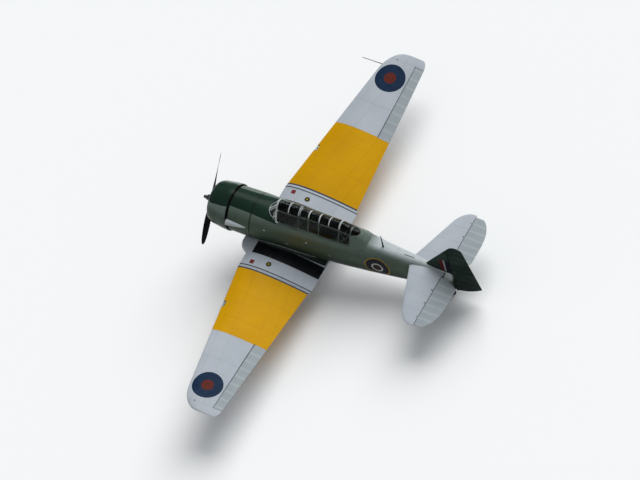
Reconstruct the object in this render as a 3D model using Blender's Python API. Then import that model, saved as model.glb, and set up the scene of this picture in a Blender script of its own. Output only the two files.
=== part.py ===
# A low-wing training aeroplane with a radial engine and two seats in tandem, parked on its wheels.
# The aircraft's own frame has its origin at the tip of the propeller hub, x forward, y to port and z up
# from the thrust line. Stations are distances aft of the hub tip. An empty pitches that frame to the
# parked attitude and sets it on the floor, with the floor at z = 0 and the middle of the box at x = 0.

import math
import bpy
import bmesh
from mathutils import Matrix, Vector

COLLECTION = "trainer_aeroplane"
GAP = 0.0003                    # between pieces that touch
FLATNESS = 3e-6                 # how far a corner may lie off its face
CLEAR = 0.007                   # between a moving piece and its neighbours

# Propeller and engine
PROP_STATION = 0.26
PROP_RADIUS = 1.37
PROP_ANGLE = math.radians(137)  # of the lower blade, from straight up towards port
COWL_LIP = 0.39
COWL_REAR = 1.08
COWL_RADIUS = 0.686
COWL_MOUTH = 0.47
COWL_WALL = 0.018
CYLINDERS = 9
CYLINDER_STATION = 0.80

# Fuselage: station, top, bottom, half width, height of the widest point, roundness below and above it
FUSELAGE = (
    (1.00, 0.650, -0.650, 0.650, 0.00, 2.00, 2.00),
    (1.83, 0.665, -0.665, 0.665, 0.00, 2.00, 2.00),
    (2.25, 0.670, -0.690, 0.620, -0.02, 2.10, 2.35),
    (2.63, 0.672, -0.700, 0.580, -0.03, 2.25, 2.80),
    (3.34, 0.680, -0.700, 0.545, -0.04, 2.35, 3.20),
    (4.00, 0.690, -0.690, 0.505, -0.04, 2.35, 3.40),
    (4.61, 0.690, -0.660, 0.465, -0.04, 2.35, 3.50),
    (5.40, 0.642, -0.600, 0.405, -0.03, 2.30, 3.10),
    (5.86, 0.620, -0.555, 0.365, -0.02, 2.25, 2.60),
    (6.53, 0.590, -0.485, 0.300, 0.00, 2.20, 2.30),
    (7.22, 0.560, -0.405, 0.225, 0.03, 2.15, 2.20),
    (8.03, 0.500, -0.325, 0.105, 0.08, 2.10, 2.10),
)
FUSELAGE_SIDES = 24
# The stations of the fuselage's rings. Between two of them its sides are straight.
FUSELAGE_GRID = (
    1.00, 1.30, 1.60, 1.83, 2.05, 2.28, 2.55, 2.90, 3.34, 4.00,
    4.61, 5.10, 5.42, 5.86, 6.53, 7.22, 7.65, 8.03,
)
FIREWALL = 1.83
REAR_JOINT = 5.42
TAIL_POST = 8.02
FUSELAGE_WALL = 0.030

# Cockpit and canopy. The profile runs from the sill to the top, as half width and height.
SILL = 0.585
RAIL_OUTER = ((2.48, 0.385), (4.60, 0.370), (5.25, 0.335))
RAIL_WIDTH = 0.085
RAIL_DEPTH = 0.050
COCKPIT_FRONT = 2.47
COCKPIT_BACK = 5.30
CANOPY_PROFILE = (
    (0.366, 0.5853), (0.312, 0.710), (0.255, 0.840), (0.196, 0.970),
    (0.140, 1.060), (0.075, 1.112), (0.0, 1.130),
)
WINDSCREEN_FRONT = 2.26
WINDSCREEN_BACK = 2.63
FRONT_SLIDE = (2.64, 3.335)
MIDDLE_CANOPY = (3.345, 3.965)
REAR_SLIDE = (3.975, 4.61)
TAIL_CANOPY = (4.62, 5.41)
GLASS = 0.005
FRAME = 0.007
FLOOR_TOP = -0.315
FLOOR = 0.02
FRONT_SEAT = 3.10
REAR_SEAT = 4.42
SEAT_WIDTH = 0.46
SEAT_DEPTH = 0.40
SEAT_TOP = 0.04
SEAT_BACK = 0.50
SEAT_SHEET = 0.015

# Wing
JOINT_SPAN = 1.45
HALF_SPAN = 6.40
WING_LE = 1.77
WING_TE = 4.00
LE_SWEEP = 0.185
TE_SWEEP = 0.0385
DIHEDRAL = math.tan(math.radians(6.0))
INCIDENCE = 0.0612
WING_REF = -0.592               # height of the 30% chord point at the root
ROOT_THICKNESS = 0.150
TIP_THICKNESS = 0.095
CAMBER = 0.020
TE_HALF = 0.006
WING_POINTS = 9                 # along each of the upper and lower surfaces
LE_ROUND = (5.72, 0.46)         # where the tip's leading corner starts, and how deep it is
TE_ROUND = (6.12, 0.13)
AILERON_SPAN = (3.73, 6.13)
AILERON_AXIS = 3.588
FLAP_AXIS = 3.535
FLAP_SPANS = ((-1.435, 1.435), (1.465, 3.715))
FLAP_PLATE = 0.014
FLAP_EDGE = 0.004
LIGHT_SPAN = 2.82
LIGHT_WIDTH = 0.20
LIGHT_DEPTH = 0.11

# Main gear
WHEEL_STATION = 1.97
WHEEL_HEIGHT = -1.39
WHEEL_RADIUS = 0.35
WHEEL_SPAN = 1.285
TYRE_WIDTH = 0.215
LEG_SPAN = 1.115
TRUNNION_HEIGHT = -0.615
AXLE = 0.028
WELL_SPAN = 0.55
WELL_RADIUS = 0.365
WELL_ROOF = -0.520
SLOT_HALF = 0.105
BULGE = (0.47, 0.42, 0.170)     # half sizes along, across and up
BULGE_STATION = 1.94
BULGE_HEIGHT = -0.585

# Tail wheel
TAIL_WHEEL_STATION = 7.80
TAIL_WHEEL_HEIGHT = -0.555
TAIL_WHEEL_RADIUS = 0.16
TAIL_TYRE_WIDTH = 0.10
TAIL_TRAIL = 0.10
TAIL_AXLE = 0.012

# Tail
STAB_HEIGHT = 0.445
STAB_ROOT_LE = 6.70
STAB_LE_SWEEP = 0.347
STAB_HALF_SPAN = 1.965
STAB_HINGE = 7.79
STAB_THICKNESS = (0.115, 0.060)
ELEVATOR_NOSE = 0.034
ELEVATOR_TE = 8.375
ELEVATOR_SPAN = (0.255, 1.90)
FIN_LE = (7.22, 0.56)
FIN_TOP = (8.20, 1.83)
RUDDER_HINGE = 8.075
FIN_CUT = 1.47                  # the rudder's horn lies above this height
RUDDER_LOW = -0.325
RUDDER_TE_LOW = (8.90, 0.07)
RUDDER_TE_HIGH = (8.55, 1.74)
FIN_THICKNESS = (0.120, 0.055)
RUDDER_NOSE = 0.045

# Hinge fittings
LUG = 0.017
LUG_PLATE = 0.014
PIN = 0.0070
PIN_REACH = 0.028
BORE = 0.0078


def clear_scene():
    for item in list(bpy.data.objects):
        bpy.data.objects.remove(item, do_unlink=True)
    for group in list(bpy.data.collections):
        bpy.data.collections.remove(group)


def make_collection(name):
    group = bpy.data.collections.new(name)
    bpy.context.scene.collection.children.link(group)
    return group


def at(station, y, z):
    return Vector((-station, y, z))


def signed_power(value, power):
    return math.copysign(abs(value) ** power, value)


def interpolate(rows, x):
    # A smooth curve through the rows' columns, read at x
    x = min(max(x, rows[0][0]), rows[-1][0])
    i = max(k for k in range(len(rows) - 1) if rows[k][0] <= x)
    low, high = rows[i], rows[i + 1]
    before, after = rows[max(i - 1, 0)], rows[min(i + 2, len(rows) - 1)]
    width = high[0] - low[0]
    t = (x - low[0]) / width
    values = []
    for column in range(1, len(low)):
        slope_low = (high[column] - before[column]) / (high[0] - before[0]) * width
        slope_high = (after[column] - low[column]) / (after[0] - low[0]) * width
        values.append(
            low[column] * (2 * t ** 3 - 3 * t ** 2 + 1) + slope_low * (t ** 3 - 2 * t ** 2 + t)
            + high[column] * (3 * t ** 2 - 2 * t ** 3) + slope_high * (t ** 3 - t ** 2)
        )
    return values


def material(name, colour, roughness, metallic=0.0):
    found = bpy.data.materials.get(name)
    if found:
        return found
    made = bpy.data.materials.new(name)
    made.use_nodes = True
    shader = made.node_tree.nodes["Principled BSDF"]
    shader.inputs["Base Color"].default_value = (*colour, 1.0)
    shader.inputs["Roughness"].default_value = roughness
    shader.inputs["Metallic"].default_value = metallic
    return made


def paint(name):
    looks = {
        "silver_dope": ((0.42, 0.46, 0.49), 0.4, 0.3),
        "dark_green": ((0.03, 0.06, 0.05), 0.35, 0.0),
        "grey_green": ((0.06, 0.08, 0.06), 0.4, 0.0),
        "frame_grey": ((0.45, 0.47, 0.45), 0.4, 0.0),
        "black": ((0.01, 0.01, 0.012), 0.5, 0.0),
        "engine_grey": ((0.16, 0.16, 0.17), 0.45, 0.6),
        "bare_metal": ((0.55, 0.55, 0.56), 0.3, 1.0),
        "glass": ((0.5, 0.6, 0.65), 0.05, 0.0),
        "rubber": ((0.02, 0.02, 0.02), 0.8, 0.0),
        "interior_green": ((0.12, 0.17, 0.08), 0.5, 0.0),
    }
    colour, roughness, metallic = looks[name]
    return material(name, colour, roughness, metallic)


def add_object(name, mesh, group, parent, look=None):
    made = bpy.data.objects.new(name, mesh)
    group.objects.link(made)
    made.parent = parent
    if look:
        made.data.materials.append(paint(look))
    return made


def is_bent(face):
    # True where a face's corners don't lie in one plane
    middle = face.calc_center_median()
    return any(abs((vert.co - middle).dot(face.normal)) > FLATNESS for vert in face.verts)


def mesh_from(name, builder, smooth_angle=35):
    # Bent faces are split into triangles, so that every later cut has flat faces to work on
    shape = bmesh.new()
    builder(shape)
    shape.normal_update()
    bent = [face for face in shape.faces if len(face.verts) > 3 and is_bent(face)]
    bmesh.ops.triangulate(shape, faces=bent)
    bmesh.ops.recalc_face_normals(shape, faces=shape.faces)
    if shape.calc_volume(signed=True) < 0:
        bmesh.ops.reverse_faces(shape, faces=shape.faces)
    mesh = bpy.data.meshes.new(name)
    shape.to_mesh(mesh)
    shape.free()
    mesh.shade_smooth()
    mesh.set_sharp_from_angle(angle=math.radians(smooth_angle))
    return mesh


def loft_mesh(name, rings, closed_loop=False):
    # Rings of equal counts joined by quads; the first and last ring are capped unless the loop closes
    def build(shape):
        rows = [[shape.verts.new(point) for point in ring] for ring in rings]
        pairs = list(zip(rows, rows[1:]))
        if closed_loop:
            pairs.append((rows[-1], rows[0]))
        for first, second in pairs:
            for k in range(len(first)):
                n = (k + 1) % len(first)
                shape.faces.new((first[k], first[n], second[n], second[k]))
        if not closed_loop:
            shape.faces.new(rows[0])
            shape.faces.new(list(reversed(rows[-1])))
    return mesh_from(name, build)


def box_mesh(name, low, high):
    def build(shape):
        bmesh.ops.create_cube(shape, size=1.0)
        size = [high[k] - low[k] for k in range(3)]
        middle = [(high[k] + low[k]) / 2 for k in range(3)]
        bmesh.ops.scale(shape, vec=size, verts=shape.verts)
        bmesh.ops.translate(shape, vec=middle, verts=shape.verts)
    return mesh_from(name, build)


def rod_mesh(name, start, end, radius, end_radius=None, sides=12):
    # A cylinder or cone between two points
    start, end = Vector(start), Vector(end)
    turn = (end - start).to_track_quat("Z", "Y").to_matrix().to_4x4()
    place = Matrix.Translation((start + end) / 2) @ turn

    def build(shape):
        bmesh.ops.create_cone(
            shape, cap_ends=True, segments=sides, radius1=radius,
            radius2=radius if end_radius is None else end_radius,
            depth=(end - start).length, matrix=place,
        )
    return mesh_from(name, build)


def prism_mesh(name, outline, direction):
    # A flat outline of points, pushed along a direction
    def build(shape):
        first = [shape.verts.new(point) for point in outline]
        second = [shape.verts.new(Vector(point) + Vector(direction)) for point in outline]
        count = len(first)
        for k in range(count):
            n = (k + 1) % count
            shape.faces.new((first[k], first[n], second[n], second[k]))
        shape.faces.new(first)
        shape.faces.new(list(reversed(second)))
    return mesh_from(name, build)


def turned_mesh(name, profile, axis_point, axis, steps=32, closed=False):
    # Profile points are (distance along the axis, radius). A closed profile makes a ring.
    axis = Vector(axis).normalized()
    turn = axis.to_track_quat("Z", "Y").to_matrix().to_4x4()
    place = Matrix.Translation(axis_point) @ turn

    def build(shape):
        rows = []
        for k in range(steps):
            angle = 2 * math.pi * k / steps
            spoke = Vector((math.cos(angle), math.sin(angle), 0.0))
            rows.append([
                shape.verts.new(place @ (spoke * radius + Vector((0, 0, along))))
                for along, radius in profile
            ])
        count = len(profile)
        for k in range(steps):
            here, after = rows[k], rows[(k + 1) % steps]
            for j in range(count if closed else count - 1):
                m = (j + 1) % count
                shape.faces.new((here[j], here[m], after[m], after[j]))
        if not closed:
            shape.faces.new([row[0] for row in rows])
            shape.faces.new([row[-1] for row in reversed(rows)])
        bmesh.ops.remove_doubles(shape, verts=shape.verts, dist=0.00005)
    return mesh_from(name, build)


class Workshop:
    # Holds the collections and the empty that everything hangs on

    def __init__(self):
        self.parts = make_collection(COLLECTION)
        self.tools = make_collection("cutters")
        self.attitude = bpy.data.objects.new("parked_attitude", None)
        self.parts.objects.link(self.attitude)
        self.places = {}

    def part(self, name, mesh, look, parent=None):
        made = add_object(name, mesh, self.parts, self.attitude, look)
        if parent:
            made.parent = parent
            made.matrix_parent_inverse = self.places[parent.name].inverted()
        return made

    def tool(self, mesh):
        made = add_object(mesh.name, mesh, self.tools, self.attitude)
        made.hide_render = True
        made.display_type = "WIRE"
        return made

    def change(self, piece, meshes, operation):
        for mesh in meshes:
            step = piece.modifiers.new(mesh.name, "BOOLEAN")
            step.operation = operation
            step.solver = "EXACT"
            step.object = self.tool(mesh)

    def cut(self, piece, *meshes):
        self.change(piece, meshes, "DIFFERENCE")

    def join(self, piece, *meshes):
        self.change(piece, meshes, "UNION")

    def keep(self, piece, mesh):
        self.change(piece, [mesh], "INTERSECT")

    def axis(self, name, point, direction, parent=None):
        # An empty on a joint's axis, with its z along the axis
        empty = bpy.data.objects.new(name, None)
        self.parts.objects.link(empty)
        empty.empty_display_size = 0.2
        turn = Vector(direction).to_track_quat("Z", "Y").to_matrix().to_4x4()
        place = Matrix.Translation(point) @ turn
        self.places[name] = place
        empty.parent = parent or self.attitude
        empty.matrix_basis = self.places[parent.name].inverted() @ place if parent else place
        return empty


# Fuselage

def fuselage_size(station):
    # Top, bottom, half width, middle height and both roundnesses, straight between the grid's stations
    back = min(place for place in FUSELAGE_GRID if place >= station - 1e-9)
    front = max(place for place in FUSELAGE_GRID if place <= station + 1e-9)
    share = (station - front) / (back - front) if back > front else 0.0
    pairs = zip(interpolate(FUSELAGE, front), interpolate(FUSELAGE, back))
    return [low + (high - low) * share for low, high in pairs]


def fuselage_ring(station, grow=0.0):
    top, bottom, half, middle, low_power, high_power = fuselage_size(station)
    ring = []
    for k in range(FUSELAGE_SIDES):
        angle = 2 * math.pi * (k + 0.5) / FUSELAGE_SIDES
        power = high_power if math.sin(angle) > 0 else low_power
        across = signed_power(math.cos(angle), 2 / power)
        up = signed_power(math.sin(angle), 2 / power)
        reach = (top - middle if up > 0 else middle - bottom) + grow
        ring.append(at(station, (half + grow) * across, middle + reach * up))
    return ring


def fuselage_solid(name, front, back, grow=0.0):
    stations = [front] + [place for place in FUSELAGE_GRID if front + 0.01 < place < back - 0.01] + [back]
    return loft_mesh(name, [fuselage_ring(station, grow) for station in stations])


def make_nose_section(shop):
    front = COWL_REAR + 0.025
    nose = shop.part("accessory_cowl", fuselage_solid("accessory_cowl", front, FIREWALL - GAP), "grey_green")
    shop.cut(nose, fuselage_solid("accessory_space", 1.0, FIREWALL - 0.03, -FUSELAGE_WALL))
    return nose


def wing_mid_cutter(name):
    # Everything below the wing's middle line, under the fuselage
    outline = [
        at(FIREWALL - 0.03, -1.0, -0.565), at(2.40, -1.0, -0.565), at(3.3, -1.0, -0.605),
        at(wing_chord(0)[1] + GAP, -1.0, -0.680), at(wing_chord(0)[1] + GAP, -1.0, -1.2),
        at(FIREWALL - 0.03, -1.0, -1.2),
    ]
    return prism_mesh(name, outline, (0, 2.0, 0))


def rail_mesh(name, hand):
    # The canopy's rail along the sill, wide enough for all the nested shells
    outline = [at(station, hand * y, SILL) for station, y in RAIL_OUTER]
    outline += [at(station, hand * (y - RAIL_WIDTH), SILL) for station, y in reversed(RAIL_OUTER)]
    return prism_mesh(name, outline, (0, 0, -RAIL_DEPTH))


def make_cockpit_section(shop):
    body = shop.part(
        "cockpit_section", fuselage_solid("cockpit_section", FIREWALL, REAR_JOINT - GAP), "grey_green"
    )
    shop.cut(body, fuselage_solid("cockpit_space", 1.6, 5.86, -FUSELAGE_WALL))
    shop.cut(body, box_mesh(
        "cockpit_opening", at(COCKPIT_BACK, -0.6, SILL), at(COCKPIT_FRONT, 0.6, SILL + 0.3)
    ))
    shop.join(body, *[rail_mesh(f"sill_rail_{hand}", hand) for hand in (1, -1)])
    shop.cut(body, wing_mid_cutter("belly_cut"))
    shop.cut(body, *center_wing_meshes("wing_seat", GAP))
    return body


def make_rear_fuselage(shop):
    rear = shop.part(
        "rear_fuselage", fuselage_solid("rear_fuselage", REAR_JOINT, TAIL_POST), "grey_green"
    )
    shop.cut(rear, stabilizer_mesh("stabilizer_seat", GAP))
    shop.cut(rear, rod_mesh(
        "torque_tube_hole",
        at(elevator_axis(), -0.5, STAB_HEIGHT), at(elevator_axis(), 0.5, STAB_HEIGHT), 0.030
    ))
    return rear


def make_floor(shop):
    plate = shop.part(
        "cockpit_floor",
        box_mesh("cockpit_floor", at(5.05, -0.6, FLOOR_TOP - FLOOR), at(2.10, 0.6, FLOOR_TOP)),
        "interior_green"
    )
    shop.keep(plate, fuselage_solid("floor_outline", 1.83, 5.42, -FUSELAGE_WALL - GAP))
    return plate


# Engine and propeller

def make_cowling(shop):
    lip = []
    steps = 5
    for k in range(steps + 1):
        # the front lip, as a quarter ellipse from the mouth to the widest front
        angle = math.pi / 2 * k / steps
        along = COWL_LIP + 0.29 * (1 - math.sin(angle))
        radius = 0.505 + 0.140 * math.cos(angle)
        lip.append((along, radius))
    outer = [(COWL_REAR, COWL_RADIUS)] + [(0.9, 0.678)] + lip
    inner = [
        (COWL_LIP + 0.012, 0.482), (COWL_LIP + 0.04, COWL_MOUTH), (COWL_LIP + 0.09, COWL_MOUTH),
        (COWL_LIP + 0.10, COWL_MOUTH + 0.02), (0.68, 0.626),
        (0.9, 0.678 - COWL_WALL), (COWL_REAR, COWL_RADIUS - COWL_WALL),
    ]
    profile = outer + inner
    mesh = turned_mesh("engine_cowling", profile, (0, 0, 0), (-1, 0, 0), 32, closed=True)
    cowl = shop.part("engine_cowling", mesh, "dark_green")
    return cowl


def make_engine(shop):
    case = [
        (0.405, 0.060), (0.43, 0.085), (0.50, 0.115), (0.575, 0.185),
        (0.64, 0.255), (0.96, 0.255), (1.00, 0.230), (1.30, 0.220),
    ]
    mesh = turned_mesh("radial_engine", case, (0, 0, 0), (-1, 0, 0), 18)
    engine = shop.part("radial_engine", mesh, "engine_grey")
    barrels = []
    for k in range(CYLINDERS):
        angle = 2 * math.pi * k / CYLINDERS
        outward = Vector((0, math.sin(angle), math.cos(angle)))
        middle = at(CYLINDER_STATION, 0, 0)
        barrels.append(rod_mesh(
            f"cylinder_barrel_{k}", middle + outward * 0.20, middle + outward * 0.50, 0.085, sides=8
        ))
        barrels.append(rod_mesh(
            f"cylinder_head_{k}", middle + outward * 0.485, middle + outward * 0.612, 0.098, 0.075, sides=8
        ))
    shop.join(engine, *barrels)
    shop.join(engine, *[
        rod_mesh(f"mount_ring_arm_{k}", at(1.15, 0.15 * side, 0.15 * rise),
                 at(1.15, 0.4357 * side, 0.4357 * rise), 0.02, sides=6)
        for k, (side, rise) in enumerate(((1, 1), (-1, 1), (1, -1), (-1, -1)))
    ])
    return engine


def make_cowl_braces(shop, engine):
    # Struts from three cylinder heads carry the cowling
    rods = []
    for k in (0, 3, 6):
        angle = 2 * math.pi * k / CYLINDERS
        outward = Vector((0, math.sin(angle), math.cos(angle)))
        middle = at(CYLINDER_STATION, 0, 0)
        rods.append(rod_mesh(
            f"cowl_stay_{k}", middle + outward * 0.60, middle + outward * 0.6378, 0.02, sides=6
        ))
    shop.join(engine, *rods)


def blade_mesh(name, angle):
    # A twisted paddle that runs out from the hub, as rings across its length
    outward = Vector((0, math.sin(angle), math.cos(angle)))
    along = Vector((1, 0, 0))
    across = along.cross(outward)
    rows = (
        # radius, chord, thickness, pitch in degrees
        (0.095, 0.090, 0.090, 58), (0.20, 0.092, 0.086, 55), (0.32, 0.125, 0.062, 48),
        (0.48, 0.175, 0.042, 40), (0.70, 0.215, 0.030, 31), (0.95, 0.218, 0.022, 25),
        (1.15, 0.195, 0.016, 21), (1.28, 0.150, 0.012, 19), (1.34, 0.100, 0.009, 18),
        (PROP_RADIUS, 0.03, 0.006, 18),
    )
    sides = 10
    rings = []
    for radius, chord, thickness, pitch in rows:
        turn = math.radians(pitch)
        chord_way = across * math.cos(turn) + along * math.sin(turn)
        thick_way = along * math.cos(turn) - across * math.sin(turn)
        centre = at(PROP_STATION, 0, 0) + outward * radius
        rings.append([
            centre + chord_way * (chord / 2 * math.cos(2 * math.pi * k / sides))
            + thick_way * (thickness / 2 * math.sin(2 * math.pi * k / sides))
            for k in range(sides)
        ])
    return loft_mesh(name, rings)


def make_propeller(shop):
    spin = shop.axis("axis_propeller", at(PROP_STATION, 0, 0), (1, 0, 0))
    profile = [
        (0.0, 0.012), (0.012, 0.038), (0.04, 0.052), (0.115, 0.052), (0.118, 0.075),
        (0.165, 0.078), (0.175, 0.092), (0.345, 0.092), (0.355, 0.060), (0.405 - GAP, 0.050),
    ]
    hub = shop.part(
        "propeller_hub", turned_mesh("propeller_hub", profile, (0, 0, 0), (-1, 0, 0), 20), "bare_metal", spin
    )
    sockets = []
    for side in (0, 1):
        angle = PROP_ANGLE + math.pi * side
        outward = Vector((0, math.sin(angle), math.cos(angle)))
        middle = at(PROP_STATION, 0, 0)
        sockets.append(rod_mesh(f"blade_socket_{side}", middle, middle + outward * 0.165, 0.068, sides=12))
    shop.join(hub, *sockets)
    for side in (0, 1):
        angle = PROP_ANGLE + math.pi * side
        outward = Vector((0, math.sin(angle), math.cos(angle)))
        middle = at(PROP_STATION, 0, 0)
        shop.cut(hub, rod_mesh(
            f"blade_bore_{side}", middle + outward * (0.095 - GAP), middle + outward * 0.3, 0.0468, sides=14
        ))
        name = f"propeller_blade_{side + 1}"
        shop.part(name, blade_mesh(name, angle), "black", spin)
    return spin


def make_air_scoop(shop):
    # A half cone on the port side that takes air in behind the cowling
    centre = Vector((0, 0.655, 0.205))
    mesh = rod_mesh(
        "air_scoop",
        at(COWL_REAR + 0.03, centre.y, centre.z), at(1.72, centre.y - 0.02, centre.z), 0.092, 0.02, 16
    )
    scoop = shop.part("air_scoop", mesh, "frame_grey")
    shop.cut(scoop, rod_mesh(
        "scoop_mouth", at(COWL_REAR, centre.y, centre.z), at(1.45, centre.y, centre.z), 0.080, 0.03, 16
    ))
    shop.cut(scoop, fuselage_solid("scoop_seat", 1.0, FIREWALL, GAP))
    return scoop


def tube_mesh(name, points, radius, sides=2):
    # A bent tube as a curve with filled ends, made a mesh and its caps welded
    curve = bpy.data.curves.new(name, "CURVE")
    curve.dimensions = "3D"
    curve.bevel_depth = radius
    curve.bevel_resolution = sides
    curve.use_fill_caps = True
    line = curve.splines.new("POLY")
    line.points.add(len(points) - 1)
    for target, point in zip(line.points, points):
        target.co = (*point, 1.0)
    holder = bpy.data.objects.new(name, curve)
    bpy.context.scene.collection.objects.link(holder)
    bpy.context.view_layer.update()
    graph = bpy.context.evaluated_depsgraph_get()
    mesh = bpy.data.meshes.new_from_object(holder.evaluated_get(graph))
    bpy.data.objects.remove(holder, do_unlink=True)
    bpy.data.curves.remove(curve)
    shape = bmesh.new()
    shape.from_mesh(mesh)
    bmesh.ops.remove_doubles(shape, verts=shape.verts, dist=0.00005)
    bmesh.ops.recalc_face_normals(shape, faces=shape.faces)
    shape.to_mesh(mesh)
    shape.free()
    mesh.name = name
    mesh.materials.clear()
    mesh.shade_smooth()
    mesh.set_sharp_from_angle(angle=math.radians(50))
    return mesh


def bend(corners, radius, steps=3):
    # The corners of a bent tube, each rounded by a short curve
    points = [Vector(corners[0])]
    for before, corner, after in zip(corners, corners[1:], corners[2:]):
        before, corner, after = Vector(before), Vector(corner), Vector(after)
        start = corner + (before - corner).normalized() * radius
        end = corner + (after - corner).normalized() * radius
        for k in range(steps + 1):
            t = k / steps
            points.append(start * (1 - t) ** 2 + corner * 2 * t * (1 - t) + end * t ** 2)
    points.append(Vector(corners[-1]))
    return points


def make_exhaust(shop):
    route = bend([
        at(1.30, -0.50, -0.27), at(1.42, -0.725, -0.32), at(2.42, -0.735, -0.29)
    ], 0.10)
    pipe = shop.part("exhaust_stack", tube_mesh("exhaust_stack", route, 0.058, 4), "engine_grey")
    shop.cut(pipe, fuselage_solid("exhaust_seat", 1.0, 2.55, GAP))
    shop.cut(pipe, rod_mesh("exhaust_mouth", at(2.25, -0.7333, -0.2951), at(2.60, -0.7368, -0.2846), 0.048))
    return pipe


# Wing

def wing_chord(span):
    # Leading edge, trailing edge and the height of the 30% point, at a distance from the centreline
    out = max(span - JOINT_SPAN, 0.0)
    front = WING_LE + out * LE_SWEEP
    back = WING_TE - (span - JOINT_SPAN) * TE_SWEEP
    for (start, depth), edge in ((LE_ROUND, 0), (TE_ROUND, 1)):
        if span > start:
            share = min((span - start) / (HALF_SPAN - start), 1.0)
            inset = depth * (1 - math.sqrt(max(0.0, 1 - share ** 2)))
            if edge == 0:
                front += inset
            else:
                back -= inset
    return front, back, WING_REF + out * DIHEDRAL


def wing_surface(span, station, side, grow=0.0):
    # Height of the upper (+1) or lower (-1) surface
    front, back, reference = wing_chord(span)
    chord = back - front
    share = min(max((station - front) / chord, 0.0), 1.0)
    out = max(span - JOINT_SPAN, 0.0) / (HALF_SPAN - JOINT_SPAN)
    ratio = ROOT_THICKNESS + (TIP_THICKNESS - ROOT_THICKNESS) * out
    half = 5 * ratio * chord * (
        0.2969 * math.sqrt(share) - 0.1260 * share - 0.3516 * share ** 2
        + 0.2843 * share ** 3 - 0.1036 * share ** 4
    ) + TE_HALF * share + grow
    crest = 0.4
    if share < crest:
        camber = CAMBER * chord * (2 * share / crest - (share / crest) ** 2)
    else:
        camber = CAMBER * chord * (1 - ((share - crest) / (1 - crest)) ** 2)
    line = reference - INCIDENCE * ((share - 0.3) * chord)
    return line + camber + side * half


def wing_ring(span, hand, grow=0.0):
    front, back, _ = wing_chord(span)
    shares = [(1 - math.cos(math.pi * k / WING_POINTS)) / 2 for k in range(WING_POINTS + 1)]
    ring = []
    for share in reversed(shares):
        station = front + (back - front) * share
        edge = station + (grow if share == 1 else 0)
        ring.append(at(edge, hand * span, wing_surface(span, station, 1, grow)))
    for share in shares[1:]:
        station = front + (back - front) * share
        edge = station + (grow if share == 1 else 0)
        ring.append(at(edge, hand * span, wing_surface(span, station, -1, grow)))
    nose = WING_POINTS
    middle = (wing_surface(span, front, 1) + wing_surface(span, front, -1)) / 2
    ring[nose] = at(front - grow, hand * span, middle)
    return ring


def center_wing_meshes(name, grow=0.0):
    # The centre section as a list of overlapping solids, also used as a cutter
    wing = loft_mesh(f"{name}_wing", [
        wing_ring(JOINT_SPAN - GAP, 1, grow), wing_ring(0.0, 1, grow), wing_ring(JOINT_SPAN - GAP, -1, grow)
    ])
    return [wing, *[bulge_mesh(f"{name}_bulge_{hand}", hand, grow) for hand in (1, -1)]]


def bulge_mesh(name, hand, grow=0.0):
    # The rounded fairing round the front of a wheel well
    def build(shape):
        bmesh.ops.create_uvsphere(shape, u_segments=16, v_segments=8, radius=1.0)
        for vert in shape.verts:
            # squares the ellipsoid off a little, as a superellipsoid
            vert.co = Vector([signed_power(value, 0.85) for value in vert.co])
        bmesh.ops.scale(shape, vec=[value + grow for value in BULGE], verts=shape.verts)
        bmesh.ops.translate(shape, vec=at(BULGE_STATION, hand * WELL_SPAN, BULGE_HEIGHT), verts=shape.verts)
    return mesh_from(name, build)


def belly_mesh(name):
    # Fills the fuselage's outline below the wing's middle line, ahead of the wing's deepest point
    return fuselage_solid(name, FIREWALL + GAP, 2.55)


def make_center_wing(shop):
    meshes = center_wing_meshes("wing_center_section")
    wing = shop.part("wing_center_section", meshes[0], "silver_dope")
    belly = shop.tool(belly_mesh("belly"))
    step = belly.modifiers.new("low", "BOOLEAN")
    step.operation = "INTERSECT"
    step.object = shop.tool(box_mesh("belly_range", at(2.50, -0.5, -0.9), at(FIREWALL - 0.1, 0.5, -0.566)))
    join = wing.modifiers.new("belly", "BOOLEAN")
    join.operation = "UNION"
    join.object = belly
    shop.join(wing, *meshes[1:])
    shop.cut(wing, fuselage_solid("accessory_seat", 1.3, FIREWALL, GAP))
    wells = []
    for hand in (1, -1):
        wells.append(rod_mesh(
            f"wheel_well_{hand}", at(WHEEL_STATION - 0.02, hand * WELL_SPAN, -1.0),
            at(WHEEL_STATION - 0.02, hand * WELL_SPAN, WELL_ROOF), WELL_RADIUS, sides=20
        ))
        low = at(WHEEL_STATION + SLOT_HALF, min(hand * 0.60, hand * 1.20), -1.0)
        high = at(WHEEL_STATION - SLOT_HALF, max(hand * 0.60, hand * 1.20), WELL_ROOF)
        wells.append(box_mesh(f"leg_slot_{hand}", low, high))
    shop.cut(wing, *wells)
    cut_flap_bay(shop, wing, FLAP_SPANS[0], 1)
    add_jack_pads(shop, wing)
    return wing


def add_jack_pads(shop, wing):
    # Flat steel pads under the centre section, one on each side
    pads = []
    for hand in (1, -1):
        spot = Vector((-2.75, hand * 1.20, wing_surface(1.20, 2.75, -1)))
        top, foot = spot + Vector((0, 0, 0.03)), spot - Vector((0, 0, 0.012))
        pads.append(rod_mesh(f"jack_pad_{hand}", top, foot, 0.05))
    shop.join(wing, *pads)


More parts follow.
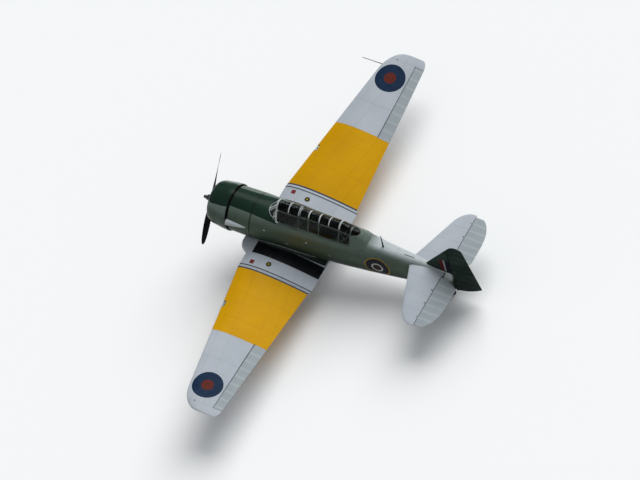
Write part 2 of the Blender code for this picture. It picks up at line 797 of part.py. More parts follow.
def make_outer_wing(shop, hand):
    side = "left" if hand > 0 else "right"
    spans = [JOINT_SPAN + GAP, 3.73, LE_ROUND[0], 5.95, 6.12, 6.25, 6.34, 6.385, HALF_SPAN]
    shape = [wing_ring(span, hand) for span in spans]
    wing = shop.part(f"outer_wing_{side}", loft_mesh(f"outer_wing_{side}", shape), "silver_dope")
    front, back = AILERON_SPAN
    # the aileron's bay, whose front wall follows the aileron's nose
    wall = []
    for span in (front - CLEAR, back + CLEAR):
        wall.append(AILERON_AXIS - aileron_nose(span) - CLEAR)
    bay = loft_mesh("aileron_bay", [
        [at(wall[k], hand * span, low), at(wall[k], hand * span, high),
         at(4.4, hand * span, high), at(4.4, hand * span, low)]
        for k, (span, low, high) in enumerate(((front - CLEAR, -0.75, 0.1), (back + CLEAR, -0.4, 0.4)))
    ])
    shop.cut(wing, bay)
    cut_flap_bay(shop, wing, FLAP_SPANS[1], hand)
    # the landing light's notch in the leading edge
    shop.cut(wing, light_box(hand, 0.0))
    pad = Vector((-3.0, hand * 4.30, wing_surface(4.30, 3.0, -1)))
    shop.join(wing, rod_mesh("tie_down", pad + Vector((0, 0, 0.03)), pad - Vector((0, 0, 0.012)), 0.035))
    if hand < 0:
        root = pitot_root()
        ends = root - Vector((0.05, 0, 0)), root + Vector((0.2, 0, 0))
        shop.cut(wing, rod_mesh("pitot_socket", *ends, 0.0150))
    light = shop.part(
        f"landing_light_{side}", loft_mesh(f"landing_light_{side}", [
            wing_ring(span, hand, -0.001) for span in (LIGHT_SPAN - 0.4, LIGHT_SPAN + 0.4)
        ]), "glass"
    )
    shop.keep(light, light_box(hand, GAP))
    return wing


def light_box(hand, inset):
    front = wing_chord(LIGHT_SPAN)[0]
    low = at(front + LIGHT_DEPTH - inset, hand * LIGHT_SPAN - LIGHT_WIDTH / 2 + inset, -0.8)
    high = at(front - 0.2, hand * LIGHT_SPAN + LIGHT_WIDTH / 2 - inset, 0.1)
    return box_mesh("light_box", low, high)


def pitot_root():
    span = 5.90
    front, _, _ = wing_chord(span)
    return Vector((-front, -span, (wing_surface(span, front, 1) + wing_surface(span, front, -1)) / 2))


def make_pitot(shop):
    root = pitot_root()
    profile = [(-0.048, 0.014), (0.20, 0.014), (0.22, 0.011), (0.62, 0.011), (0.645, 0.006)]
    return shop.part("pitot_tube", turned_mesh("pitot_tube", profile, root, (1, 0, 0), 10), "bare_metal")


def aileron_nose(span):
    # Half the wing's thickness at the aileron's axis
    return (wing_surface(span, AILERON_AXIS, 1) - wing_surface(span, AILERON_AXIS, -1)) / 2


def aileron_middle(span):
    return (wing_surface(span, AILERON_AXIS, 1) + wing_surface(span, AILERON_AXIS, -1)) / 2


def nose_ring(station, y, middle, radius, rear, edge, top, bottom, steps=5):
    # A control surface's section: a round nose about its axis, then skins back to the trailing edge.
    # rear is a list of stations; top and bottom give the skins' heights there.
    ring = []
    for k in range(steps + 1):
        angle = math.pi / 2 + math.pi * k / steps
        ring.append(at(station + radius * math.cos(angle), y, middle + radius * math.sin(angle)))
    for place in rear:
        ring.append(at(place, y, bottom(place)))
    ring.append(at(edge, y, bottom(edge)))
    ring.append(at(edge, y, top(edge)))
    for place in reversed(rear):
        ring.append(at(place, y, top(place)))
    return ring


def make_aileron(shop, wing, hand):
    side = "left" if hand > 0 else "right"
    inner, outer = AILERON_SPAN
    ends = [at(AILERON_AXIS, hand * span, aileron_middle(span)) for span in (inner, outer)]
    # both axes run from starboard to port, so that one sign of turn has one meaning
    direction = (ends[1] - ends[0]) * hand
    axis = shop.axis(f"axis_aileron_{side}", (ends[0] + ends[1]) / 2, direction)
    rings = []
    for span in (inner, outer - 0.15, outer):
        back = wing_chord(span)[1]
        rear = [AILERON_AXIS + (back - AILERON_AXIS) * 0.5]
        middle = ends[0].z + (ends[1].z - ends[0].z) * (span - inner) / (outer - inner)
        rings.append(nose_ring(
            AILERON_AXIS, hand * span, middle, aileron_nose(span), rear, back,
            lambda place, s=span: wing_surface(s, place, 1), lambda place, s=span: wing_surface(s, place, -1)
        ))
    mesh = loft_mesh(f"aileron_{side}", rings)
    aileron = shop.part(f"aileron_{side}", mesh, "silver_dope", axis)
    spots = []
    for share in (0.06, 0.5, 0.94):
        spots.append(ends[0].lerp(ends[1], share))
    add_hinges(shop, wing, aileron, spots, direction, 0.085, 0.13)
    return aileron


def add_hinges(shop, fixed, moving, spots, axis, arm, height):
    # Lugs with pins on the fixed piece, notches and bores in the moving one
    axis = Vector(axis).normalized()
    forward = (Vector((1, 0, 0)) - axis * axis.x).normalized()
    up = axis.cross(forward)
    plate = LUG_PLATE
    lugs, notches, bores = [], [], []
    for k, spot in enumerate(spots):
        lugs.append(rod_mesh(f"lug_{k}", spot - axis * plate / 2, spot + axis * plate / 2, LUG, sides=10))
        half = LUG * 0.8
        corner = [
            spot + up * half, spot - up * half,
            spot - up * half + forward * arm, spot + up * half + forward * arm,
        ]
        web = plate * 0.86
        lugs.append(prism_mesh(f"arm_{k}", [point - axis * web / 2 for point in corner], axis * web))
        lugs.append(rod_mesh(f"pin_{k}", spot - axis * PIN_REACH, spot + axis * PIN_REACH, PIN, sides=8))
        width = plate + 2 * CLEAR * 0.8
        back = LUG + CLEAR
        corner = [
            spot + up * height - forward * back, spot - up * height - forward * back,
            spot - up * height + forward * arm, spot + up * height + forward * arm,
        ]
        notches.append(prism_mesh(f"notch_{k}", [point - axis * width / 2 for point in corner], axis * width))
        reach = PIN_REACH + 0.0015
        bores.append(rod_mesh(f"bore_{k}", spot - axis * reach, spot + axis * reach, BORE, sides=8))
    shop.join(fixed, *lugs)
    shop.cut(moving, *notches)
    shop.cut(moving, *bores)


# Flaps

def flap_line(hand, across):
    # A point on the flap's hinge axis, just inside the wing's lower surface
    out = abs(across)
    height = wing_surface(out, FLAP_AXIS, -1) + FLAP_PLATE / 2
    return at(FLAP_AXIS, hand * across, height)


def cut_flap_bay(shop, wing, spans, hand):
    rings = []
    low, high = spans
    for across in (low - CLEAR, high + CLEAR):
        out = abs(across)
        front, back, _ = wing_chord(out)
        edge = wing_surface(out, back, -1)
        axis = flap_line(hand, across)
        roof = CLEAR - 0.001
        rings.append([
            at(FLAP_AXIS - FLAP_PLATE / 2 - CLEAR, hand * across, axis.z - 0.08),
            at(FLAP_AXIS - FLAP_PLATE / 2 - CLEAR, hand * across, axis.z + FLAP_PLATE / 2 + roof),
            at(FLAP_AXIS + 0.2, hand * across,
               wing_surface(out, FLAP_AXIS + 0.2, -1) + flap_thickness(0.2, back) + roof),
            at(back + 0.02, hand * across, edge + FLAP_EDGE + roof - 0.001),
            at(back + 0.02, hand * across, edge - 0.08),
        ])
    shop.cut(wing, loft_mesh("flap_bay", rings))


def flap_thickness(behind, back):
    share = min(behind / (back - FLAP_AXIS), 1.0)
    return FLAP_PLATE + (FLAP_EDGE - FLAP_PLATE) * share


def make_flap(shop, wing, name, spans, hand):
    low, high = spans
    ends = [flap_line(hand, across) for across in (low, high)]
    direction = (ends[1] - ends[0]) * (1 if ends[1].y > ends[0].y else -1)
    axis = shop.axis(f"axis_{name}", (ends[0] + ends[1]) / 2, direction)
    rings = []
    for across in (low, high):
        out = abs(across)
        back = wing_chord(out)[1] - 0.004
        middle = flap_line(hand, across).z
        rings.append(nose_ring(
            FLAP_AXIS, hand * across, middle, FLAP_PLATE / 2, [FLAP_AXIS + 0.2], back,
            lambda place, s=out, b=back: wing_surface(s, place, -1) + flap_thickness(place - FLAP_AXIS, b),
            lambda place, s=out: wing_surface(s, place, -1), 4
        ))
    flap = shop.part(name, loft_mesh(name, rings), "silver_dope", axis)
    spots = [ends[0].lerp(ends[1], share) for share in (0.04, 0.5, 0.96)]
    add_flap_hinges(shop, wing, flap, spots, direction)
    return flap


def add_flap_hinges(shop, wing, flap, spots, direction):
    # Small lugs that hang from the bay's roof, with a pin through the flap's rolled edge
    axis = Vector(direction).normalized()
    plate = 0.012
    radius = FLAP_PLATE / 2
    lugs, notches, bores = [], [], []
    for k, spot in enumerate(spots):
        ends = spot - axis * plate / 2, spot + axis * plate / 2
        lugs.append(rod_mesh(f"flap_lug_{k}", *ends, radius, sides=10))
        web = plate * 0.86
        low = spot + Vector((-radius * 0.8, 0, 0)) - axis * web / 2
        wide, tall = Vector((radius * 1.6, 0, 0)), Vector((0, 0, 0.03))
        outline = [low, low + wide, low + wide + tall, low + tall]
        lugs.append(prism_mesh(f"flap_arm_{k}", outline, axis * web))
        lugs.append(rod_mesh(f"flap_pin_{k}", spot - axis * 0.022, spot + axis * 0.022, 0.0034, sides=8))
        width = plate + 2 * CLEAR * 0.8
        corner = [
            spot + Vector((-radius - CLEAR, 0, -0.03)), spot + Vector((radius * 2, 0, -0.03)),
            spot + Vector((radius * 2, 0, 0.03)), spot + Vector((-radius - CLEAR, 0, 0.03)),
        ]
        outline = [point - axis * width / 2 for point in corner]
        notches.append(prism_mesh(f"flap_notch_{k}", outline, axis * width))
        bores.append(rod_mesh(f"flap_bore_{k}", spot - axis * 0.0235, spot + axis * 0.0235, 0.0039, sides=8))
    shop.join(wing, *lugs)
    shop.cut(flap, *notches)
    shop.cut(flap, *bores)


# Tail

def elevator_axis():
    return STAB_HINGE + CLEAR + ELEVATOR_NOSE


def stab_edges(span):
    front = STAB_ROOT_LE + span * STAB_LE_SWEEP
    start = 1.55
    if span > start:
        share = min((span - start) / (STAB_HALF_SPAN - start), 1.0)
        front += 0.30 * (1 - math.sqrt(max(0.0, 1 - share ** 2)))
    return front


def stab_half(span):
    return (STAB_THICKNESS[0] + (STAB_THICKNESS[1] - STAB_THICKNESS[0]) * span / STAB_HALF_SPAN) / 2


def tail_half(half, end, share):
    # Half thickness of a symmetric section, thickest at 42% of the fixed part and worn down to its end
    if share > 0.42:
        return half + (end - half) * (share - 0.42) / 0.58
    return half * math.sqrt(max(0.0, 1 - (1 - share / 0.42) ** 2))


def stabilizer_mesh(name, grow=0.0):
    rings = []
    for span in (-STAB_HALF_SPAN, -1.92, -1.82, -1.55, 0.0, 1.55, 1.82, 1.92, STAB_HALF_SPAN):
        out = abs(span)
        front, back = stab_edges(out), STAB_HINGE
        slim = math.sqrt(max(0.04, 1 - max(0.0, (out - 1.80) / (STAB_HALF_SPAN - 1.79)) ** 2))
        half = stab_half(out) * slim
        skin = []
        for share in (1.0, 0.42, 0.22, 0.09, 0.025):
            station = front + (back - front) * share + (grow if share == 1 else 0)
            skin.append((station, tail_half(half, min(half, ELEVATOR_NOSE), share) + grow))
        ring = [at(station, span, STAB_HEIGHT + rise) for station, rise in skin]
        ring.append(at(front - grow, span, STAB_HEIGHT))
        ring += [at(station, span, STAB_HEIGHT - rise) for station, rise in reversed(skin)]
        rings.append(ring)
    return loft_mesh(name, rings)


def elevator_edge(span):
    # The trailing edge, rounded to the tip
    if span <= 0.9:
        return ELEVATOR_TE
    share = min((span - 0.9) / (STAB_HALF_SPAN - 0.9), 1.0)
    return elevator_axis() + (ELEVATOR_TE - elevator_axis()) * (1 - share ** 2.6) ** 0.5


def make_elevators(shop, stab):
    axis = shop.axis("axis_elevators", at(elevator_axis(), 0, STAB_HEIGHT), (0, 1, 0))
    inner, outer = ELEVATOR_SPAN
    for side, hand in (("left", 1), ("right", -1)):
        rings = []
        for span in (inner, 0.45, 0.9, 1.35, 1.68, outer):
            slim = math.sqrt(1 - max(0.0, (span - 1.80) / (STAB_HALF_SPAN - 1.79)) ** 2)
            nose = min(stab_half(span) * slim, ELEVATOR_NOSE)
            back = elevator_edge(span)
            if span == inner:
                # the inner end is cut back so that the rudder can swing
                back = elevator_axis() + 0.20
            rear = [elevator_axis() + (back - elevator_axis()) * 0.5]

            def skin(place, way, n=nose, b=back, a=elevator_axis()):
                return STAB_HEIGHT + way * (n + (0.004 - n) * (place - a) / (b - a))
            rings.append(nose_ring(
                elevator_axis(), hand * span, STAB_HEIGHT, nose, rear, back,
                lambda place, f=skin: f(place, 1), lambda place, f=skin: f(place, -1)
            ))
        name = f"elevator_{side}"
        elevator = shop.part(name, loft_mesh(name, rings), "silver_dope", axis)
        spots = [at(elevator_axis(), hand * span, STAB_HEIGHT) for span in (0.60, 1.70)]
        add_hinges(shop, stab, elevator, spots, (0, 1, 0), 0.07, 0.10)
        shop.cut(elevator, rod_mesh(
            "tube_socket",
            at(elevator_axis(), hand * 0.20, STAB_HEIGHT), at(elevator_axis(), hand * 0.32, STAB_HEIGHT),
            0.0208, sides=12
        ))
    reach = 0.32 - GAP
    shop.part("elevator_torque_tube", rod_mesh(
        "elevator_torque_tube",
        at(elevator_axis(), -reach, STAB_HEIGHT), at(elevator_axis(), reach, STAB_HEIGHT), 0.02
    ), "bare_metal", axis)


def fin_front(height):
    slope = (FIN_TOP[0] - FIN_LE[0]) / (FIN_TOP[1] - FIN_LE[1])
    return FIN_LE[0] + (height - FIN_LE[1]) * slope


def fin_half(height):
    share = (height - 0.4) / (FIN_TOP[1] - 0.4)
    return (FIN_THICKNESS[0] + (FIN_THICKNESS[1] - FIN_THICKNESS[0]) * share) / 2


def make_fin(shop):
    rings = []
    for height in (0.42, FIN_CUT - CLEAR):
        front = fin_front(height)
        half = fin_half(height)
        shares = (1.0, 0.42, 0.22, 0.09, 0.025)
        wall = RUDDER_HINGE - fin_nose(height) - CLEAR
        skin = [(front + (wall - front) * s, tail_half(half, fin_nose(height), s)) for s in shares]
        ring = [at(station, wide, height) for station, wide in skin]
        ring.append(at(front, 0, height))
        ring += [at(station, -wide, height) for station, wide in reversed(skin)]
        rings.append(ring)
    fin = shop.part("fin", loft_mesh("fin", rings), "dark_green")
    shop.cut(fin, fuselage_solid("fin_seat", 6.53, 8.03, GAP), stabilizer_mesh("fin_notch", GAP))
    return fin


def fin_nose(height):
    return min(fin_half(height), RUDDER_NOSE)


def rudder_back(height):
    low, high = RUDDER_TE_LOW, RUDDER_TE_HIGH
    if height < low[1]:
        share = (height - RUDDER_LOW) / (low[1] - RUDDER_LOW)
        return RUDDER_HINGE + 0.04 + (low[0] - RUDDER_HINGE - 0.04) * max(share, 0.0) ** 0.62
    if height > high[1]:
        share = (height - high[1]) / (FIN_TOP[1] - high[1])
        return high[0] - 0.16 * (1 - math.sqrt(max(0.0, 1 - share ** 2)))
    return low[0] + (high[0] - low[0]) * (height - low[1]) / (high[1] - low[1])


def make_rudder(shop, fin, rear):
    axis = shop.axis("axis_rudder", at(RUDDER_HINGE, 0, 0.5), (0, 0, 1))
    rings = []
    heights = (RUDDER_LOW, -0.28, -0.16, -0.03, 0.08, 0.6, FIN_CUT)
    for height in heights:
        rings.append(rudder_ring(height, fin_nose(max(height, 0.4))))
    rudder = shop.part("rudder", loft_mesh("rudder", rings), "dark_green", axis)
    horn = []
    for height in (FIN_CUT, 1.70, 1.78, 1.815, FIN_TOP[1]):
        front = max(fin_front(height), RUDDER_HINGE - 0.16)
        front += 0.25 * max(0.0, (height - 1.70) / 0.13) ** 2 * 0.4
        back = rudder_back(height)
        half = fin_half(height) * (1 - 0.7 * max(0.0, (height - 1.74) / 0.09) ** 2)
        skin = []
        for share in (1.0, 0.36, 0.16, 0.05, 0.012):
            skin.append((front + (back - front) * share, max(rudder_taper(half, share), 0.003)))
        ring = [at(station, wide, height) for station, wide in skin]
        ring.append(at(front, 0, height))
        ring += [at(station, -wide, height) for station, wide in reversed(skin)]
        horn.append(ring)
    shop.join(rudder, loft_mesh("rudder_horn", horn))
    spots = [at(RUDDER_HINGE, 0, height) for height in (0.85, 1.36)]
    add_hinges(shop, fin, rudder, spots, (0, 0, 1), 0.085, 0.10)
    add_hinges(shop, rear, rudder, [at(RUDDER_HINGE, 0, -0.12)], (0, 0, 1), 0.085, 0.10)
    return rudder


def rudder_taper(half, share):
    rise = math.sqrt(max(0.0, 1 - (1 - min(share / 0.25, 1.0)) ** 2))
    return half * rise * (1 - max(0.0, share - 0.25) / 0.75 * 0.92)


def rudder_ring(height, nose):
    back = rudder_back(height)
    rear = [RUDDER_HINGE + (back - RUDDER_HINGE) * 0.5]
    ring = []
    steps = 5
    for k in range(steps + 1):
        angle = math.pi / 2 + math.pi * k / steps
        ring.append(at(RUDDER_HINGE + nose * math.cos(angle), nose * math.sin(angle), height))
    chord = back - RUDDER_HINGE
    skins = [(place, nose + (0.004 - nose) * (place - RUDDER_HINGE) / chord) for place in rear]
    skins.append((back, 0.004))
    ring += [at(place, -half, height) for place, half in skins]
    ring += [at(place, half, height) for place, half in reversed(skins)]
    return ring


# Canopy

def canopy_arch(station, grow, height_scale=1.0, width_scale=1.0):
    # Points over the top from port to starboard, moved out by grow from the scaled profile
    base = SILL + GAP
    profile = [(y * width_scale, base + (z - base) * height_scale) for y, z in CANOPY_PROFILE]
    half = []
    for k, (y, z) in enumerate(profile):
        if k == 0:
            half.append((y + grow, base))
            continue
        if k == len(profile) - 1:
            half.append((0.0, z + grow))
            continue
        y0, z0 = profile[k - 1]
        y1, z1 = profile[k + 1]
        way = Vector((z1 - z0, y0 - y1)).normalized()
        half.append((y + way.x * grow, z + way.y * grow))
    port = [at(station, y, z) for y, z in half]
    starboard = [at(station, -y, z) for y, z in reversed(half[:-1])]
    return port + starboard


def shell_mesh(name, rows, inner_rows):
    # A thin arched shell between an outer and an inner set of arches
    rings = []
    for outer, inner in zip(rows, inner_rows):
        rings.append(outer + list(reversed(inner)))
    return loft_mesh(name, rings)


def canopy_shell(name, stations, grow, thickness, scales=None):
    scales = scales or [(1.0, 1.0)] * len(stations)
    outer = [canopy_arch(s, grow, h, w) for s, (h, w) in zip(stations, scales)]
    inner = [canopy_arch(s, grow - thickness, h, w) for s, (h, w) in zip(stations, scales)]
    return shell_mesh(name, outer, inner)


def window_cutters(name, bars, rail):
    # Boxes that leave bars across and rails along: two rows of panes on each side and one on top
    cutters = []
    panes = list(zip(bars, bars[1:]))
    for k, (front, back) in enumerate(panes):
        for hand in (1, -1):
            cutters.append(box_mesh(
                f"{name}_side_{k}_{hand}", at(back - rail, min(hand * 0.18, hand * 0.6), SILL + 0.035),
                at(front + rail, max(hand * 0.18, hand * 0.6), 0.955)
            ))
        cutters.append(box_mesh(
            f"{name}_top_{k}", at(back - rail, -0.30, 0.985), at(front + rail, 0.30, 1.4)
        ))
    return cutters


def make_canopy_part(shop, name, span, bars, grow, parent=None):
    start, end = span
    shop.part(f"{name}_glass", canopy_shell(f"{name}_glass", [start, end], grow, GLASS), "glass", parent)
    frame = shop.part(
        f"{name}_frame",
        canopy_shell(f"{name}_frame", [start, end], grow + GAP + FRAME, FRAME), "frame_grey", parent
    )
    shop.cut(frame, *window_cutters(name, bars, 0.017))


def make_canopy(shop):
    step = GLASS + FRAME + CLEAR
    bars = (MIDDLE_CANOPY[0], 3.65, MIDDLE_CANOPY[1])
    make_canopy_part(shop, "canopy_middle", MIDDLE_CANOPY, bars, -2 * step)
    rear = shop.axis("slide_canopy_rear", at(sum(REAR_SLIDE) / 2, 0, SILL), (1, 0, 0))
    make_canopy_part(shop, "canopy_rear", REAR_SLIDE, (REAR_SLIDE[0], 4.30, REAR_SLIDE[1]), -step, rear)
    front = shop.axis("slide_canopy_front", at(sum(FRONT_SLIDE) / 2, 0, SILL), (1, 0, 0))
    make_canopy_part(shop, "canopy_front", FRONT_SLIDE, (FRONT_SLIDE[0], 2.99, FRONT_SLIDE[1]), 0.0, front)
    make_tail_canopy(shop, -step)
    make_windscreen(shop)


def make_tail_canopy(shop, grow):
    stations = [TAIL_CANOPY[0], 4.95, 5.20, 5.32, 5.38, TAIL_CANOPY[1]]
    scales = [(1.0, 1.0), (0.80, 0.97), (0.60, 0.93), (0.47, 0.88), (0.34, 0.80), (0.16, 0.60)]
    # the aft sill lies on the rear deck, so the shell is trimmed by the deck
    glass = shop.part("canopy_tail_glass", canopy_shell(
        "canopy_tail_glass", stations, grow, GLASS, scales), "glass")
    frame = shop.part("canopy_tail_frame", canopy_shell(
        "canopy_tail_frame", stations, grow + GAP + FRAME, FRAME, scales), "frame_grey")
    for piece in (glass, frame):
        shop.cut(piece, fuselage_solid(f"{piece.name}_seat", 5.10, 5.86, GAP))
    cutters = []
    for hand in (1, -1):
        cutters.append(box_mesh(
            f"tail_pane_{hand}", at(4.93, min(hand * 0.18, hand * 0.6), SILL + 0.035),
            at(4.64, max(hand * 0.18, hand * 0.6), 0.86)
        ))
        cutters.append(box_mesh(
            f"tail_low_pane_{hand}", at(5.20, min(hand * 0.20, hand * 0.6), SILL + 0.10),
            at(4.97, max(hand * 0.20, hand * 0.6), 0.74)
        ))
    cutters.append(box_mesh("tail_top_pane", at(4.93, -0.28, 0.90), at(4.64, 0.28, 1.4)))
    cutters.append(box_mesh("tail_low_top_pane", at(5.20, -0.28, 0.78), at(4.97, 0.28, 1.4)))
    shop.cut(frame, *cutters)


def windscreen_rings(grow):
    # From the base on the deck to the rear arch, from port over the centre to starboard
    back = canopy_arch(WINDSCREEN_BACK, grow)
    count = len(back)
    front = []
    for k, point in enumerate(back):
        t = k / (count - 1) * 2 - 1
        reach = min(abs(t) / 0.92, 1.0)
        station = WINDSCREEN_FRONT - grow + (WINDSCREEN_BACK - 0.02 - WINDSCREEN_FRONT) * reach ** 2.2
        y = -math.copysign((0.366 + grow) * min(abs(t) ** 0.9, 1.0), t)
        top, _, half, middle, _, power = fuselage_size(station)
        deck = middle + (top - middle) * (1 - (abs(y) / half) ** power) ** (1 / power)
        front.append(at(station, y, deck - 0.02))
    return front, back


def make_windscreen(shop):
    rows = []
    for grow in (0.0, -GLASS):
        rows.append(windscreen_rings(grow))
    glass = shop.part("windscreen_glass", shell_mesh("windscreen_glass", rows[0], rows[1]), "glass")
    rows = [windscreen_rings(grow) for grow in (FRAME + GAP, GAP)]
    frame = shop.part("windscreen_frame", shell_mesh("windscreen_frame", rows[0], rows[1]), "frame_grey")
    for piece in (glass, frame):
        shop.cut(piece, fuselage_solid(f"{piece.name}_seat", 1.83, 2.55, GAP))
        low, high = at(2.8, -0.6, 0.3), at(COCKPIT_FRONT - 0.01, 0.6, SILL + GAP)
        shop.cut(piece, box_mesh(f"{piece.name}_foot", low, high))
    panes = []
    for hand in (1, -1):
        outline = [at(2.60, hand * 0.6, 0.64), at(2.60, hand * 0.6, 1.02), at(2.52, hand * 0.6, 0.98),
                   at(2.37, hand * 0.6, 0.76), at(2.40, hand * 0.6, 0.70)]
        panes.append(prism_mesh(f"windscreen_side_{hand}", outline, (0, -hand * 0.47, 0)))
    outline = [at(2.20, -0.105, 0.71), at(2.20, -0.075, 1.06), at(2.20, 0.075, 1.06), at(2.20, 0.105, 0.71)]
    panes.append(prism_mesh("windscreen_centre", outline, (-0.38, 0, 0)))
    shop.cut(frame, *panes)


# Cockpit furniture

def make_seat(shop, name, station):
    back = station + SEAT_DEPTH / 2
    front = station - SEAT_DEPTH / 2
    half = SEAT_WIDTH / 2
    seat = shop.part(name, box_mesh(
        name, at(back, -half, SEAT_TOP - SEAT_SHEET), at(front, half, SEAT_TOP)), "interior_green")
    pieces = [box_mesh(
        f"{name}_back", at(back + 0.002, -half - 0.001, SEAT_TOP - SEAT_SHEET - 0.002),
        at(back - SEAT_SHEET, half + 0.001, SEAT_BACK))]
    for hand in (1, -1):
        y0, y1 = sorted((hand * (half + 0.003), hand * (half + 0.003 - SEAT_SHEET)))
        low = SEAT_TOP - SEAT_SHEET - 0.004
        rim = back + 0.004
        outline = [
            at(rim, y0, low), at(front - 0.004, y0, low), at(front - 0.004, y0, SEAT_TOP + 0.09),
            at(back - 0.12, y0, SEAT_TOP + 0.20), at(back - 0.05, y0, SEAT_BACK - 0.05),
            at(rim, y0, SEAT_BACK - 0.06),
        ]
        pieces.append(prism_mesh(f"{name}_side_{hand}", outline, (0, y1 - y0, 0)))
        for k, place in enumerate((front + 0.05, back - 0.05)):
            pieces.append(rod_mesh(
                f"{name}_leg_{hand}_{k}", at(place, hand * (half - 0.05), FLOOR_TOP + GAP),
                at(place, hand * (half - 0.05), SEAT_TOP - 0.005), 0.014, sides=6
            ))
    shop.join(seat, *pieces)
    return seat


def make_panel(shop, name, station, low):
    high = SILL - RAIL_DEPTH - GAP
    panel = shop.part(name, box_mesh(name, at(station + 0.02, -0.6, low), at(station, 0.6, high)), "black")
    shop.keep(panel, fuselage_solid(f"{name}_outline", 2.28, 4.61, -FUSELAGE_WALL - GAP))
    return panel


def make_stick(shop, name, station):
    route = bend([
        at(station + 0.02, 0, FLOOR_TOP + 0.01), at(station, 0, -0.12), at(station + 0.05, 0, 0.17)
    ], 0.05)
    stick = shop.part(name, tube_mesh(name, route, 0.013), "black")
    ends = at(station + 0.045, 0, 0.13), at(station + 0.055, 0, 0.25)
    grip = rod_mesh(f"{name}_grip", *ends, 0.019, sides=10)
    base = at(station + 0.02, 0, FLOOR_TOP + GAP)
    boot = rod_mesh(f"{name}_boot", base, base + Vector((0, 0, 0.03)), 0.05, 0.02)
    shop.join(stick, grip, boot)


def make_turnover_frame(shop):
    station = 3.52
    hoop = bend([
        at(station, 0.26, FLOOR_TOP + 0.0008), at(station, 0.25, 0.55), at(station, 0.10, 0.98),
        at(station, -0.10, 0.98), at(station, -0.25, 0.55), at(station, -0.26, FLOOR_TOP + 0.0008)
    ], 0.07)
    return shop.part("turnover_frame", tube_mesh("turnover_frame", hoop, 0.021), "interior_green")


# Landing gear

def tyre_profile(radius, width, rim):
    # Half circle crown on straight walls, closed at the rim
    half = width / 2
    points = []
    for k in range(6):
        angle = math.pi * k / 5
        height = rim + (radius - rim) * (0.38 + 0.62 * math.sin(angle) ** 0.9)
        points.append((-half * math.cos(angle), height))
    points.append((half * 0.62, rim))
    points.insert(0, (-half * 0.62, rim))
    return points


def make_wheel(shop, name, centre, radius, width, rim, bore, parent, steps=22):
    tyre_points = tyre_profile(radius, width, rim)
    shop.part(
        f"{name}_tire",
        turned_mesh(f"{name}_tire", tyre_points, centre, (0, 1, 0), steps, closed=True), "rubber", parent
    )
    hub = width * 0.62 / 2
    profile = [
        (-hub, rim - GAP), (hub, rim - GAP), (hub * 0.72, rim * 0.80),
        (hub * 0.72, rim * 0.36), (hub * 1.02, rim * 0.30), (hub * 1.02, bore),
        (-hub * 1.02, bore), (-hub * 1.02, rim * 0.30), (-hub * 0.72, rim * 0.36),
        (-hub * 0.72, rim * 0.80),
    ]
    shop.part(
        f"{name}_hub",
        turned_mesh(f"{name}_hub", profile, centre, (0, 1, 0), steps, closed=True), "bare_metal", parent
    )


def make_main_leg(shop, hand):
    side = "left" if hand > 0 else "right"
    name = f"main_gear_leg_{side}"
    top = at(WHEEL_STATION, hand * LEG_SPAN, TRUNNION_HEIGHT)
    knuckle = at(WHEEL_STATION, hand * LEG_SPAN, WHEEL_HEIGHT)
    foot = at(WHEEL_STATION, hand * LEG_SPAN, -1.04)
    leg = shop.part(name, rod_mesh(name, top, foot, 0.056, sides=16), "silver_dope")
    y = hand * LEG_SPAN
    reach = SLOT_HALF - GAP
    axle_end = at(WHEEL_STATION, hand * (WHEEL_SPAN + 0.085), WHEEL_HEIGHT)
    pieces = [
        rod_mesh("trunnion", top + Vector((reach, 0, 0)), top - Vector((reach, 0, 0)), 0.045),
        rod_mesh("piston", at(WHEEL_STATION, y, -1.00), knuckle, 0.036),
        rod_mesh("knuckle", knuckle + Vector((0, 0, 0.075)), knuckle - Vector((0, 0, 0.055)), 0.052),
        rod_mesh("collar", at(WHEEL_STATION, y, -1.078), at(WHEEL_STATION, y, -1.02), 0.066, sides=14),
        rod_mesh("axle", knuckle, axle_end, AXLE, sides=14),
        rod_mesh("axle_collar", knuckle, at(WHEEL_STATION, hand * (WHEEL_SPAN - 0.072), WHEEL_HEIGHT), 0.046),
    ]
    # torque link ahead of the leg
    for k, (start, end) in enumerate((
        (at(WHEEL_STATION - 0.05, y, -1.05), at(WHEEL_STATION - 0.155, y, -1.17)),
        (at(WHEEL_STATION - 0.155, y, -1.17), at(WHEEL_STATION - 0.04, y, -1.33)),
    )):
        pieces.append(rod_mesh(f"torque_link_{k}", start, end, 0.018, sides=8))
    link = at(WHEEL_STATION - 0.155, y, -1.17)
    half_pin = Vector((0, 0.04, 0))
    pieces.append(rod_mesh("torque_link_pin", link - half_pin, link + half_pin, 0.02, sides=9))
    # side brace up into the wheel well
    pieces.append(rod_mesh(
        "side_brace", at(WHEEL_STATION, y, -0.86), at(WHEEL_STATION, hand * 0.72, -0.585), 0.022, sides=8
    ))
    pieces.append(rod_mesh(
        "brace_pin", at(WHEEL_STATION - reach, hand * 0.72, -0.585),
        at(WHEEL_STATION + reach, hand * 0.72, -0.585), 0.026, sides=10
    ))
    shop.join(leg, *pieces)
    return leg


def make_main_wheels(shop):
    for hand in (1, -1):
        side = "left" if hand > 0 else "right"
        make_main_leg(shop, hand)
        centre = at(WHEEL_STATION, hand * WHEEL_SPAN, WHEEL_HEIGHT)
        axis = shop.axis(f"axis_main_wheel_{side}", centre, (0, 1, 0))
        make_wheel(shop, f"main_wheel_{side}", centre, WHEEL_RADIUS, TYRE_WIDTH, 0.185, AXLE + 0.0006, axis)


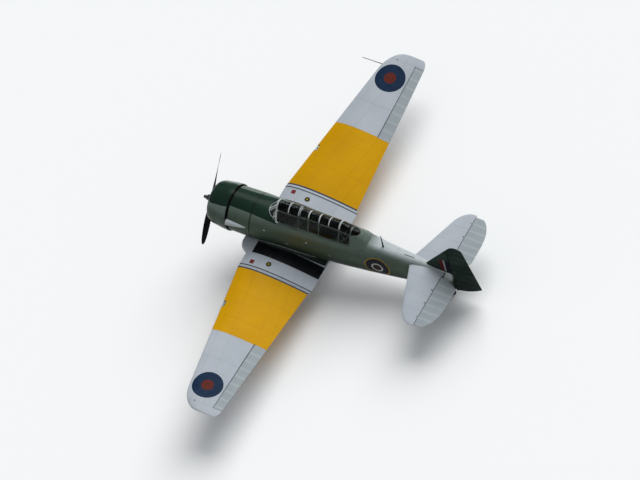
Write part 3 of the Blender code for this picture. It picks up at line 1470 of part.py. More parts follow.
def make_tail_wheel(shop, rear, pitch):
    # The spindle stands upright in the parked attitude, ahead of the axle
    up = Vector((math.sin(pitch), 0, math.cos(pitch)))
    forward = Vector((math.cos(pitch), 0, -math.sin(pitch)))
    centre = at(TAIL_WHEEL_STATION, 0, TAIL_WHEEL_HEIGHT)
    spindle = centre + forward * TAIL_TRAIL
    swivel = shop.axis("axis_tail_swivel", spindle, up)
    crown = spindle + up * (TAIL_WHEEL_RADIUS + 0.022)
    fork = shop.part("tail_wheel_fork", rod_mesh(
        "tail_wheel_fork", crown - up * 0.012, crown + up * 0.012, 0.070, sides=16), "engine_grey", swivel)
    pieces = [rod_mesh("tail_spindle", crown, crown + up * 0.10, 0.022)]
    side = TAIL_TYRE_WIDTH / 2 + 0.020
    for hand in (1, -1):
        off = Vector((0, hand * side, 0))
        outline = [
            crown + forward * 0.035 + up * 0.010 + off, crown - forward * 0.045 + up * 0.010 + off,
            centre - forward * 0.030 + off, centre - up * 0.030 + off, centre + forward * 0.030 + off,
        ]
        inner = [point - Vector((0, 0.006, 0)) for point in outline]
        pieces.append(prism_mesh(f"fork_arm_{hand}", inner, (0, 0.012, 0)))
    end = Vector((0, side + 0.012, 0))
    pieces.append(rod_mesh("tail_axle", centre - end, centre + end, TAIL_AXLE))
    shop.join(fork, *pieces)
    # the rear fuselage carries the spindle in a boss with a bore
    boss_low = crown + up * 0.0123
    shop.join(rear, rod_mesh("spindle_boss", boss_low, boss_low + up * 0.20, 0.055, 0.075, 16))
    bore_top = crown + up * (0.10 + GAP)
    shop.cut(rear, rod_mesh("spindle_bore", boss_low - up * 0.01, bore_top, 0.0230, sides=14))
    axis = shop.axis("axis_tail_wheel", centre, (0, 1, 0), swivel)
    size = (TAIL_WHEEL_RADIUS, TAIL_TYRE_WIDTH, 0.075, TAIL_AXLE + 0.0004)
    make_wheel(shop, "tail_wheel", centre, *size, axis, 18)


def make_mast(shop):
    station = 5.86
    base = fuselage_size(station)[0]
    mast = shop.part("radio_mast", rod_mesh(
        "radio_mast", at(station, 0, base - 0.03), at(station + 0.02, 0, base + 0.54), 0.022, 0.010, 10
    ), "black")
    shop.cut(mast, fuselage_solid("mast_seat", 5.42, 6.53, GAP))


def parked_pitch():
    # The line that touches both wheels from below gives the nose-up angle
    run = TAIL_WHEEL_STATION - WHEEL_STATION
    rise = TAIL_WHEEL_HEIGHT - WHEEL_HEIGHT
    return math.atan2(rise, run) + math.asin((WHEEL_RADIUS - TAIL_WHEEL_RADIUS) / math.hypot(run, rise))


def set_attitude(empty, pitch):
    nose = Vector((0, 0, 0))
    tail = at(RUDDER_TE_LOW[0], 0, RUDDER_TE_LOW[1])
    turn = Matrix.Rotation(-pitch, 4, "Y")
    axle = turn @ at(WHEEL_STATION, 0, WHEEL_HEIGHT)
    middle = ((turn @ nose).x + (turn @ tail).x) / 2
    empty.matrix_world = Matrix.Translation((-middle, 0, WHEEL_RADIUS - axle.z)) @ turn


def build():
    clear_scene()
    shop = Workshop()
    make_cowling(shop)
    engine = make_engine(shop)
    make_cowl_braces(shop, engine)
    make_propeller(shop)
    make_nose_section(shop)
    make_air_scoop(shop)
    make_exhaust(shop)
    make_cockpit_section(shop)
    rear = make_rear_fuselage(shop)
    make_floor(shop)
    center = make_center_wing(shop)
    make_flap(shop, center, "flap_center", FLAP_SPANS[0], 1)
    for hand in (1, -1):
        wing = make_outer_wing(shop, hand)
        make_aileron(shop, wing, hand)
        make_flap(shop, wing, "flap_left" if hand > 0 else "flap_right", FLAP_SPANS[1], hand)
    make_pitot(shop)
    stab = shop.part("stabilizer", stabilizer_mesh("stabilizer"), "silver_dope")
    make_elevators(shop, stab)
    fin = make_fin(shop)
    make_rudder(shop, fin, rear)
    make_canopy(shop)
    make_seat(shop, "seat_front", FRONT_SEAT)
    make_seat(shop, "seat_rear", REAR_SEAT)
    make_panel(shop, "instrument_panel_front", 2.66, 0.10)
    make_panel(shop, "instrument_panel_rear", 3.86, 0.14)
    make_stick(shop, "control_stick_front", 2.84)
    make_stick(shop, "control_stick_rear", 4.14)
    make_turnover_frame(shop)
    make_main_wheels(shop)
    pitch = parked_pitch()
    make_tail_wheel(shop, rear, pitch)
    make_mast(shop)
    set_attitude(shop.attitude, pitch)


build()
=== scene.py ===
import math

import bmesh
import bpy
from mathutils import Matrix, Vector


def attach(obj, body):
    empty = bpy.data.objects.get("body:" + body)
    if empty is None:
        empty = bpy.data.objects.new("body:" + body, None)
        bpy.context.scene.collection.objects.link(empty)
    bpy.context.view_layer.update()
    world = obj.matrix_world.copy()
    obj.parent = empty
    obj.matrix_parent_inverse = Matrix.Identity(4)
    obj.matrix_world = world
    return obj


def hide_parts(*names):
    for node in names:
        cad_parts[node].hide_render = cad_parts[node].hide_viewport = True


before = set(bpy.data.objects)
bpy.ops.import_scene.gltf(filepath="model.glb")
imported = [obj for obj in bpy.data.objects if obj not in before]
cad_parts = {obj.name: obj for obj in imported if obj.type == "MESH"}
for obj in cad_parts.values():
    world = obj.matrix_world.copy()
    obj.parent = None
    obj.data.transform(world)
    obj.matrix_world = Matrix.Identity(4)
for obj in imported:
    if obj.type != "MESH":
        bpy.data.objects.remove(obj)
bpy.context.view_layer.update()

bpy.ops.object.select_all(action="DESELECT")
print("frame loaded with", len(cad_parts), "nodes")

# Everything on the aeroplane is drawn level, nose at the origin and tail along -x, and then parked with
# its nose up
park = {"noseUp": math.radians(9.99955), "nose": (4.38848, 0, 2.06095)}
attitude = Matrix.Translation(park["nose"]) @ Matrix.Rotation(-park["noseUp"], 4, "Y")
sides = (("left", 1), ("right", -1))


def at(station, y, z):
    return Vector((-station, y, z))


# modelling helpers

def edit(obj, *steps):
    # runs mesh operators on obj in edit mode; a step is a face test or (operator name, settings)
    bpy.ops.object.select_all(action="DESELECT")
    obj.select_set(True)
    bpy.context.view_layer.objects.active = obj
    bpy.ops.object.mode_set(mode="EDIT")
    bpy.ops.mesh.select_mode(type="FACE")
    for step in steps:
        if callable(step):
            mesh = bmesh.from_edit_mesh(obj.data)
            for face in mesh.faces:
                face.select_set(bool(step(face.calc_center_median(), face.normal)))
            bmesh.update_edit_mesh(obj.data)
        elif step == "all":
            bpy.ops.mesh.select_all(action="SELECT")
        else:
            getattr(bpy.ops.mesh, step[0])(**step[1])
    bpy.ops.object.mode_set(mode="OBJECT")
    return obj


def modify(obj, kind, **settings):
    # adds a modifier and applies it
    bpy.context.view_layer.objects.active = obj
    step = obj.modifiers.new(kind.lower(), kind)
    for name, value in settings.items():
        setattr(step, name, value)
    bpy.ops.object.modifier_apply(modifier=step.name)
    return obj


def skin(rings, closed=True, ends=True, loop=False):
    # a grid whose rows are laid on the rings; ends closes both ends, loop joins the last ring to the first
    rows = [list(ring) for ring in rings]
    if ends:
        caps = [sum(row, Vector()) / len(row) for row in (rows[0], rows[-1])]
        rows = [[caps[0]] * len(rows[0])] + rows + [[caps[1]] * len(rows[0])]
    if loop:
        rows.append(rows[0])
    if closed:
        rows = [row + row[:1] for row in rows]
    bpy.ops.object.select_all(action="DESELECT")
    bpy.ops.mesh.primitive_grid_add(x_subdivisions=len(rows[0]) - 1, y_subdivisions=len(rows) - 1)
    obj = bpy.context.object
    obj.data.vertices.foreach_set("co", [value for row in rows for point in row for value in point])
    edit(obj, "all", ("remove_doubles", {"threshold": 0.00001}), "all",
         ("normals_make_consistent", {"inside": False}))
    return obj


def turned(profile, origin, axis, steps=32, loop=False):
    # a profile of (along, radius) turned about an axis; loop joins its last point to its first
    axis = Vector(axis).normalized()
    side = axis.orthogonal().normalized()
    up = axis.cross(side)
    ways = [side * math.cos(2 * math.pi * k / steps) + up * math.sin(2 * math.pi * k / steps)
            for k in range(steps)]
    rings = [[Vector(origin) + axis * along + way * radius for way in ways] for along, radius in profile]
    return skin(rings, loop=loop, ends=not loop)


def spokes(count, axis, shift=0.0):
    # directions spread evenly round an axis
    found = []
    for k in range(count):
        turn = 2 * math.pi * (k + shift) / count
        way = [math.cos(turn), math.sin(turn)]
        way.insert("xyz".index(axis), 0)
        found.append(Vector(way))
    return found


def wireProfile(radius, thick, count=8, along=0.0):
    # section of a ring bent from round wire, for turned
    turns = [2 * math.pi * k / count for k in range(count)]
    return [(along + thick * math.cos(turn), radius + thick * math.sin(turn)) for turn in turns]


def rod(start, end, radius, endRadius=None, steps=20, edge=0.0):
    # a straight round bar with softened rims
    start, end = Vector(start), Vector(end)
    way = end - start
    bpy.ops.object.select_all(action="DESELECT")
    bpy.ops.mesh.primitive_cone_add(
        vertices=steps, radius1=radius, radius2=radius if endRadius is None else endRadius, depth=way.length,
        location=(start + end) / 2, rotation=way.to_track_quat("Z", "Y").to_euler()
    )
    obj = bpy.context.object
    bpy.ops.object.transform_apply(location=True, rotation=True, scale=True)
    if edge:
        modify(obj, "BEVEL", width=edge, segments=2, limit_method="ANGLE", angle_limit=math.radians(50))
    return obj


def pipe(points, radius, steps=8, resolution=3, smooth=False):
    # a bent tube, drawn as a curve and made a mesh
    curve = bpy.data.curves.new("pipe", "CURVE")
    curve.dimensions = "3D"
    curve.bevel_depth = radius
    curve.bevel_resolution = resolution
    curve.use_fill_caps = True
    curve.resolution_u = steps
    line = curve.splines.new("BEZIER" if smooth else "POLY")
    pieces = line.bezier_points if smooth else line.points
    pieces.add(len(points) - 1)
    for piece, point in zip(pieces, points):
        if smooth:
            piece.co = point
            piece.handle_left_type = piece.handle_right_type = "AUTO"
        else:
            piece.co = (*point, 1.0)
    obj = bpy.data.objects.new("pipe", curve)
    bpy.context.scene.collection.objects.link(obj)
    bpy.ops.object.select_all(action="DESELECT")
    obj.select_set(True)
    bpy.context.view_layer.objects.active = obj
    bpy.ops.object.convert(target="MESH")
    obj = bpy.context.object
    edit(obj, "all", ("remove_doubles", {"threshold": 0.00005}), "all",
         ("normals_make_consistent", {"inside": False}))
    return obj


def block(low, high, edge=0.0, segments=2):
    # a box between two corners with rounded edges
    low, high = Vector(low), Vector(high)
    bpy.ops.object.select_all(action="DESELECT")
    bpy.ops.mesh.primitive_cube_add(size=1, location=(low + high) / 2)
    obj = bpy.context.object
    obj.scale = [abs(value) for value in high - low]
    bpy.ops.object.transform_apply(location=True, rotation=True, scale=True)
    if edge:
        modify(obj, "BEVEL", width=edge, segments=segments, limit_method="ANGLE")
    return obj


def plate(outline, thickness, edge=0.0, segments=1):
    # a flat outline pushed out to a plate; thickness is a vector
    bpy.ops.object.select_all(action="DESELECT")
    bpy.ops.mesh.primitive_circle_add(vertices=len(outline), fill_type="NGON")
    obj = bpy.context.object
    obj.data.vertices.foreach_set("co", [value for point in outline for value in point])
    edit(obj, "all", ("extrude_region_move", {"TRANSFORM_OT_translate": {"value": thickness}}),
         "all", ("normals_make_consistent", {"inside": False}))
    if edge:
        modify(obj, "BEVEL", width=edge, segments=segments, limit_method="ANGLE")
    return obj


def cut(obj, *tools, operation="DIFFERENCE"):
    for tool in tools:
        modify(obj, "BOOLEAN", object=tool, operation=operation, solver="EXACT")
        bpy.data.objects.remove(tool)
    return obj


def gather(pieces):
    # joins pieces into one object
    pieces = [piece for piece in pieces if piece]
    bpy.ops.object.select_all(action="DESELECT")
    for piece in pieces:
        piece.select_set(True)
    bpy.context.view_layer.objects.active = pieces[0]
    if len(pieces) > 1:
        bpy.ops.object.join()
    return bpy.context.object


def copyMoved(obj, move):
    # a copy with its own mesh
    twin = bpy.data.objects.new(obj.name, obj.data.copy())
    bpy.context.scene.collection.objects.link(twin)
    twin.data.transform(move)
    if move.determinant() < 0:
        twin.data.flip_normals()
    return twin


def finished(obj, name, body, finish, stands=None, smooth=35):
    # names a piece (or joins a list of them to one), sets it in the parked attitude, gives it its finish
    # and lets it ride on its body; stands is the CAD node that it stands in for
    obj = gather(obj) if isinstance(obj, list) else obj
    obj.name = obj.data.name = name
    obj.data.transform(attitude)
    obj.data.materials.clear()
    obj.data.materials.append(finishes[finish])
    bpy.ops.object.select_all(action="DESELECT")
    obj.select_set(True)
    bpy.context.view_layer.objects.active = obj
    bpy.ops.object.shade_smooth_by_angle(angle=math.radians(smooth))
    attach(obj, body)
    if stands:
        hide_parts(stands)
    return obj


# shapes that several pieces share

fuselageShape = {
    # station: top, bottom, half width, height of the widest point, roundness below it and above it
    "rows": (
        (1.00, 0.650, -0.650, 0.650, 0.00, 2.00, 2.00), (1.83, 0.665, -0.665, 0.665, 0.00, 2.00, 2.00),
        (2.25, 0.670, -0.690, 0.620, -0.02, 2.10, 2.35), (2.63, 0.672, -0.700, 0.580, -0.03, 2.25, 2.80),
        (3.34, 0.680, -0.700, 0.545, -0.04, 2.35, 3.20), (4.00, 0.690, -0.690, 0.505, -0.04, 2.35, 3.40),
        (4.61, 0.690, -0.660, 0.465, -0.04, 2.35, 3.50), (5.40, 0.642, -0.600, 0.405, -0.03, 2.30, 3.10),
        (5.86, 0.620, -0.555, 0.365, -0.02, 2.25, 2.60), (6.53, 0.590, -0.485, 0.300, 0.00, 2.20, 2.30),
        (7.22, 0.560, -0.405, 0.225, 0.03, 2.15, 2.20), (8.03, 0.500, -0.325, 0.105, 0.08, 2.10, 2.10),
    ),
    "sill": 0.585, "firewall": 1.83, "rearJoint": 5.42, "tailPost": 8.02, "wall": 0.030,
    "opening": (2.47, 5.30), "floorTop": -0.315,
}


def along(rows, x):
    # a smooth curve through the rows, read at x
    x = min(max(x, rows[0][0]), rows[-1][0])
    i = max(k for k in range(len(rows) - 1) if rows[k][0] <= x)
    low, high = rows[i], rows[i + 1]
    before, after = rows[max(i - 1, 0)], rows[min(i + 2, len(rows) - 1)]
    width = high[0] - low[0]
    t = (x - low[0]) / width
    values = []
    for c in range(1, len(low)):
        slopeLow = (high[c] - before[c]) / (high[0] - before[0]) * width
        slopeHigh = (after[c] - low[c]) / (after[0] - low[0]) * width
        values.append(
            low[c] * (2 * t ** 3 - 3 * t ** 2 + 1) + slopeLow * (t ** 3 - 2 * t ** 2 + t)
            + high[c] * (3 * t ** 2 - 2 * t ** 3) + slopeHigh * (t ** 3 - t ** 2)
        )
    return values


def fuselageSide(station, z, grow=0.0):
    # half width of the fuselage at a height
    top, bottom, half, middle, low, high = along(fuselageShape["rows"], station)
    reach = (top - middle if z > middle else middle - bottom) + grow
    power = high if z > middle else low
    share = min(abs(z - middle) / reach, 1.0)
    return (half + grow) * (1 - share ** power) ** (1 / power)


def fuselageTop(station, y):
    # height of the fuselage's back at a place across it
    top, _, half, middle, _, high = along(fuselageShape["rows"], station)
    share = min(abs(y) / half, 1.0)
    return middle + (top - middle) * (1 - share ** high) ** (1 / high)


def fuselageRing(station, grow=0.0, steps=96):
    top, bottom, half, middle, low, high = along(fuselageShape["rows"], station)
    ring = []
    for k in range(steps):
        angle = 2 * math.pi * (k + 0.5) / steps
        power = high if math.sin(angle) > 0 else low
        across = math.copysign(abs(math.cos(angle)) ** (2 / power), math.cos(angle))
        up = math.copysign(abs(math.sin(angle)) ** (2 / power), math.sin(angle))
        reach = (top - middle if up > 0 else middle - bottom) + grow
        ring.append(at(station, (half + grow) * across, middle + reach * up))
    return ring


def spread(start, end, count):
    return [start + (end - start) * k / (count - 1) for k in range(count)]


def fuselageHull(front, back, grow=0.0, count=12):
    return skin([fuselageRing(station, grow) for station in spread(front, back, count)])


wingShape = {
    "joint": 1.45, "tip": 6.40, "front": 1.77, "back": 4.00, "frontSweep": 0.185, "backSweep": 0.0385,
    "dihedral": math.tan(math.radians(6.0)), "incidence": 0.0612, "height": -0.592,
    "thickness": (0.150, 0.095), "camber": 0.020, "frontRound": (5.72, 0.46), "backRound": (6.12, 0.13),
    "aileron": (3.73, 6.13), "aileronAxis": 3.588, "flapAxis": 3.535, "flap": 0.014, "flapEdge": 0.004,
    "flaps": ((-1.435, 1.435), (1.465, 3.715)), "clear": 0.007,
    # fittings as (station, span), or the span alone on the front edge
    "fillerCap": (2.63, 1.17), "tipLamp": (2.99, 6.14), "landingLight": 2.82, "pitot": 5.90,
}
# pieces that only touch are kept apart by this, so that their surfaces never flicker
hair = 0.0003


def wingChord(span):
    shape = wingShape
    out = max(span - shape["joint"], 0.0)
    front = shape["front"] + out * shape["frontSweep"]
    back = shape["back"] - (span - shape["joint"]) * shape["backSweep"]
    for (start, depth), isBack in ((shape["frontRound"], 0), (shape["backRound"], 1)):
        if span > start:
            share = min((span - start) / (shape["tip"] - start), 1.0)
            inset = depth * (1 - math.sqrt(max(0.0, 1 - share ** 2)))
            front, back = (front, back - inset) if isBack else (front + inset, back)
    return front, back, shape["height"] + out * shape["dihedral"]


def wingSurface(span, station, side, grow=0.0):
    # height of the upper (1) or lower (-1) skin
    front, back, reference = wingChord(span)
    chord = back - front
    share = min(max((station - front) / chord, 0.0), 1.0)
    out = max(span - wingShape["joint"], 0.0) / (wingShape["tip"] - wingShape["joint"])
    ratio = wingShape["thickness"][0] + (wingShape["thickness"][1] - wingShape["thickness"][0]) * out
    # the usual four-digit section, with a back edge 12 mm thick
    half = 5 * ratio * chord * (
        0.2969 * math.sqrt(share) - 0.1260 * share - 0.3516 * share ** 2
        + 0.2843 * share ** 3 - 0.1036 * share ** 4
    ) + 0.006 * share + grow
    bow = 2 * share / 0.4 - (share / 0.4) ** 2 if share < 0.4 else 1 - ((share - 0.4) / 0.6) ** 2
    return (reference - wingShape["incidence"] * (share - 0.3) * chord
            + wingShape["camber"] * chord * bow + side * half)


# finishes

markings = {
    # places are (station, span) on the wing and (station, height) on the sides; the rest are radii and limits
    "wingRoundel": {"at": (3.06, 5.53), "red": 0.175, "blue": 0.44},
    "sideRoundel": {"at": (5.76, 0.03), "red": 0.130, "white": 0.178, "blue": 0.352, "yellow": 0.385},
    "trainerBand": (1.52, 3.745), "walkway": ((0.55, 0.965), (1.97, 4.05)),
    "square": ((1.195, 1.325), (2.075, 2.205)),
    "finFlash": ((7.715, 7.845, "#4A161B"), (7.845, 7.895, "#8C8F90"), (7.895, 8.02, "#0E1220")),
    "flashHeight": (0.54, 1.07), "noseGreen": ("#11251C", "#182F24"), "noseSplit": (0.42, 1.06, 0.475, 0.565),
}


def tone(code):
    # an sRGB hex colour as the linear colour that a shader wants
    parts = [int(code[k:k + 2], 16) / 255 for k in (1, 3, 5)]
    return (*[part / 12.92 if part <= 0.04045 else ((part + 0.055) / 1.055) ** 2.4 for part in parts], 1.0)


def newFinish(name, base, rough, metal=0.0, **sockets):
    finish = bpy.data.materials.new(name)
    finish.use_nodes = True
    shader = finish.node_tree.nodes["Principled BSDF"]
    shader.inputs["Base Color"].default_value = tone(base)
    shader.inputs["Roughness"].default_value = rough
    shader.inputs["Metallic"].default_value = metal
    if not metal:
        # old chalky paint mirrors less than new paint does
        shader.inputs["Specular IOR Level"].default_value = 0.045
    for socket, value in sockets.items():
        shader.inputs[socket.replace("_", " ")].default_value = value
    return finish, finish.node_tree, shader


def add(tree, kind, links=None, out=0, ramp=None, **settings):
    # adds a node with its settings and links, and gives one of its outputs
    node = tree.nodes.new("ShaderNode" + kind)
    for name, value in settings.items():
        setattr(node, name, value)
    for socket, value in (links or {}).items():
        if isinstance(value, bpy.types.NodeSocket):
            tree.links.new(value, node.inputs[socket])
        else:
            node.inputs[socket].default_value = tone(value) if isinstance(value, str) else value
    for k, (place, code) in enumerate(ramp or ()):
        stops = node.color_ramp.elements
        stop = stops[k] if k < 2 else stops.new(place)
        stop.position, stop.color = place, tone(code)
    return node.outputs[out]


def maths(tree, operation, *values):
    return add(tree, "Math", dict(enumerate(values)), operation=operation)


def noise(tree, point, scale, detail, rough):
    return add(tree, "TexNoise", {0: point, 2: scale, 3: detail, 4: rough})


def fade(tree, value, start, end, first, last, soft=False):
    # first up to start, last from end on, and a fade from one to the other between them
    curve = "SMOOTHSTEP" if soft else "LINEAR"
    return add(tree, "MapRange", {0: value, 1: start, 2: end, 3: first, 4: last}, interpolation_type=curve)


def between(tree, value, *stops):
    # a colour between stops of (place, colour)
    return add(tree, "ValToRGB", {0: value}, ramp=stops)


def bump(tree, height, strength):
    return add(tree, "Bump", {"Height": height, "Strength": strength, "Distance": 1.0})


def connect(tree, shader, **sockets):
    for name, value in sockets.items():
        tree.links.new(value, shader.inputs[name.replace("_", " ")])


def levelPlace(tree):
    # the place on the level aeroplane: x is minus the station, y to port, z up from the thrust line
    point = add(tree, "TexCoord", out=3)
    return add(tree, "Mapping", {0: point, 1: park["nose"], 2: (0, -park["noseUp"], 0)}, vector_type="TEXTURE")


def axesOf(tree, point):
    node = tree.nodes.new("ShaderNodeSeparateXYZ")
    tree.links.new(point, node.inputs[0])
    station = maths(tree, "MULTIPLY", node.outputs[0], -1.0)
    span = maths(tree, "ABSOLUTE", node.outputs[1])
    return {"station": station, "y": node.outputs[1], "span": span, "z": node.outputs[2]}


def area(tree, *ranges):
    # 1 where every value lies between its two limits
    mask = None
    for value, low, high in ranges:
        inside = maths(tree, "COMPARE", value, (low + high) / 2, (high - low) / 2)
        mask = maths(tree, "MULTIPLY", mask, inside) if mask else inside
    return mask


def farFrom(tree, first, second, spot=(0.0, 0.0)):
    # distance from a spot, measured in two of the place's values
    point = add(tree, "CombineXYZ", {0: first, 1: second, 2: 0.0})
    return add(tree, "VectorMath", {0: point, 1: (*spot, 0)}, out=1, operation="DISTANCE")


def ringsAt(tree, distance, *bands):
    # masks of the rings between two radii
    return [area(tree, (distance, low, high)) for low, high in bands]


def seams(tree, value, places, width):
    # 1 on thin lines where the value passes each place
    mask = None
    for place in places:
        line = maths(tree, "COMPARE", value, place, width / 2)
        mask = maths(tree, "MAXIMUM", mask, line) if mask else line
    return mask


def rivets(tree, across, rowPitch, lengthwise, pitch, size):
    # dots on a grid of rows; drawn larger and wider apart than the real 3 mm rivets so that they show
    row = maths(tree, "PINGPONG", across, rowPitch / 2)
    step = maths(tree, "PINGPONG", lengthwise, pitch / 2)
    distance = farFrom(tree, row, step)
    return fade(tree, distance, size, size * 0.5, 0.0, 1.0)


def painted(tree, ground, *marks):
    # lays marks of (mask, colour) over a ground colour
    for mask, over in marks:
        ground = add(tree, "Mix", {0: mask, 6: ground, 7: over}, out=2, data_type="RGBA")
    return ground


def weathered(tree, shader, point, colour, lines=None, dots=None, rough=(0.30, 0.45), grime="#4A4A42",
              amount=0.35):
    # dirt in soft streaks, darker seams and rivets, a little unevenness in gloss and in the sheet metal itself
    cloud = noise(tree, point, 1.3, 6.0, 0.6)
    streak = add(tree, "Mapping", {0: point, 3: (0.7, 7.0, 7.0)})
    streaks = noise(tree, streak, 2.2, 5.0, 0.65)
    dirt = fade(tree, streaks, 0.52, 0.80, 0.0, amount)
    dirt = maths(tree, "MULTIPLY", dirt, cloud)
    colour = painted(tree, colour, (dirt, grime))
    relief = noise(tree, point, 3.1, 2.0, 0.5)
    height = maths(tree, "MULTIPLY", relief, 0.004)
    for mask, depth, dark in ((lines, -0.0015, 0.38), (dots, 0.0006, 0.16)):
        if mask:
            shade = maths(tree, "MULTIPLY", mask, dark)
            colour = painted(tree, colour, (shade, "#14161A"))
            step = maths(tree, "MULTIPLY", mask, depth)
            height = maths(tree, "ADD", height, step)
    gloss = fade(tree, cloud, 0.35, 0.70, rough[0], rough[1])
    normal = bump(tree, height, 0.6)
    connect(tree, shader, Base_Color=colour, Roughness=gloss, Normal=normal)


# Aluminium lacquer over riveted sheet: a light even grey with a soft sheen, walked on, stained
# and faded. The yellow training bands, roundels, fuel caps and walkways are painted on it.
def lacquerFinish(name, wing):
    finish, tree, shader = newFinish(name, "#AEB4BA", 0.42)
    point = levelPlace(tree)
    place = axesOf(tree, point)
    station, span = place["station"], place["span"]
    cloud = noise(tree, point, 0.8, 4.0, 0.55)
    colour = between(tree, cloud, (0.3, "#A1A8B0"), (0.7, "#AFB5BC"))
    chordwise = maths(tree, "MULTIPLY_ADD", span, -0.185, station)
    if wing:
        roundel = markings["wingRoundel"]
        disc = farFrom(tree, station, span, roundel["at"])
        blue, red = ringsAt(tree, disc, (roundel["red"], roundel["blue"]), (0.0, roundel["red"]))
        cap = farFrom(tree, station, span, wingShape["fillerCap"])
        rim, middle = ringsAt(tree, cap, (0.024, 0.078), (0.0, 0.024))
        walk, square = [
            area(tree, (span, *markings[mark][0]), (station, *markings[mark][1]))
            for mark in ("walkway", "square")
        ]
        # walkway, fuel caps and red squares are on the upper skin only
        heights = [(wingSurface(0.8, s, 1) + wingSurface(0.8, s, -1)) / 2 for s in (2.0, 4.0)]
        middleLine = fade(tree, station, 2.0, 4.0, heights[0], heights[1])
        onTop = maths(tree, "GREATER_THAN", place["z"], middleLine)
        walk, square, rim, middle = [
            maths(tree, "MULTIPLY", mark, onTop) for mark in (walk, square, rim, middle)
        ]
        scuff = noise(tree, point, 9.0, 5.0, 0.7)
        black = between(tree, scuff, (0.35, "#0B0E11"), (0.75, "#1A1D21"))
        sun = between(tree, cloud, (0.3, "#BE8B00"), (0.7, "#C99600"))
        fadedBlue = between(tree, scuff, (0.3, "#0E2239"), (0.8, "#1A304B"))
        # painted shadow: dark bands either side of the raised joint strip, over the dark gap of the joint
        edges = area(tree, (span, 1.380, 1.525))
        strip = area(tree, (span, 1.415, 1.480))
        colour = painted(
            tree, colour, (area(tree, (span, *markings["trainerBand"])), sun), (blue, fadedBlue),
            (red, "#5A231C"),
            (edges, "#39424E"), (strip, "#A9AFB6"), (walk, black), (square, "#6E2A2B"),
            (rim, "#2E3420"), (middle, "#B99A1B"),
        )
        lines = seams(tree, span, (2.32, 3.18, 3.73, 4.62, 5.52, 6.14), 0.005)
        spar = seams(tree, chordwise, (1.72, 2.12, 2.90, 3.24), 0.005)
        lines = maths(tree, "MAXIMUM", lines, spar)
        dots = rivets(tree, span, 0.29, station, 0.05, 0.005)
    else:
        lines = seams(tree, span, (0.42, 0.95, 1.45), 0.005)
        dots = rivets(tree, span, 0.24, station, 0.05, 0.005)
    more = rivets(tree, chordwise, 0.40, span, 0.05, 0.005)
    dots = maths(tree, "MAXIMUM", dots, more)
    weathered(tree, shader, point, colour, lines, dots, (0.34, 0.50), "#4E4C44", 0.22)
    return finish


def noseGreen(tree, cloud, station, z):
    # the dark green on top of the nose, and the line above which it starts
    low, high = markings["noseGreen"]
    green = between(tree, cloud, (0.3, low), (0.7, high))
    return green, maths(tree, "GREATER_THAN", z, fade(tree, station, *markings["noseSplit"]))


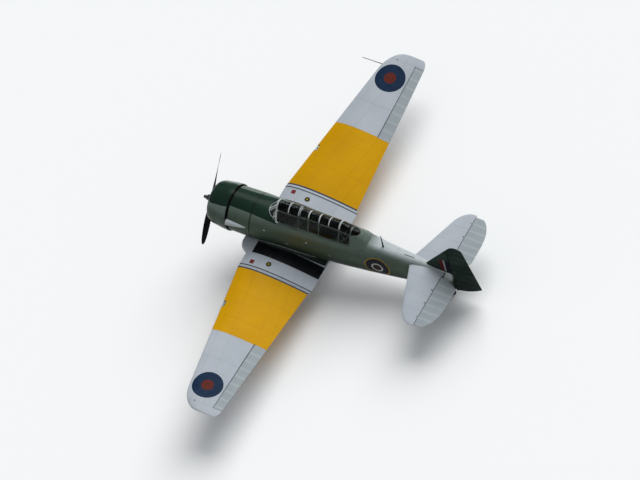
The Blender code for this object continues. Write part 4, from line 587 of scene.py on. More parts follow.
# Cellulose paint on the metal fuselage: dark green on top of the nose, grey-green below and aft, with a
# waxy shine. A painted highlight lightens its top aft of the canopy and its shoulder, and painted shade
# darkens it towards the belly, in the gap behind the cowl and in a slot on its back. It carries the
# roundels, the dark sealing band at the firewall and the seams of its panels.
def fuselageFinish():
    finish, tree, shader = newFinish("fuselage_cellulose_paint", "#4A5A4C", 0.30, 0.0, Coat_Weight=0.10,
                                     Coat_Roughness=0.15)
    point = levelPlace(tree)
    place = axesOf(tree, point)
    station, y, z = place["station"], place["y"], place["z"]
    cloud = noise(tree, point, 1.1, 5.0, 0.6)
    olive = between(tree, cloud, (0.32, "#3C4A40"), (0.62, "#485749"))
    # painted highlight: its top aft of the canopy is painted pale, more so to starboard, where the key light
    # stands
    onTop = fade(tree, y, 0.02, 0.23, 0.97, 0.0, soft=True)
    high = fade(tree, z, 0.10, 0.30, 0.0, 1.0, soft=True)
    aft = fade(tree, station, 5.28, 5.80, 0.0, 1.0, soft=True)
    paintedSunGlare = maths(tree, "MULTIPLY", onTop, aft)
    paintedSunGlare = maths(tree, "MULTIPLY", paintedSunGlare, high)
    # painted shade: the paint darkens towards the belly
    shade = fade(tree, z, -0.30, 0.20, 0.85, 0.0, soft=True)
    # the sides beside the seats are stained olive by boots and oil
    patch = fade(tree, farFrom(tree, station, z, (3.5, 0.36)), 0.15, 1.0, 0.9, 0.0)
    stain = fade(tree, cloud, 0.36, 0.56, 0.0, 1.0)
    stain = maths(tree, "MULTIPLY", patch, stain)
    green, above = noseGreen(tree, cloud, station, z)
    ahead = maths(tree, "LESS_THAN", station, 2.66)
    upper = maths(tree, "MULTIPLY", above, ahead)
    roundel = markings["sideRoundel"]
    disc = farFrom(tree, station, z, roundel["at"])
    radii = [roundel[ring] for ring in ("yellow", "blue", "white", "red")] + [0.0]
    yellow, blue, white, red = ringsAt(tree, disc, *zip(radii[1:], radii))
    onSide = maths(tree, "GREATER_THAN", place["span"], 0.12)
    # painted highlight: the shoulder is painted lighter, a sheen of the sky on it
    paintedShoulderSheen = fade(tree, z, 0.32, 0.58, 0.0, 0.70, soft=True)
    marks = [(stain, "#4C4C2C"), (shade, "#1D2722"), (paintedShoulderSheen, "#606D66"), (paintedSunGlare, "#AEB5B7"), (upper, green)]
    for mask, code in ((yellow, "#8A6C1C"), (blue, "#0B1018"), (white, "#A0A4A1"), (red, "#23130F")):
        marks.append((maths(tree, "MULTIPLY", mask, onSide), code))
    marks.append((seams(tree, station, (1.818,), 0.03), "#11150F"))
    # painted shade: a dark ring on the accessory cowl's front stands for the shade in the gap behind the cowl
    marks.append((area(tree, (station, 1.085, 1.125)), "#101411"))
    # painted shade: a dark strip along the middle of the back stands for the hollow of a slot
    slotShade = area(tree, (station, 6.53, 6.85), (y, -0.012, 0.012))
    marks.append((maths(tree, "MULTIPLY", slotShade, high), "#232827"))
    colour = painted(tree, olive, *marks)
    rings = seams(tree, station, (1.36, 2.24, 3.05, 3.66, 4.31, 4.92, 5.42, 6.30, 7.05, 7.72), 0.006)
    belts = seams(tree, z, (0.18, -0.24, -0.46), 0.006)
    lines = maths(tree, "MAXIMUM", rings, belts)
    hoops = rivets(tree, station, 0.305, z, 0.05, 0.005)
    stringers = rivets(tree, z, 0.21, station, 0.05, 0.005)
    dots = maths(tree, "MAXIMUM", hoops, stringers)
    weathered(tree, shader, point, colour, lines, dots, (0.22, 0.36), "#242A22", 0.55)
    return finish


# Dark green cellulose paint on the cowling: deep and glossy, wiped clean, with oil haze behind the cylinders.
# Painted shade darkens it towards the bottom and at its back edge, and a painted reflection of the sky
# lightens it below the split line.
def cowlFinish():
    finish, tree, shader = newFinish("cowling_cellulose_paint", "#1F3A2D", 0.24, 0.0, Coat_Weight=0.15,
                                     Coat_Roughness=0.10)
    point = levelPlace(tree)
    place = axesOf(tree, point)
    cloud = noise(tree, point, 1.4, 5.0, 0.6)
    green, above = noseGreen(tree, cloud, place["station"], place["z"])
    grey = between(tree, cloud, (0.3, "#3C4A40"), (0.7, "#4A594C"))
    # painted shade: the paint darkens towards the bottom
    shade = fade(tree, place["z"], -0.30, 0.30, 0.75, 0.0, soft=True)
    # painted shade: a dark ring at the cowl's back edge stands for the shade in the gap behind it
    gapShadeRing = area(tree, (place["station"], 1.052, 1.10))
    # painted reflection: a paler band below the split line stands for the sky mirrored in the glossy paint
    sky = fade(tree, place["z"], 0.26, 0.47, 0.0, 0.75, soft=True)
    colour = painted(tree, grey, (shade, "#1F2924"), (sky, "#6E7B77"), (above, green), (gapShadeRing, "#0A0D0B"))
    lines = seams(tree, place["station"], (0.69, 0.91), 0.005)
    halves = seams(tree, place["y"], (0.0,), 0.006)
    lines = maths(tree, "MAXIMUM", lines, halves)
    dots = rivets(tree, place["station"], 0.225, place["z"], 0.05, 0.005)
    weathered(tree, shader, point, colour, lines, dots, (0.16, 0.28), "#20241C", 0.4)
    return finish


# Dark green cellulose paint on the fin, a little dull, with its red, white and blue flash
def finFinish():
    finish, tree, shader = newFinish("fin_cellulose_paint", "#26382F", 0.34)
    point = levelPlace(tree)
    place = axesOf(tree, point)
    cloud = noise(tree, point, 1.6, 5.0, 0.6)
    green = between(tree, cloud, (0.3, "#1A2721"), (0.7, "#23342C"))
    tall = (place["z"], *markings["flashHeight"])
    flash = [(area(tree, (place["station"], start, end), tall), code)
             for start, end, code in markings["finFlash"]]
    colour = painted(tree, green, *flash)
    lines = seams(tree, place["z"], (0.72, 1.12), 0.005)
    dots = rivets(tree, place["z"], 0.20, place["station"], 0.05, 0.005)
    weathered(tree, shader, point, colour, lines, dots, (0.28, 0.42), "#3E443C", 0.35)
    return finish


# Doped cotton over ribs: a dull tight cloth with tapes along its ribs and threads a millimetre apart, with
# a painted highlight along each rib.
# A wave texture repeats every 0.314 m divided by its scale.
def fabricFinish(name, low, high, axis, pitch, start=0.0, lift=0.07):
    finish, tree, shader = newFinish(name, low, 0.62)
    point = levelPlace(tree)
    place = axesOf(tree, point)
    cloud = noise(tree, point, 1.5, 5.0, 0.6)
    cloth = between(tree, cloud, (0.3, low), (0.7, high))
    shifted = maths(tree, "SUBTRACT", place[axis], start)
    rib = maths(tree, "PINGPONG", shifted, pitch / 2)
    # painted highlight: the tape and the cloth beside each rib are lightened, as if light caught the ridge
    tape = fade(tree, rib, 0.022, 0.018, 0.0, 1.0)
    ribHighlight = fade(tree, rib, 0.060, 0.0, 0.0, lift, soft=True)
    shade = maths(tree, "MULTIPLY_ADD", tape, lift * 0.25, ribHighlight)
    colour = painted(tree, cloth, (shade, "#FFFFFF"))
    weave = add(tree, "TexWave", {0: point, 1: 320.0, 2: 0.5}, bands_direction="X")
    cross = add(tree, "TexWave", {0: point, 1: 320.0, 2: 0.5}, bands_direction="Z")
    threads = maths(tree, "MULTIPLY", weave, cross)
    threads = maths(tree, "MULTIPLY", threads, 0.00015)
    step = maths(tree, "MULTIPLY_ADD", tape, 0.0006, threads)
    dirt = fade(tree, cloud, 0.50, 0.75, 0.0, 0.25)
    colour = painted(tree, colour, (dirt, "#4C4F50"))
    normal = bump(tree, step, 0.8)
    connect(tree, shader, Base_Color=colour, Normal=normal)
    return finish


# A finish of one colour with fine unevenness: scale in patches per metre, wear shows the second colour
# on patches
def plainFinish(name, low, high, rough, metal=0.0, scale=14.0, grain=0.0004, wear=None, **sockets):
    finish, tree, shader = newFinish(name, low, rough, metal, **sockets)
    point = add(tree, "TexCoord", out=3)
    cloud = noise(tree, point, scale, 6.0, 0.6)
    colour = between(tree, cloud, (0.3, low), (0.7, high))
    if wear:
        fine = noise(tree, point, scale * 4, 8.0, 0.7)
        chips = fade(tree, fine, 0.62, 0.66, 0.0, 1.0)
        colour = painted(tree, colour, (chips, wear))
    gloss = fade(tree, cloud, 0.3, 0.7, rough * 0.85, min(rough * 1.25, 1.0))
    bumps = noise(tree, point, scale * 9, 3.0, 0.5)
    height = maths(tree, "MULTIPLY", bumps, grain)
    normal = bump(tree, height, 0.7)
    connect(tree, shader, Base_Color=colour, Roughness=gloss, Normal=normal)
    return finish


# Sprayed paint on the canopy's mouldings: light grey, with painted shade that turns them grey-green down
# the sides aft of the windscreen
def frameFinish():
    finish, tree, shader = newFinish("canopy_frame_paint", "#B4B9BB", 0.40)
    point = levelPlace(tree)
    place = axesOf(tree, point)
    cloud = noise(tree, point, 5.0, 6.0, 0.6)
    pale = between(tree, cloud, (0.3, "#B6BBBD"), (0.7, "#CBCFD0"))
    # painted shade: aft of the windscreen the bars darken below the top of the arch
    side = fade(tree, place["z"], 0.98, 1.06, 1.0, 0.0, soft=True)
    behind = maths(tree, "GREATER_THAN", place["station"], 2.70)
    side = maths(tree, "MULTIPLY", side, behind)
    bumps = noise(tree, point, 60.0, 3.0, 0.5)
    height = maths(tree, "MULTIPLY", bumps, 0.0002)
    connect(tree, shader, Base_Color=painted(tree, pale, (side, "#4E5852")), Normal=bump(tree, height, 0.7))
    return finish


finishes = {
    "wing": lacquerFinish("aluminium_lacquer_wing", True),
    "tail": lacquerFinish("aluminium_lacquer_tail", False),
    "fuselage": fuselageFinish(),
    "cowl": cowlFinish(),
    "fin": finFinish(),
    "fabricSilver": fabricFinish("doped_fabric_silver", "#8F989C", "#9AA3A7", "span", 0.29, 3.73),
    "fabricGreen": fabricFinish("doped_fabric_green", "#18231E", "#202E28", "z", 0.26, 0.08, 0.006),
    "frame": frameFinish(),
    # Light grey enamel of the nose scoop, joint strips and small fittings, slightly dirty
    "lightGrey": plainFinish("light_grey_paint", "#9BA3A6", "#B2B8BA", 0.42, 0.0, 3.0, 0.0002),
    # Zinc chromate primer of the cockpit: dull yellow-green, scuffed pale in patches
    "interior": plainFinish("zinc_chromate_primer", "#34412A", "#424F33", 0.62, 0.0, 9.0, 0.0003, "#6F746B"),
    # Black crackle enamel: matt with a fine crinkle
    "black": plainFinish("black_crackle_enamel", "#0E1012", "#1A1D20", 0.55, 0.0, 22.0, 0.0009),
    # Matt black paint of the blades, chipped and stone-scratched
    "blade": plainFinish("matt_black_blade_paint", "#121417", "#202327", 0.42, 0.0, 6.0, 0.0002, "#33373B"),
    # Machined aluminium alloy, clear and slightly dull
    "alloy": plainFinish("machined_aluminium", "#9DA1A4", "#B9BCBE", 0.33, 1.0, 18.0, 0.0001),
    # Oiled forged steel of the propeller hub: dark grey, soft shine
    "hub": plainFinish("oiled_hub_steel", "#3E4244", "#54585A", 0.36, 1.0, 18.0, 0.0001),
    # Cadmium-plated steel fittings: grey, soft shine
    "steel": plainFinish("cadmium_plated_steel", "#6E7274", "#8A8D8E", 0.38, 1.0, 20.0, 0.0001),
    # Hard chrome on the oleo's sliding tube: nearly a mirror
    "chrome": plainFinish("hard_chrome", "#C4C7C9", "#D5D8DA", 0.10, 1.0, 10.0, 0.00002),
    # Grey enamel on the crankcase, with dark oily patches
    "engine": plainFinish("grey_engine_enamel", "#5A5F63", "#73787B", 0.45, 0.0, 16.0, 0.0003, "#3B3D3D"),
    # Finned steel barrels, black baked enamel with a burnt bloom
    "fins": plainFinish("black_baked_cylinder_enamel", "#1B1C1D", "#37332F", 0.50, 0.4, 24.0, 0.0003),
    # Exhaust steel, burnt brown and blue-grey by heat
    "burnt": plainFinish("burnt_exhaust_steel", "#3A2B22", "#6A5648", 0.48, 0.85, 11.0, 0.0003, "#242A33"),
    # Tyre rubber, moulded: black going grey with dust
    "rubber": plainFinish("tyre_rubber", "#17181A", "#2A2B2C", 0.82, 0.0, 30.0, 0.0008),
    # Silver enamel on cast wheels and legs, chipped and dusty
    "enamel": plainFinish("silver_leg_enamel", "#8E9499", "#A3A8AC", 0.36, 0.35, 12.0, 0.0002, "#6C6F72"),
    # Tarnished brass braid of the ignition leads
    "brass": plainFinish("tarnished_brass", "#7C6532", "#A68947", 0.36, 1.0, 40.0, 0.0002),
}


# Acrylic sheet: aged, with a smoky blue-green tint, a few soft scratches in its gloss; the windscreen is
# clearer glass
def acrylicFinish(name, tint, bend):
    finish, tree, shader = newFinish(name, tint, 0.03, 0.0, IOR=bend, Transmission_Weight=1.0)
    shader.inputs["Specular IOR Level"].default_value = 0.5
    point = add(tree, "TexCoord", out=3)
    haze = noise(tree, point, 26.0, 8.0, 0.75)
    gloss = fade(tree, haze, 0.45, 0.75, 0.02, 0.10)
    connect(tree, shader, Roughness=gloss)
    return finish


# the acrylic bends light less than the real 1.49, because the real panes mirror an open sky, not a white room
finishes["glass"] = acrylicFinish("smoked_acrylic_sheet", "#A9B8B6", 1.18)
finishes["screen"] = acrylicFinish("windscreen_glass", "#E4EAEA", 1.62)
print("finishes made:", len(finishes))


# stage, light and camera

bpy.ops.mesh.primitive_plane_add(size=1600, location=(0, 0, -0.002))
floor = bpy.context.object
floor.name = "studio_floor"
# Matt white vinyl studio floor: even and shadow-soft
floorFinish, _, floorShader = newFinish("white_studio_vinyl", "#F2F3F3", 0.9)
floorShader.inputs["Specular IOR Level"].default_value = 0.1
floor.data.materials.append(floorFinish)

light = {"sky": 0.40, "key": 2.75, "way": (-0.12, -0.64, 0.76), "spread": math.radians(55)}
world = bpy.data.worlds.new("soft_studio")
bpy.context.scene.world = world
world.use_nodes = True
world.node_tree.nodes["Background"].inputs[0].default_value = tone("#F4F7FB")
world.node_tree.nodes["Background"].inputs[1].default_value = light["sky"]
sun = bpy.data.lights.new("key", "SUN")
sun.energy, sun.angle = light["key"], light["spread"]
holder = bpy.data.objects.new("key", sun)
holder.rotation_mode = "QUATERNION"
holder.rotation_quaternion = Vector(light["way"]).to_track_quat("Z", "Y")
bpy.context.scene.collection.objects.link(holder)

# A long lens far away: the photo is nearly parallel, at 35.7 pixels a metre. Its axes are on the level
# aeroplane.
view = {
    "right": Vector((-0.8717, -0.4598, -0.1698)), "up": Vector((0.3001, -0.7744, 0.5570)),
    "back": Vector((-0.3876, 0.4346, 0.8130)), "aim": (3.259, -1.236), "distance": 300.0,
    "pixelsPerMetre": 35.69,
    "sensor": 36, "photoWidth": 640,
}
camera = bpy.data.objects.new("camera", bpy.data.cameras.new("camera"))
bpy.context.scene.collection.objects.link(camera)
target = view["right"] * view["aim"][0] + view["up"] * view["aim"][1]
turn = Matrix((view["right"], view["up"], view["back"])).transposed().to_4x4()
camera.matrix_world = attitude @ Matrix.Translation(target + view["back"] * view["distance"]) @ turn
camera.data.lens = view["pixelsPerMetre"] * view["distance"] * view["sensor"] / view["photoWidth"]
camera.data.clip_end = 2000
bpy.context.scene.camera = camera
bpy.context.scene.view_settings.view_transform = "Standard"
print("stage set")


# fuselage

cowl = {"lip": 0.39, "rear": 1.08, "wall": 0.018, "gapRear": 1.105}


def makeCowling():
    outer = [(cowl["rear"], 0.686), (1.0, 0.683), (0.9, 0.678), (0.8, 0.668)]
    for k in range(15):
        angle = math.pi / 2 * k / 14
        outer.append((cowl["lip"] + 0.29 * (1 - math.sin(angle)), 0.505 + 0.140 * math.cos(angle)))
    inner = [(0.396, 0.490), (0.406, 0.480), (0.43, 0.472), (0.47, 0.470), (0.485, 0.474), (0.49, 0.49),
             (0.68, 0.626), (0.80, 0.648), (0.9, 0.660), (cowl["rear"], 0.668)]
    obj = turned(outer + inner, (0, 0, 0), (-1, 0, 0), 128, loop=True)
    finished(obj, "cowling_ring", "airframe", "cowl", "engine_cowling")
    # stiffening bead and the turned fasteners along the cowl's edges
    beads = [turned([(1.02, 0.684), (1.025, 0.690), (1.035, 0.690), (1.04, 0.684)], (0, 0, 0), (-1, 0, 0),
                    96, loop=True)]
    head = rod((0, 0, -0.004), (0, 0, 0.003), 0.009, 0.007, 10, 0.001)
    for station, radius in ((0.71, 0.656), (0.935, 0.680)):
        for turnTo in spokes(40, "x", 0.5):
            spot = at(station, turnTo.y * radius, turnTo.z * radius)
            facing = turnTo.to_track_quat("Z", "Y").to_matrix().to_4x4()
            beads.append(copyMoved(head, Matrix.Translation(spot) @ facing))
    bpy.data.objects.remove(head)
    finished(beads, "cowling_fasteners", "airframe", "cowl")


def makeCowlShadeSleeve():
    # a black sleeve inside the ring of the cooling outlet stands for the shade in the gap
    ring = [(1.00, 0.612), (1.125, 0.622), (1.125, 0.616), (1.00, 0.606)]
    obj = turned([(-station, radius) for station, radius in ring], (0, 0, 0), (1, 0, 0), 72, loop=True)
    finished(obj, "cowling_outlet_shade_sleeve", "airframe", "black", smooth=35)


def makeAccessoryCowl():
    front, back, wall = cowl["gapRear"], fuselageShape["firewall"] - hair, fuselageShape["wall"]
    rings = [fuselageRing(station) for station in spread(back, front, 10)]
    rings += [fuselageRing(station, -wall) for station in spread(front, back - wall, 6)]
    finished(skin(rings), "accessory_cowling", "airframe", "fuselage", "accessory_cowl")


def cockpitRing(station, low=84, high=28):
    # points meet the sill's height, so that the opening's edge is straight
    top, bottom, half, middle, lowPower, highPower = along(fuselageShape["rows"], station)
    start = math.asin(((fuselageShape["sill"] - middle) / (top - middle)) ** (highPower / 2))
    angles = [start - (math.pi + 2 * start) * k / low for k in range(low)]
    angles += [math.pi - start - (math.pi - 2 * start) * k / high for k in range(high)]
    ring = []
    for angle in angles:
        power = highPower if math.sin(angle) > 0 else lowPower
        across = math.copysign(abs(math.cos(angle)) ** (2 / power), math.cos(angle))
        up = math.copysign(abs(math.sin(angle)) ** (2 / power), math.sin(angle))
        ring.append(at(station, half * across, middle + (top - middle if up > 0 else middle - bottom) * up))
    return ring


def makeCockpitSection():
    front, back = fuselageShape["opening"]
    stations = spread(1.83, front, 7) + [2.53, 2.60] + spread(2.60, back, 25)[1:] + [5.36, 5.4197]
    obj = skin([cockpitRing(station) for station in stations], ends=False)
    sill = fuselageShape["sill"]

    def inOpening(c, _):
        # the deck runs on beside the windscreen's feet
        start = front if abs(c.y) < 0.20 else 2.53 if abs(c.y) < 0.30 else 2.60
        return (start < -c.x < back and c.z > sill - 0.0005) or (c.z < -0.60 and -c.x < 3.96)

    edit(obj, inOpening, ("delete", {"type": "FACE"}))
    modify(obj, "SOLIDIFY", thickness=fuselageShape["wall"], offset=-1)
    pieces = [obj]
    for station in (1.845, 5.405):
        pieces.append(skin([fuselageRing(station - 0.01, -0.028), fuselageRing(station + 0.01, -0.028)]))
    # a flat ledge under each sill
    edge = ((2.48, 0.385), (3.54, 0.3775), (4.60, 0.370), (5.25, 0.335))
    for hand in (1, -1):
        outline = [at(s, hand * y, sill) for s, y in edge]
        outline += [at(s, hand * (y - 0.085), sill) for s, y in reversed(edge)]
        pieces.append(plate(outline, (0, 0, -0.05), 0.004))
    finished(pieces, "cockpit_shell", "airframe", "fuselage", "cockpit_section")


def makeRearFuselage():
    ends = fuselageShape["rearJoint"], fuselageShape["tailPost"]
    finished(skin([fuselageRing(station) for station in spread(*ends, 30)]), "rear_fuselage_shell", "airframe",
             "fuselage", "rear_fuselage")


makeCowling()
makeCowlShadeSleeve()
makeAccessoryCowl()
makeCockpitSection()
makeRearFuselage()
print("fuselage made")


# wing

def chordShares(count):
    return [(1 - math.cos(math.pi * k / count)) / 2 for k in range(count + 1)]


def wingRing(span, hand, count=36, grow=0.0):
    front, back, _ = wingChord(span)
    ring = []
    for share in reversed(chordShares(count)):
        station = front + (back - front) * share
        ring.append(at(station, hand * span, wingSurface(span, station, 1, grow)))
    ring[-1] = at(front - grow, hand * span, (wingSurface(span, front, 1) + wingSurface(span, front, -1)) / 2)
    for share in chordShares(count)[1:]:
        station = front + (back - front) * share
        ring.append(at(station, hand * span, wingSurface(span, station, -1, grow)))
    return ring


def flapLine(hand, across):
    out = abs(across)
    return at(wingShape["flapAxis"], hand * across, wingSurface(out, wingShape["flapAxis"], -1)
              + wingShape["flap"] / 2)


def flapThickness(station, back):
    share = min((station - wingShape["flapAxis"]) / (back - wingShape["flapAxis"]), 1.0)
    return wingShape["flap"] + (wingShape["flapEdge"] - wingShape["flap"]) * share


def flapBay(spans, hand):
    rings = []
    for across in (spans[0] - wingShape["clear"], spans[1] + wingShape["clear"]):
        out = abs(across)
        back = wingChord(out)[1]
        axis = flapLine(hand, across)
        front = wingShape["flapAxis"] - wingShape["flap"] / 2 - wingShape["clear"]
        ring = [at(front, hand * across, axis.z - 0.08), at(front, hand * across, axis.z + 0.013)]
        for station in spread(3.62, back - 0.01, 4):
            ring.append(at(station, hand * across,
                           wingSurface(out, station, -1) + flapThickness(station, back) + 0.006))
        ring += [at(back + 0.02, hand * across, wingSurface(out, back, -1) + 0.009),
                 at(back + 0.02, hand * across, wingSurface(out, back, -1) - 0.08)]
        rings.append(ring)
    return skin(rings)


well = {"station": 1.95, "span": 0.55, "radius": 0.365, "roof": -0.520, "bulge": (0.47, 0.42, 0.170),
        "bulgeAt": (1.94, -0.585)}


def bulgeSkin(hand):
    rings = []
    for k in range(1, 24):
        turnAlong = math.pi * k / 24
        ring = []
        for j in range(48):
            turnRound = 2 * math.pi * j / 48
            point = (math.cos(turnAlong), math.sin(turnAlong) * math.cos(turnRound),
                     math.sin(turnAlong) * math.sin(turnRound))
            x, y, z = [math.copysign(abs(value) ** 0.85, value) * size
                       for value, size in zip(point, well["bulge"])]
            ring.append(at(well["bulgeAt"][0], hand * well["span"], well["bulgeAt"][1]) + Vector((x, y, z)))
        rings.append(ring)
    return skin(rings)


def makeCenterWing():
    edge = wingShape["joint"] - hair
    spans = [-edge, -1.0, -0.5, 0, 0.5, 1.0, edge]
    obj = skin([[Vector((p.x, span, p.z)) for p in wingRing(0, 1, 40)] for span in spans])
    # the fuselage's belly and the wheels' bulges are one skin with the wing
    belly = fuselageHull(fuselageShape["firewall"] + hair, 2.55, 0.0, 8)
    cut(belly, block(at(2.50, -0.5, -0.9), at(1.73, 0.5, -0.566)), operation="INTERSECT")
    cut(obj, belly, bulgeSkin(1), bulgeSkin(-1), operation="UNION")
    cut(obj, fuselageHull(1.3, 1.83, hair, 6))
    for hand in (1, -1):
        cut(obj, rod(at(well["station"], hand * well["span"], -1.0),
                     at(well["station"], hand * well["span"], well["roof"]),
                     well["radius"], steps=64))
        low, high = sorted((hand * 0.60, hand * 1.20))
        cut(obj, block(at(2.075, low, -1.0), at(1.865, high, well["roof"])))
    cut(obj, flapBay(wingShape["flaps"][0], 1))
    pieces = [obj]
    for hand in (1, -1):
        spot = at(2.75, hand * 1.20, wingSurface(1.20, 2.75, -1))
        pieces.append(rod(spot + Vector((0, 0, 0.03)), spot - Vector((0, 0, 0.012)), 0.05,
                          steps=32, edge=0.003))
    finished(pieces, "wing_center", "airframe", "wing", "wing_center_section", 28)


def aileronNose(span):
    axis = wingShape["aileronAxis"]
    return (wingSurface(span, axis, 1) - wingSurface(span, axis, -1)) / 2


def aileronLine(span):
    # the hinge line is straight between its two ends
    axis = wingShape["aileronAxis"]
    inner, outer = wingShape["aileron"]
    low, high = [(wingSurface(s, axis, 1) + wingSurface(s, axis, -1)) / 2 for s in (inner, outer)]
    return low + (high - low) * (span - inner) / (outer - inner)


def lampBox(hand, inset):
    # the room of the landing light, cut out of the wing's front edge
    span = wingShape["landingLight"]
    front = wingChord(span)[0]
    low, high = sorted((hand * span - 0.10 + inset, hand * span + 0.10 - inset))
    return block(at(front + 0.11 - inset, low, -0.8), at(front - 0.2, high, 0.1))


def makeOuterWing(side, hand):
    spans = [wingShape["joint"] + hair, 2.0, 2.6, 3.2, 3.73, 4.3, 4.9, 5.4, 5.72]
    spans += [wingShape["frontRound"][0] + 0.68 * math.sin(math.pi / 2 * k / 14)
              for k in range(1, 14)] + [6.398]
    obj = skin([wingRing(span, hand, 36) for span in spans])
    inner, outer = wingShape["aileron"]
    rings = []
    for span, low, high in ((inner - wingShape["clear"], -0.75, 0.1), (outer + wingShape["clear"], -0.4, 0.4)):
        wall = wingShape["aileronAxis"] - aileronNose(span) - wingShape["clear"]
        rings.append([at(wall, hand * span, low), at(wall, hand * span, high), at(4.4, hand * span, high),
                      at(4.4, hand * span, low)])
    cut(obj, skin(rings), flapBay(wingShape["flaps"][1], hand), lampBox(hand, 0.0))
    spot = at(3.0, hand * 4.30, wingSurface(4.30, 3.0, -1))
    pieces = [obj, rod(spot + Vector((0, 0, 0.03)), spot - Vector((0, 0, 0.012)), 0.035, steps=24, edge=0.002)]
    # hinge brackets carry the aileron
    for share in (0.06, 0.5, 0.94):
        span = inner + (outer - inner) * share
        z = aileronLine(span)
        outline = [at(wingShape["aileronAxis"] - x, hand * span - 0.007, z + h)
                   for x, h in ((0, 0.015), (0, -0.015), (0.10, -0.022), (0.10, 0.022))]
        pieces.append(plate(outline, (0, 0.014, 0), 0.002))
    finished(pieces, f"wing_outer_{side}", "airframe", "wing", f"outer_wing_{side}", 28)


def makeAileron(side, hand):
    inner, outer = wingShape["aileron"]
    axis = wingShape["aileronAxis"]
    rings = []
    for span in spread(inner, outer, 50):
        back = wingChord(span)[1]
        middle, radius = aileronLine(span), aileronNose(span)
        sag = 0.0035 * abs(math.sin(math.pi * (span - inner) / 0.30)) ** 0.7
        ring = [at(axis + radius * math.cos(a), hand * span, middle + radius * math.sin(a))
                for a in spread(math.pi / 2, math.pi * 3 / 2, 13)]
        stations = [axis + (back - axis) * share
                    for share in (0.06, 0.14, 0.26, 0.40, 0.56, 0.72, 0.86, 0.95, 1.0)]
        for way in (-1, 1):
            skinLine = []
            for station in stations:
                share = (station - axis) / (back - axis)
                soft = sag * math.sin(math.pi * min(share / 0.96, 1.0)) ** 0.5 if share < 0.96 else 0.0
                skinLine.append(at(station, hand * span, wingSurface(span, station, way) - way * soft))
            ring += skinLine if way < 0 else reversed(skinLine)
        rings.append(ring)
    finished(skin(rings), f"aileron_{side}_cloth", f"aileron_{side}", "fabricSilver",
             f"aileron_{side}", 32)


def makeFlap(name, spans, hand):
    low, high = spans
    rings = []
    for across in spread(low, high, 9):
        out = abs(across)
        back = wingChord(out)[1] - 0.004
        middle = flapLine(hand, across).z
        half = wingShape["flap"] / 2
        ring = [at(wingShape["flapAxis"] + half * math.cos(a), hand * across, middle + half * math.sin(a))
                for a in spread(math.pi / 2, math.pi * 3 / 2, 7)]
        stations = spread(wingShape["flapAxis"] + 0.05, back, 7)
        ring += [at(s, hand * across, wingSurface(out, s, -1)) for s in stations]
        ring += [at(s, hand * across, wingSurface(out, s, -1) + flapThickness(s, back))
                 for s in reversed(stations)]
        rings.append(ring)
    finished(skin(rings), f"{name}_skin", name, "wing", name, 30)


makeCenterWing()
for side, hand in sides:
    makeOuterWing(side, hand)
    makeAileron(side, hand)
    makeFlap(f"flap_{side}", wingShape["flaps"][1], hand)
makeFlap("flap_center", wingShape["flaps"][0], 1)
print("wing made")


# tail

tail = {
    "height": 0.445, "front": 6.70, "sweep": 0.347, "half": 1.965, "hinge": 7.79, "thickness": (0.115, 0.060),
    "axis": 7.831, "nose": 0.034, "back": 8.375, "elevator": (0.255, 1.90),
    "finFront": (7.22, 0.56), "finTop": (8.20, 1.83), "finThickness": (0.120, 0.055), "finCut": 1.463,
    "rudderAxis": 8.075, "rudderNose": 0.045, "rudderLow": -0.325, "backLow": (8.90, 0.07),
    "backHigh": (8.55, 1.74),
}


def symmetric(half, end, share):
    # half thickness of a section that is thickest at 42% and thins to its end
    if share > 0.42:
        return half + (end - half) * (share - 0.42) / 0.58
    return half * math.sqrt(max(0.0, 1 - (1 - share / 0.42) ** 2))


skinShares = [1.0, 0.85, 0.70, 0.55, 0.42, 0.34, 0.27, 0.20, 0.14, 0.09, 0.055, 0.028, 0.010, 0.002]


def stabHalf(span):
    slim = math.sqrt(max(0.04, 1 - max(0.0, (span - 1.80) / (tail["half"] - 1.79)) ** 2))
    return (tail["thickness"][0]
            + (tail["thickness"][1] - tail["thickness"][0]) * span / tail["half"]) / 2 * slim


def stabFront(span):
    front = tail["front"] + span * tail["sweep"]
    if span > 1.55:
        front += 0.30 * (1 - math.sqrt(max(0.0, 1 - min((span - 1.55) / (tail["half"] - 1.55), 1.0) ** 2)))
    return front


def makeStabilizer():
    spans = [1.55 + (tail["half"] - 1.552) * math.sin(math.pi / 2 * k / 12) for k in range(1, 13)]
    spans = [-s for s in reversed(spans)] + spread(-1.55, 1.55, 9) + spans
    rings = []
    for span in spans:
        out, front = abs(span), stabFront(abs(span))
        half = stabHalf(out)
        skinLine = [(front + (tail["hinge"] - front) * s, symmetric(half, min(half, tail["nose"]), s))
                    for s in skinShares]
        rings.append([at(s, span, tail["height"] + rise) for s, rise in skinLine]
                     + [at(front, span, tail["height"])]
                     + [at(s, span, tail["height"] - rise) for s, rise in reversed(skinLine)])
    pieces = [skin(rings)]
    for hand in (1, -1):
        for span in (0.60, 1.70):
            outline = [at(tail["axis"] - x, hand * span - 0.007, tail["height"] + h)
                       for x, h in ((0, 0.014), (0, -0.014), (0.08, -0.02), (0.08, 0.02))]
            pieces.append(plate(outline, (0, 0.014, 0), 0.002))
    finished(pieces, "stabilizer_skin", "airframe", "tail", "stabilizer", 30)


def elevatorBack(span):
    if span <= 0.9:
        return tail["back"]
    share = min((span - 0.9) / (tail["half"] - 0.9), 1.0)
    return tail["axis"] + (tail["back"] - tail["axis"]) * (1 - share ** 2.6) ** 0.5


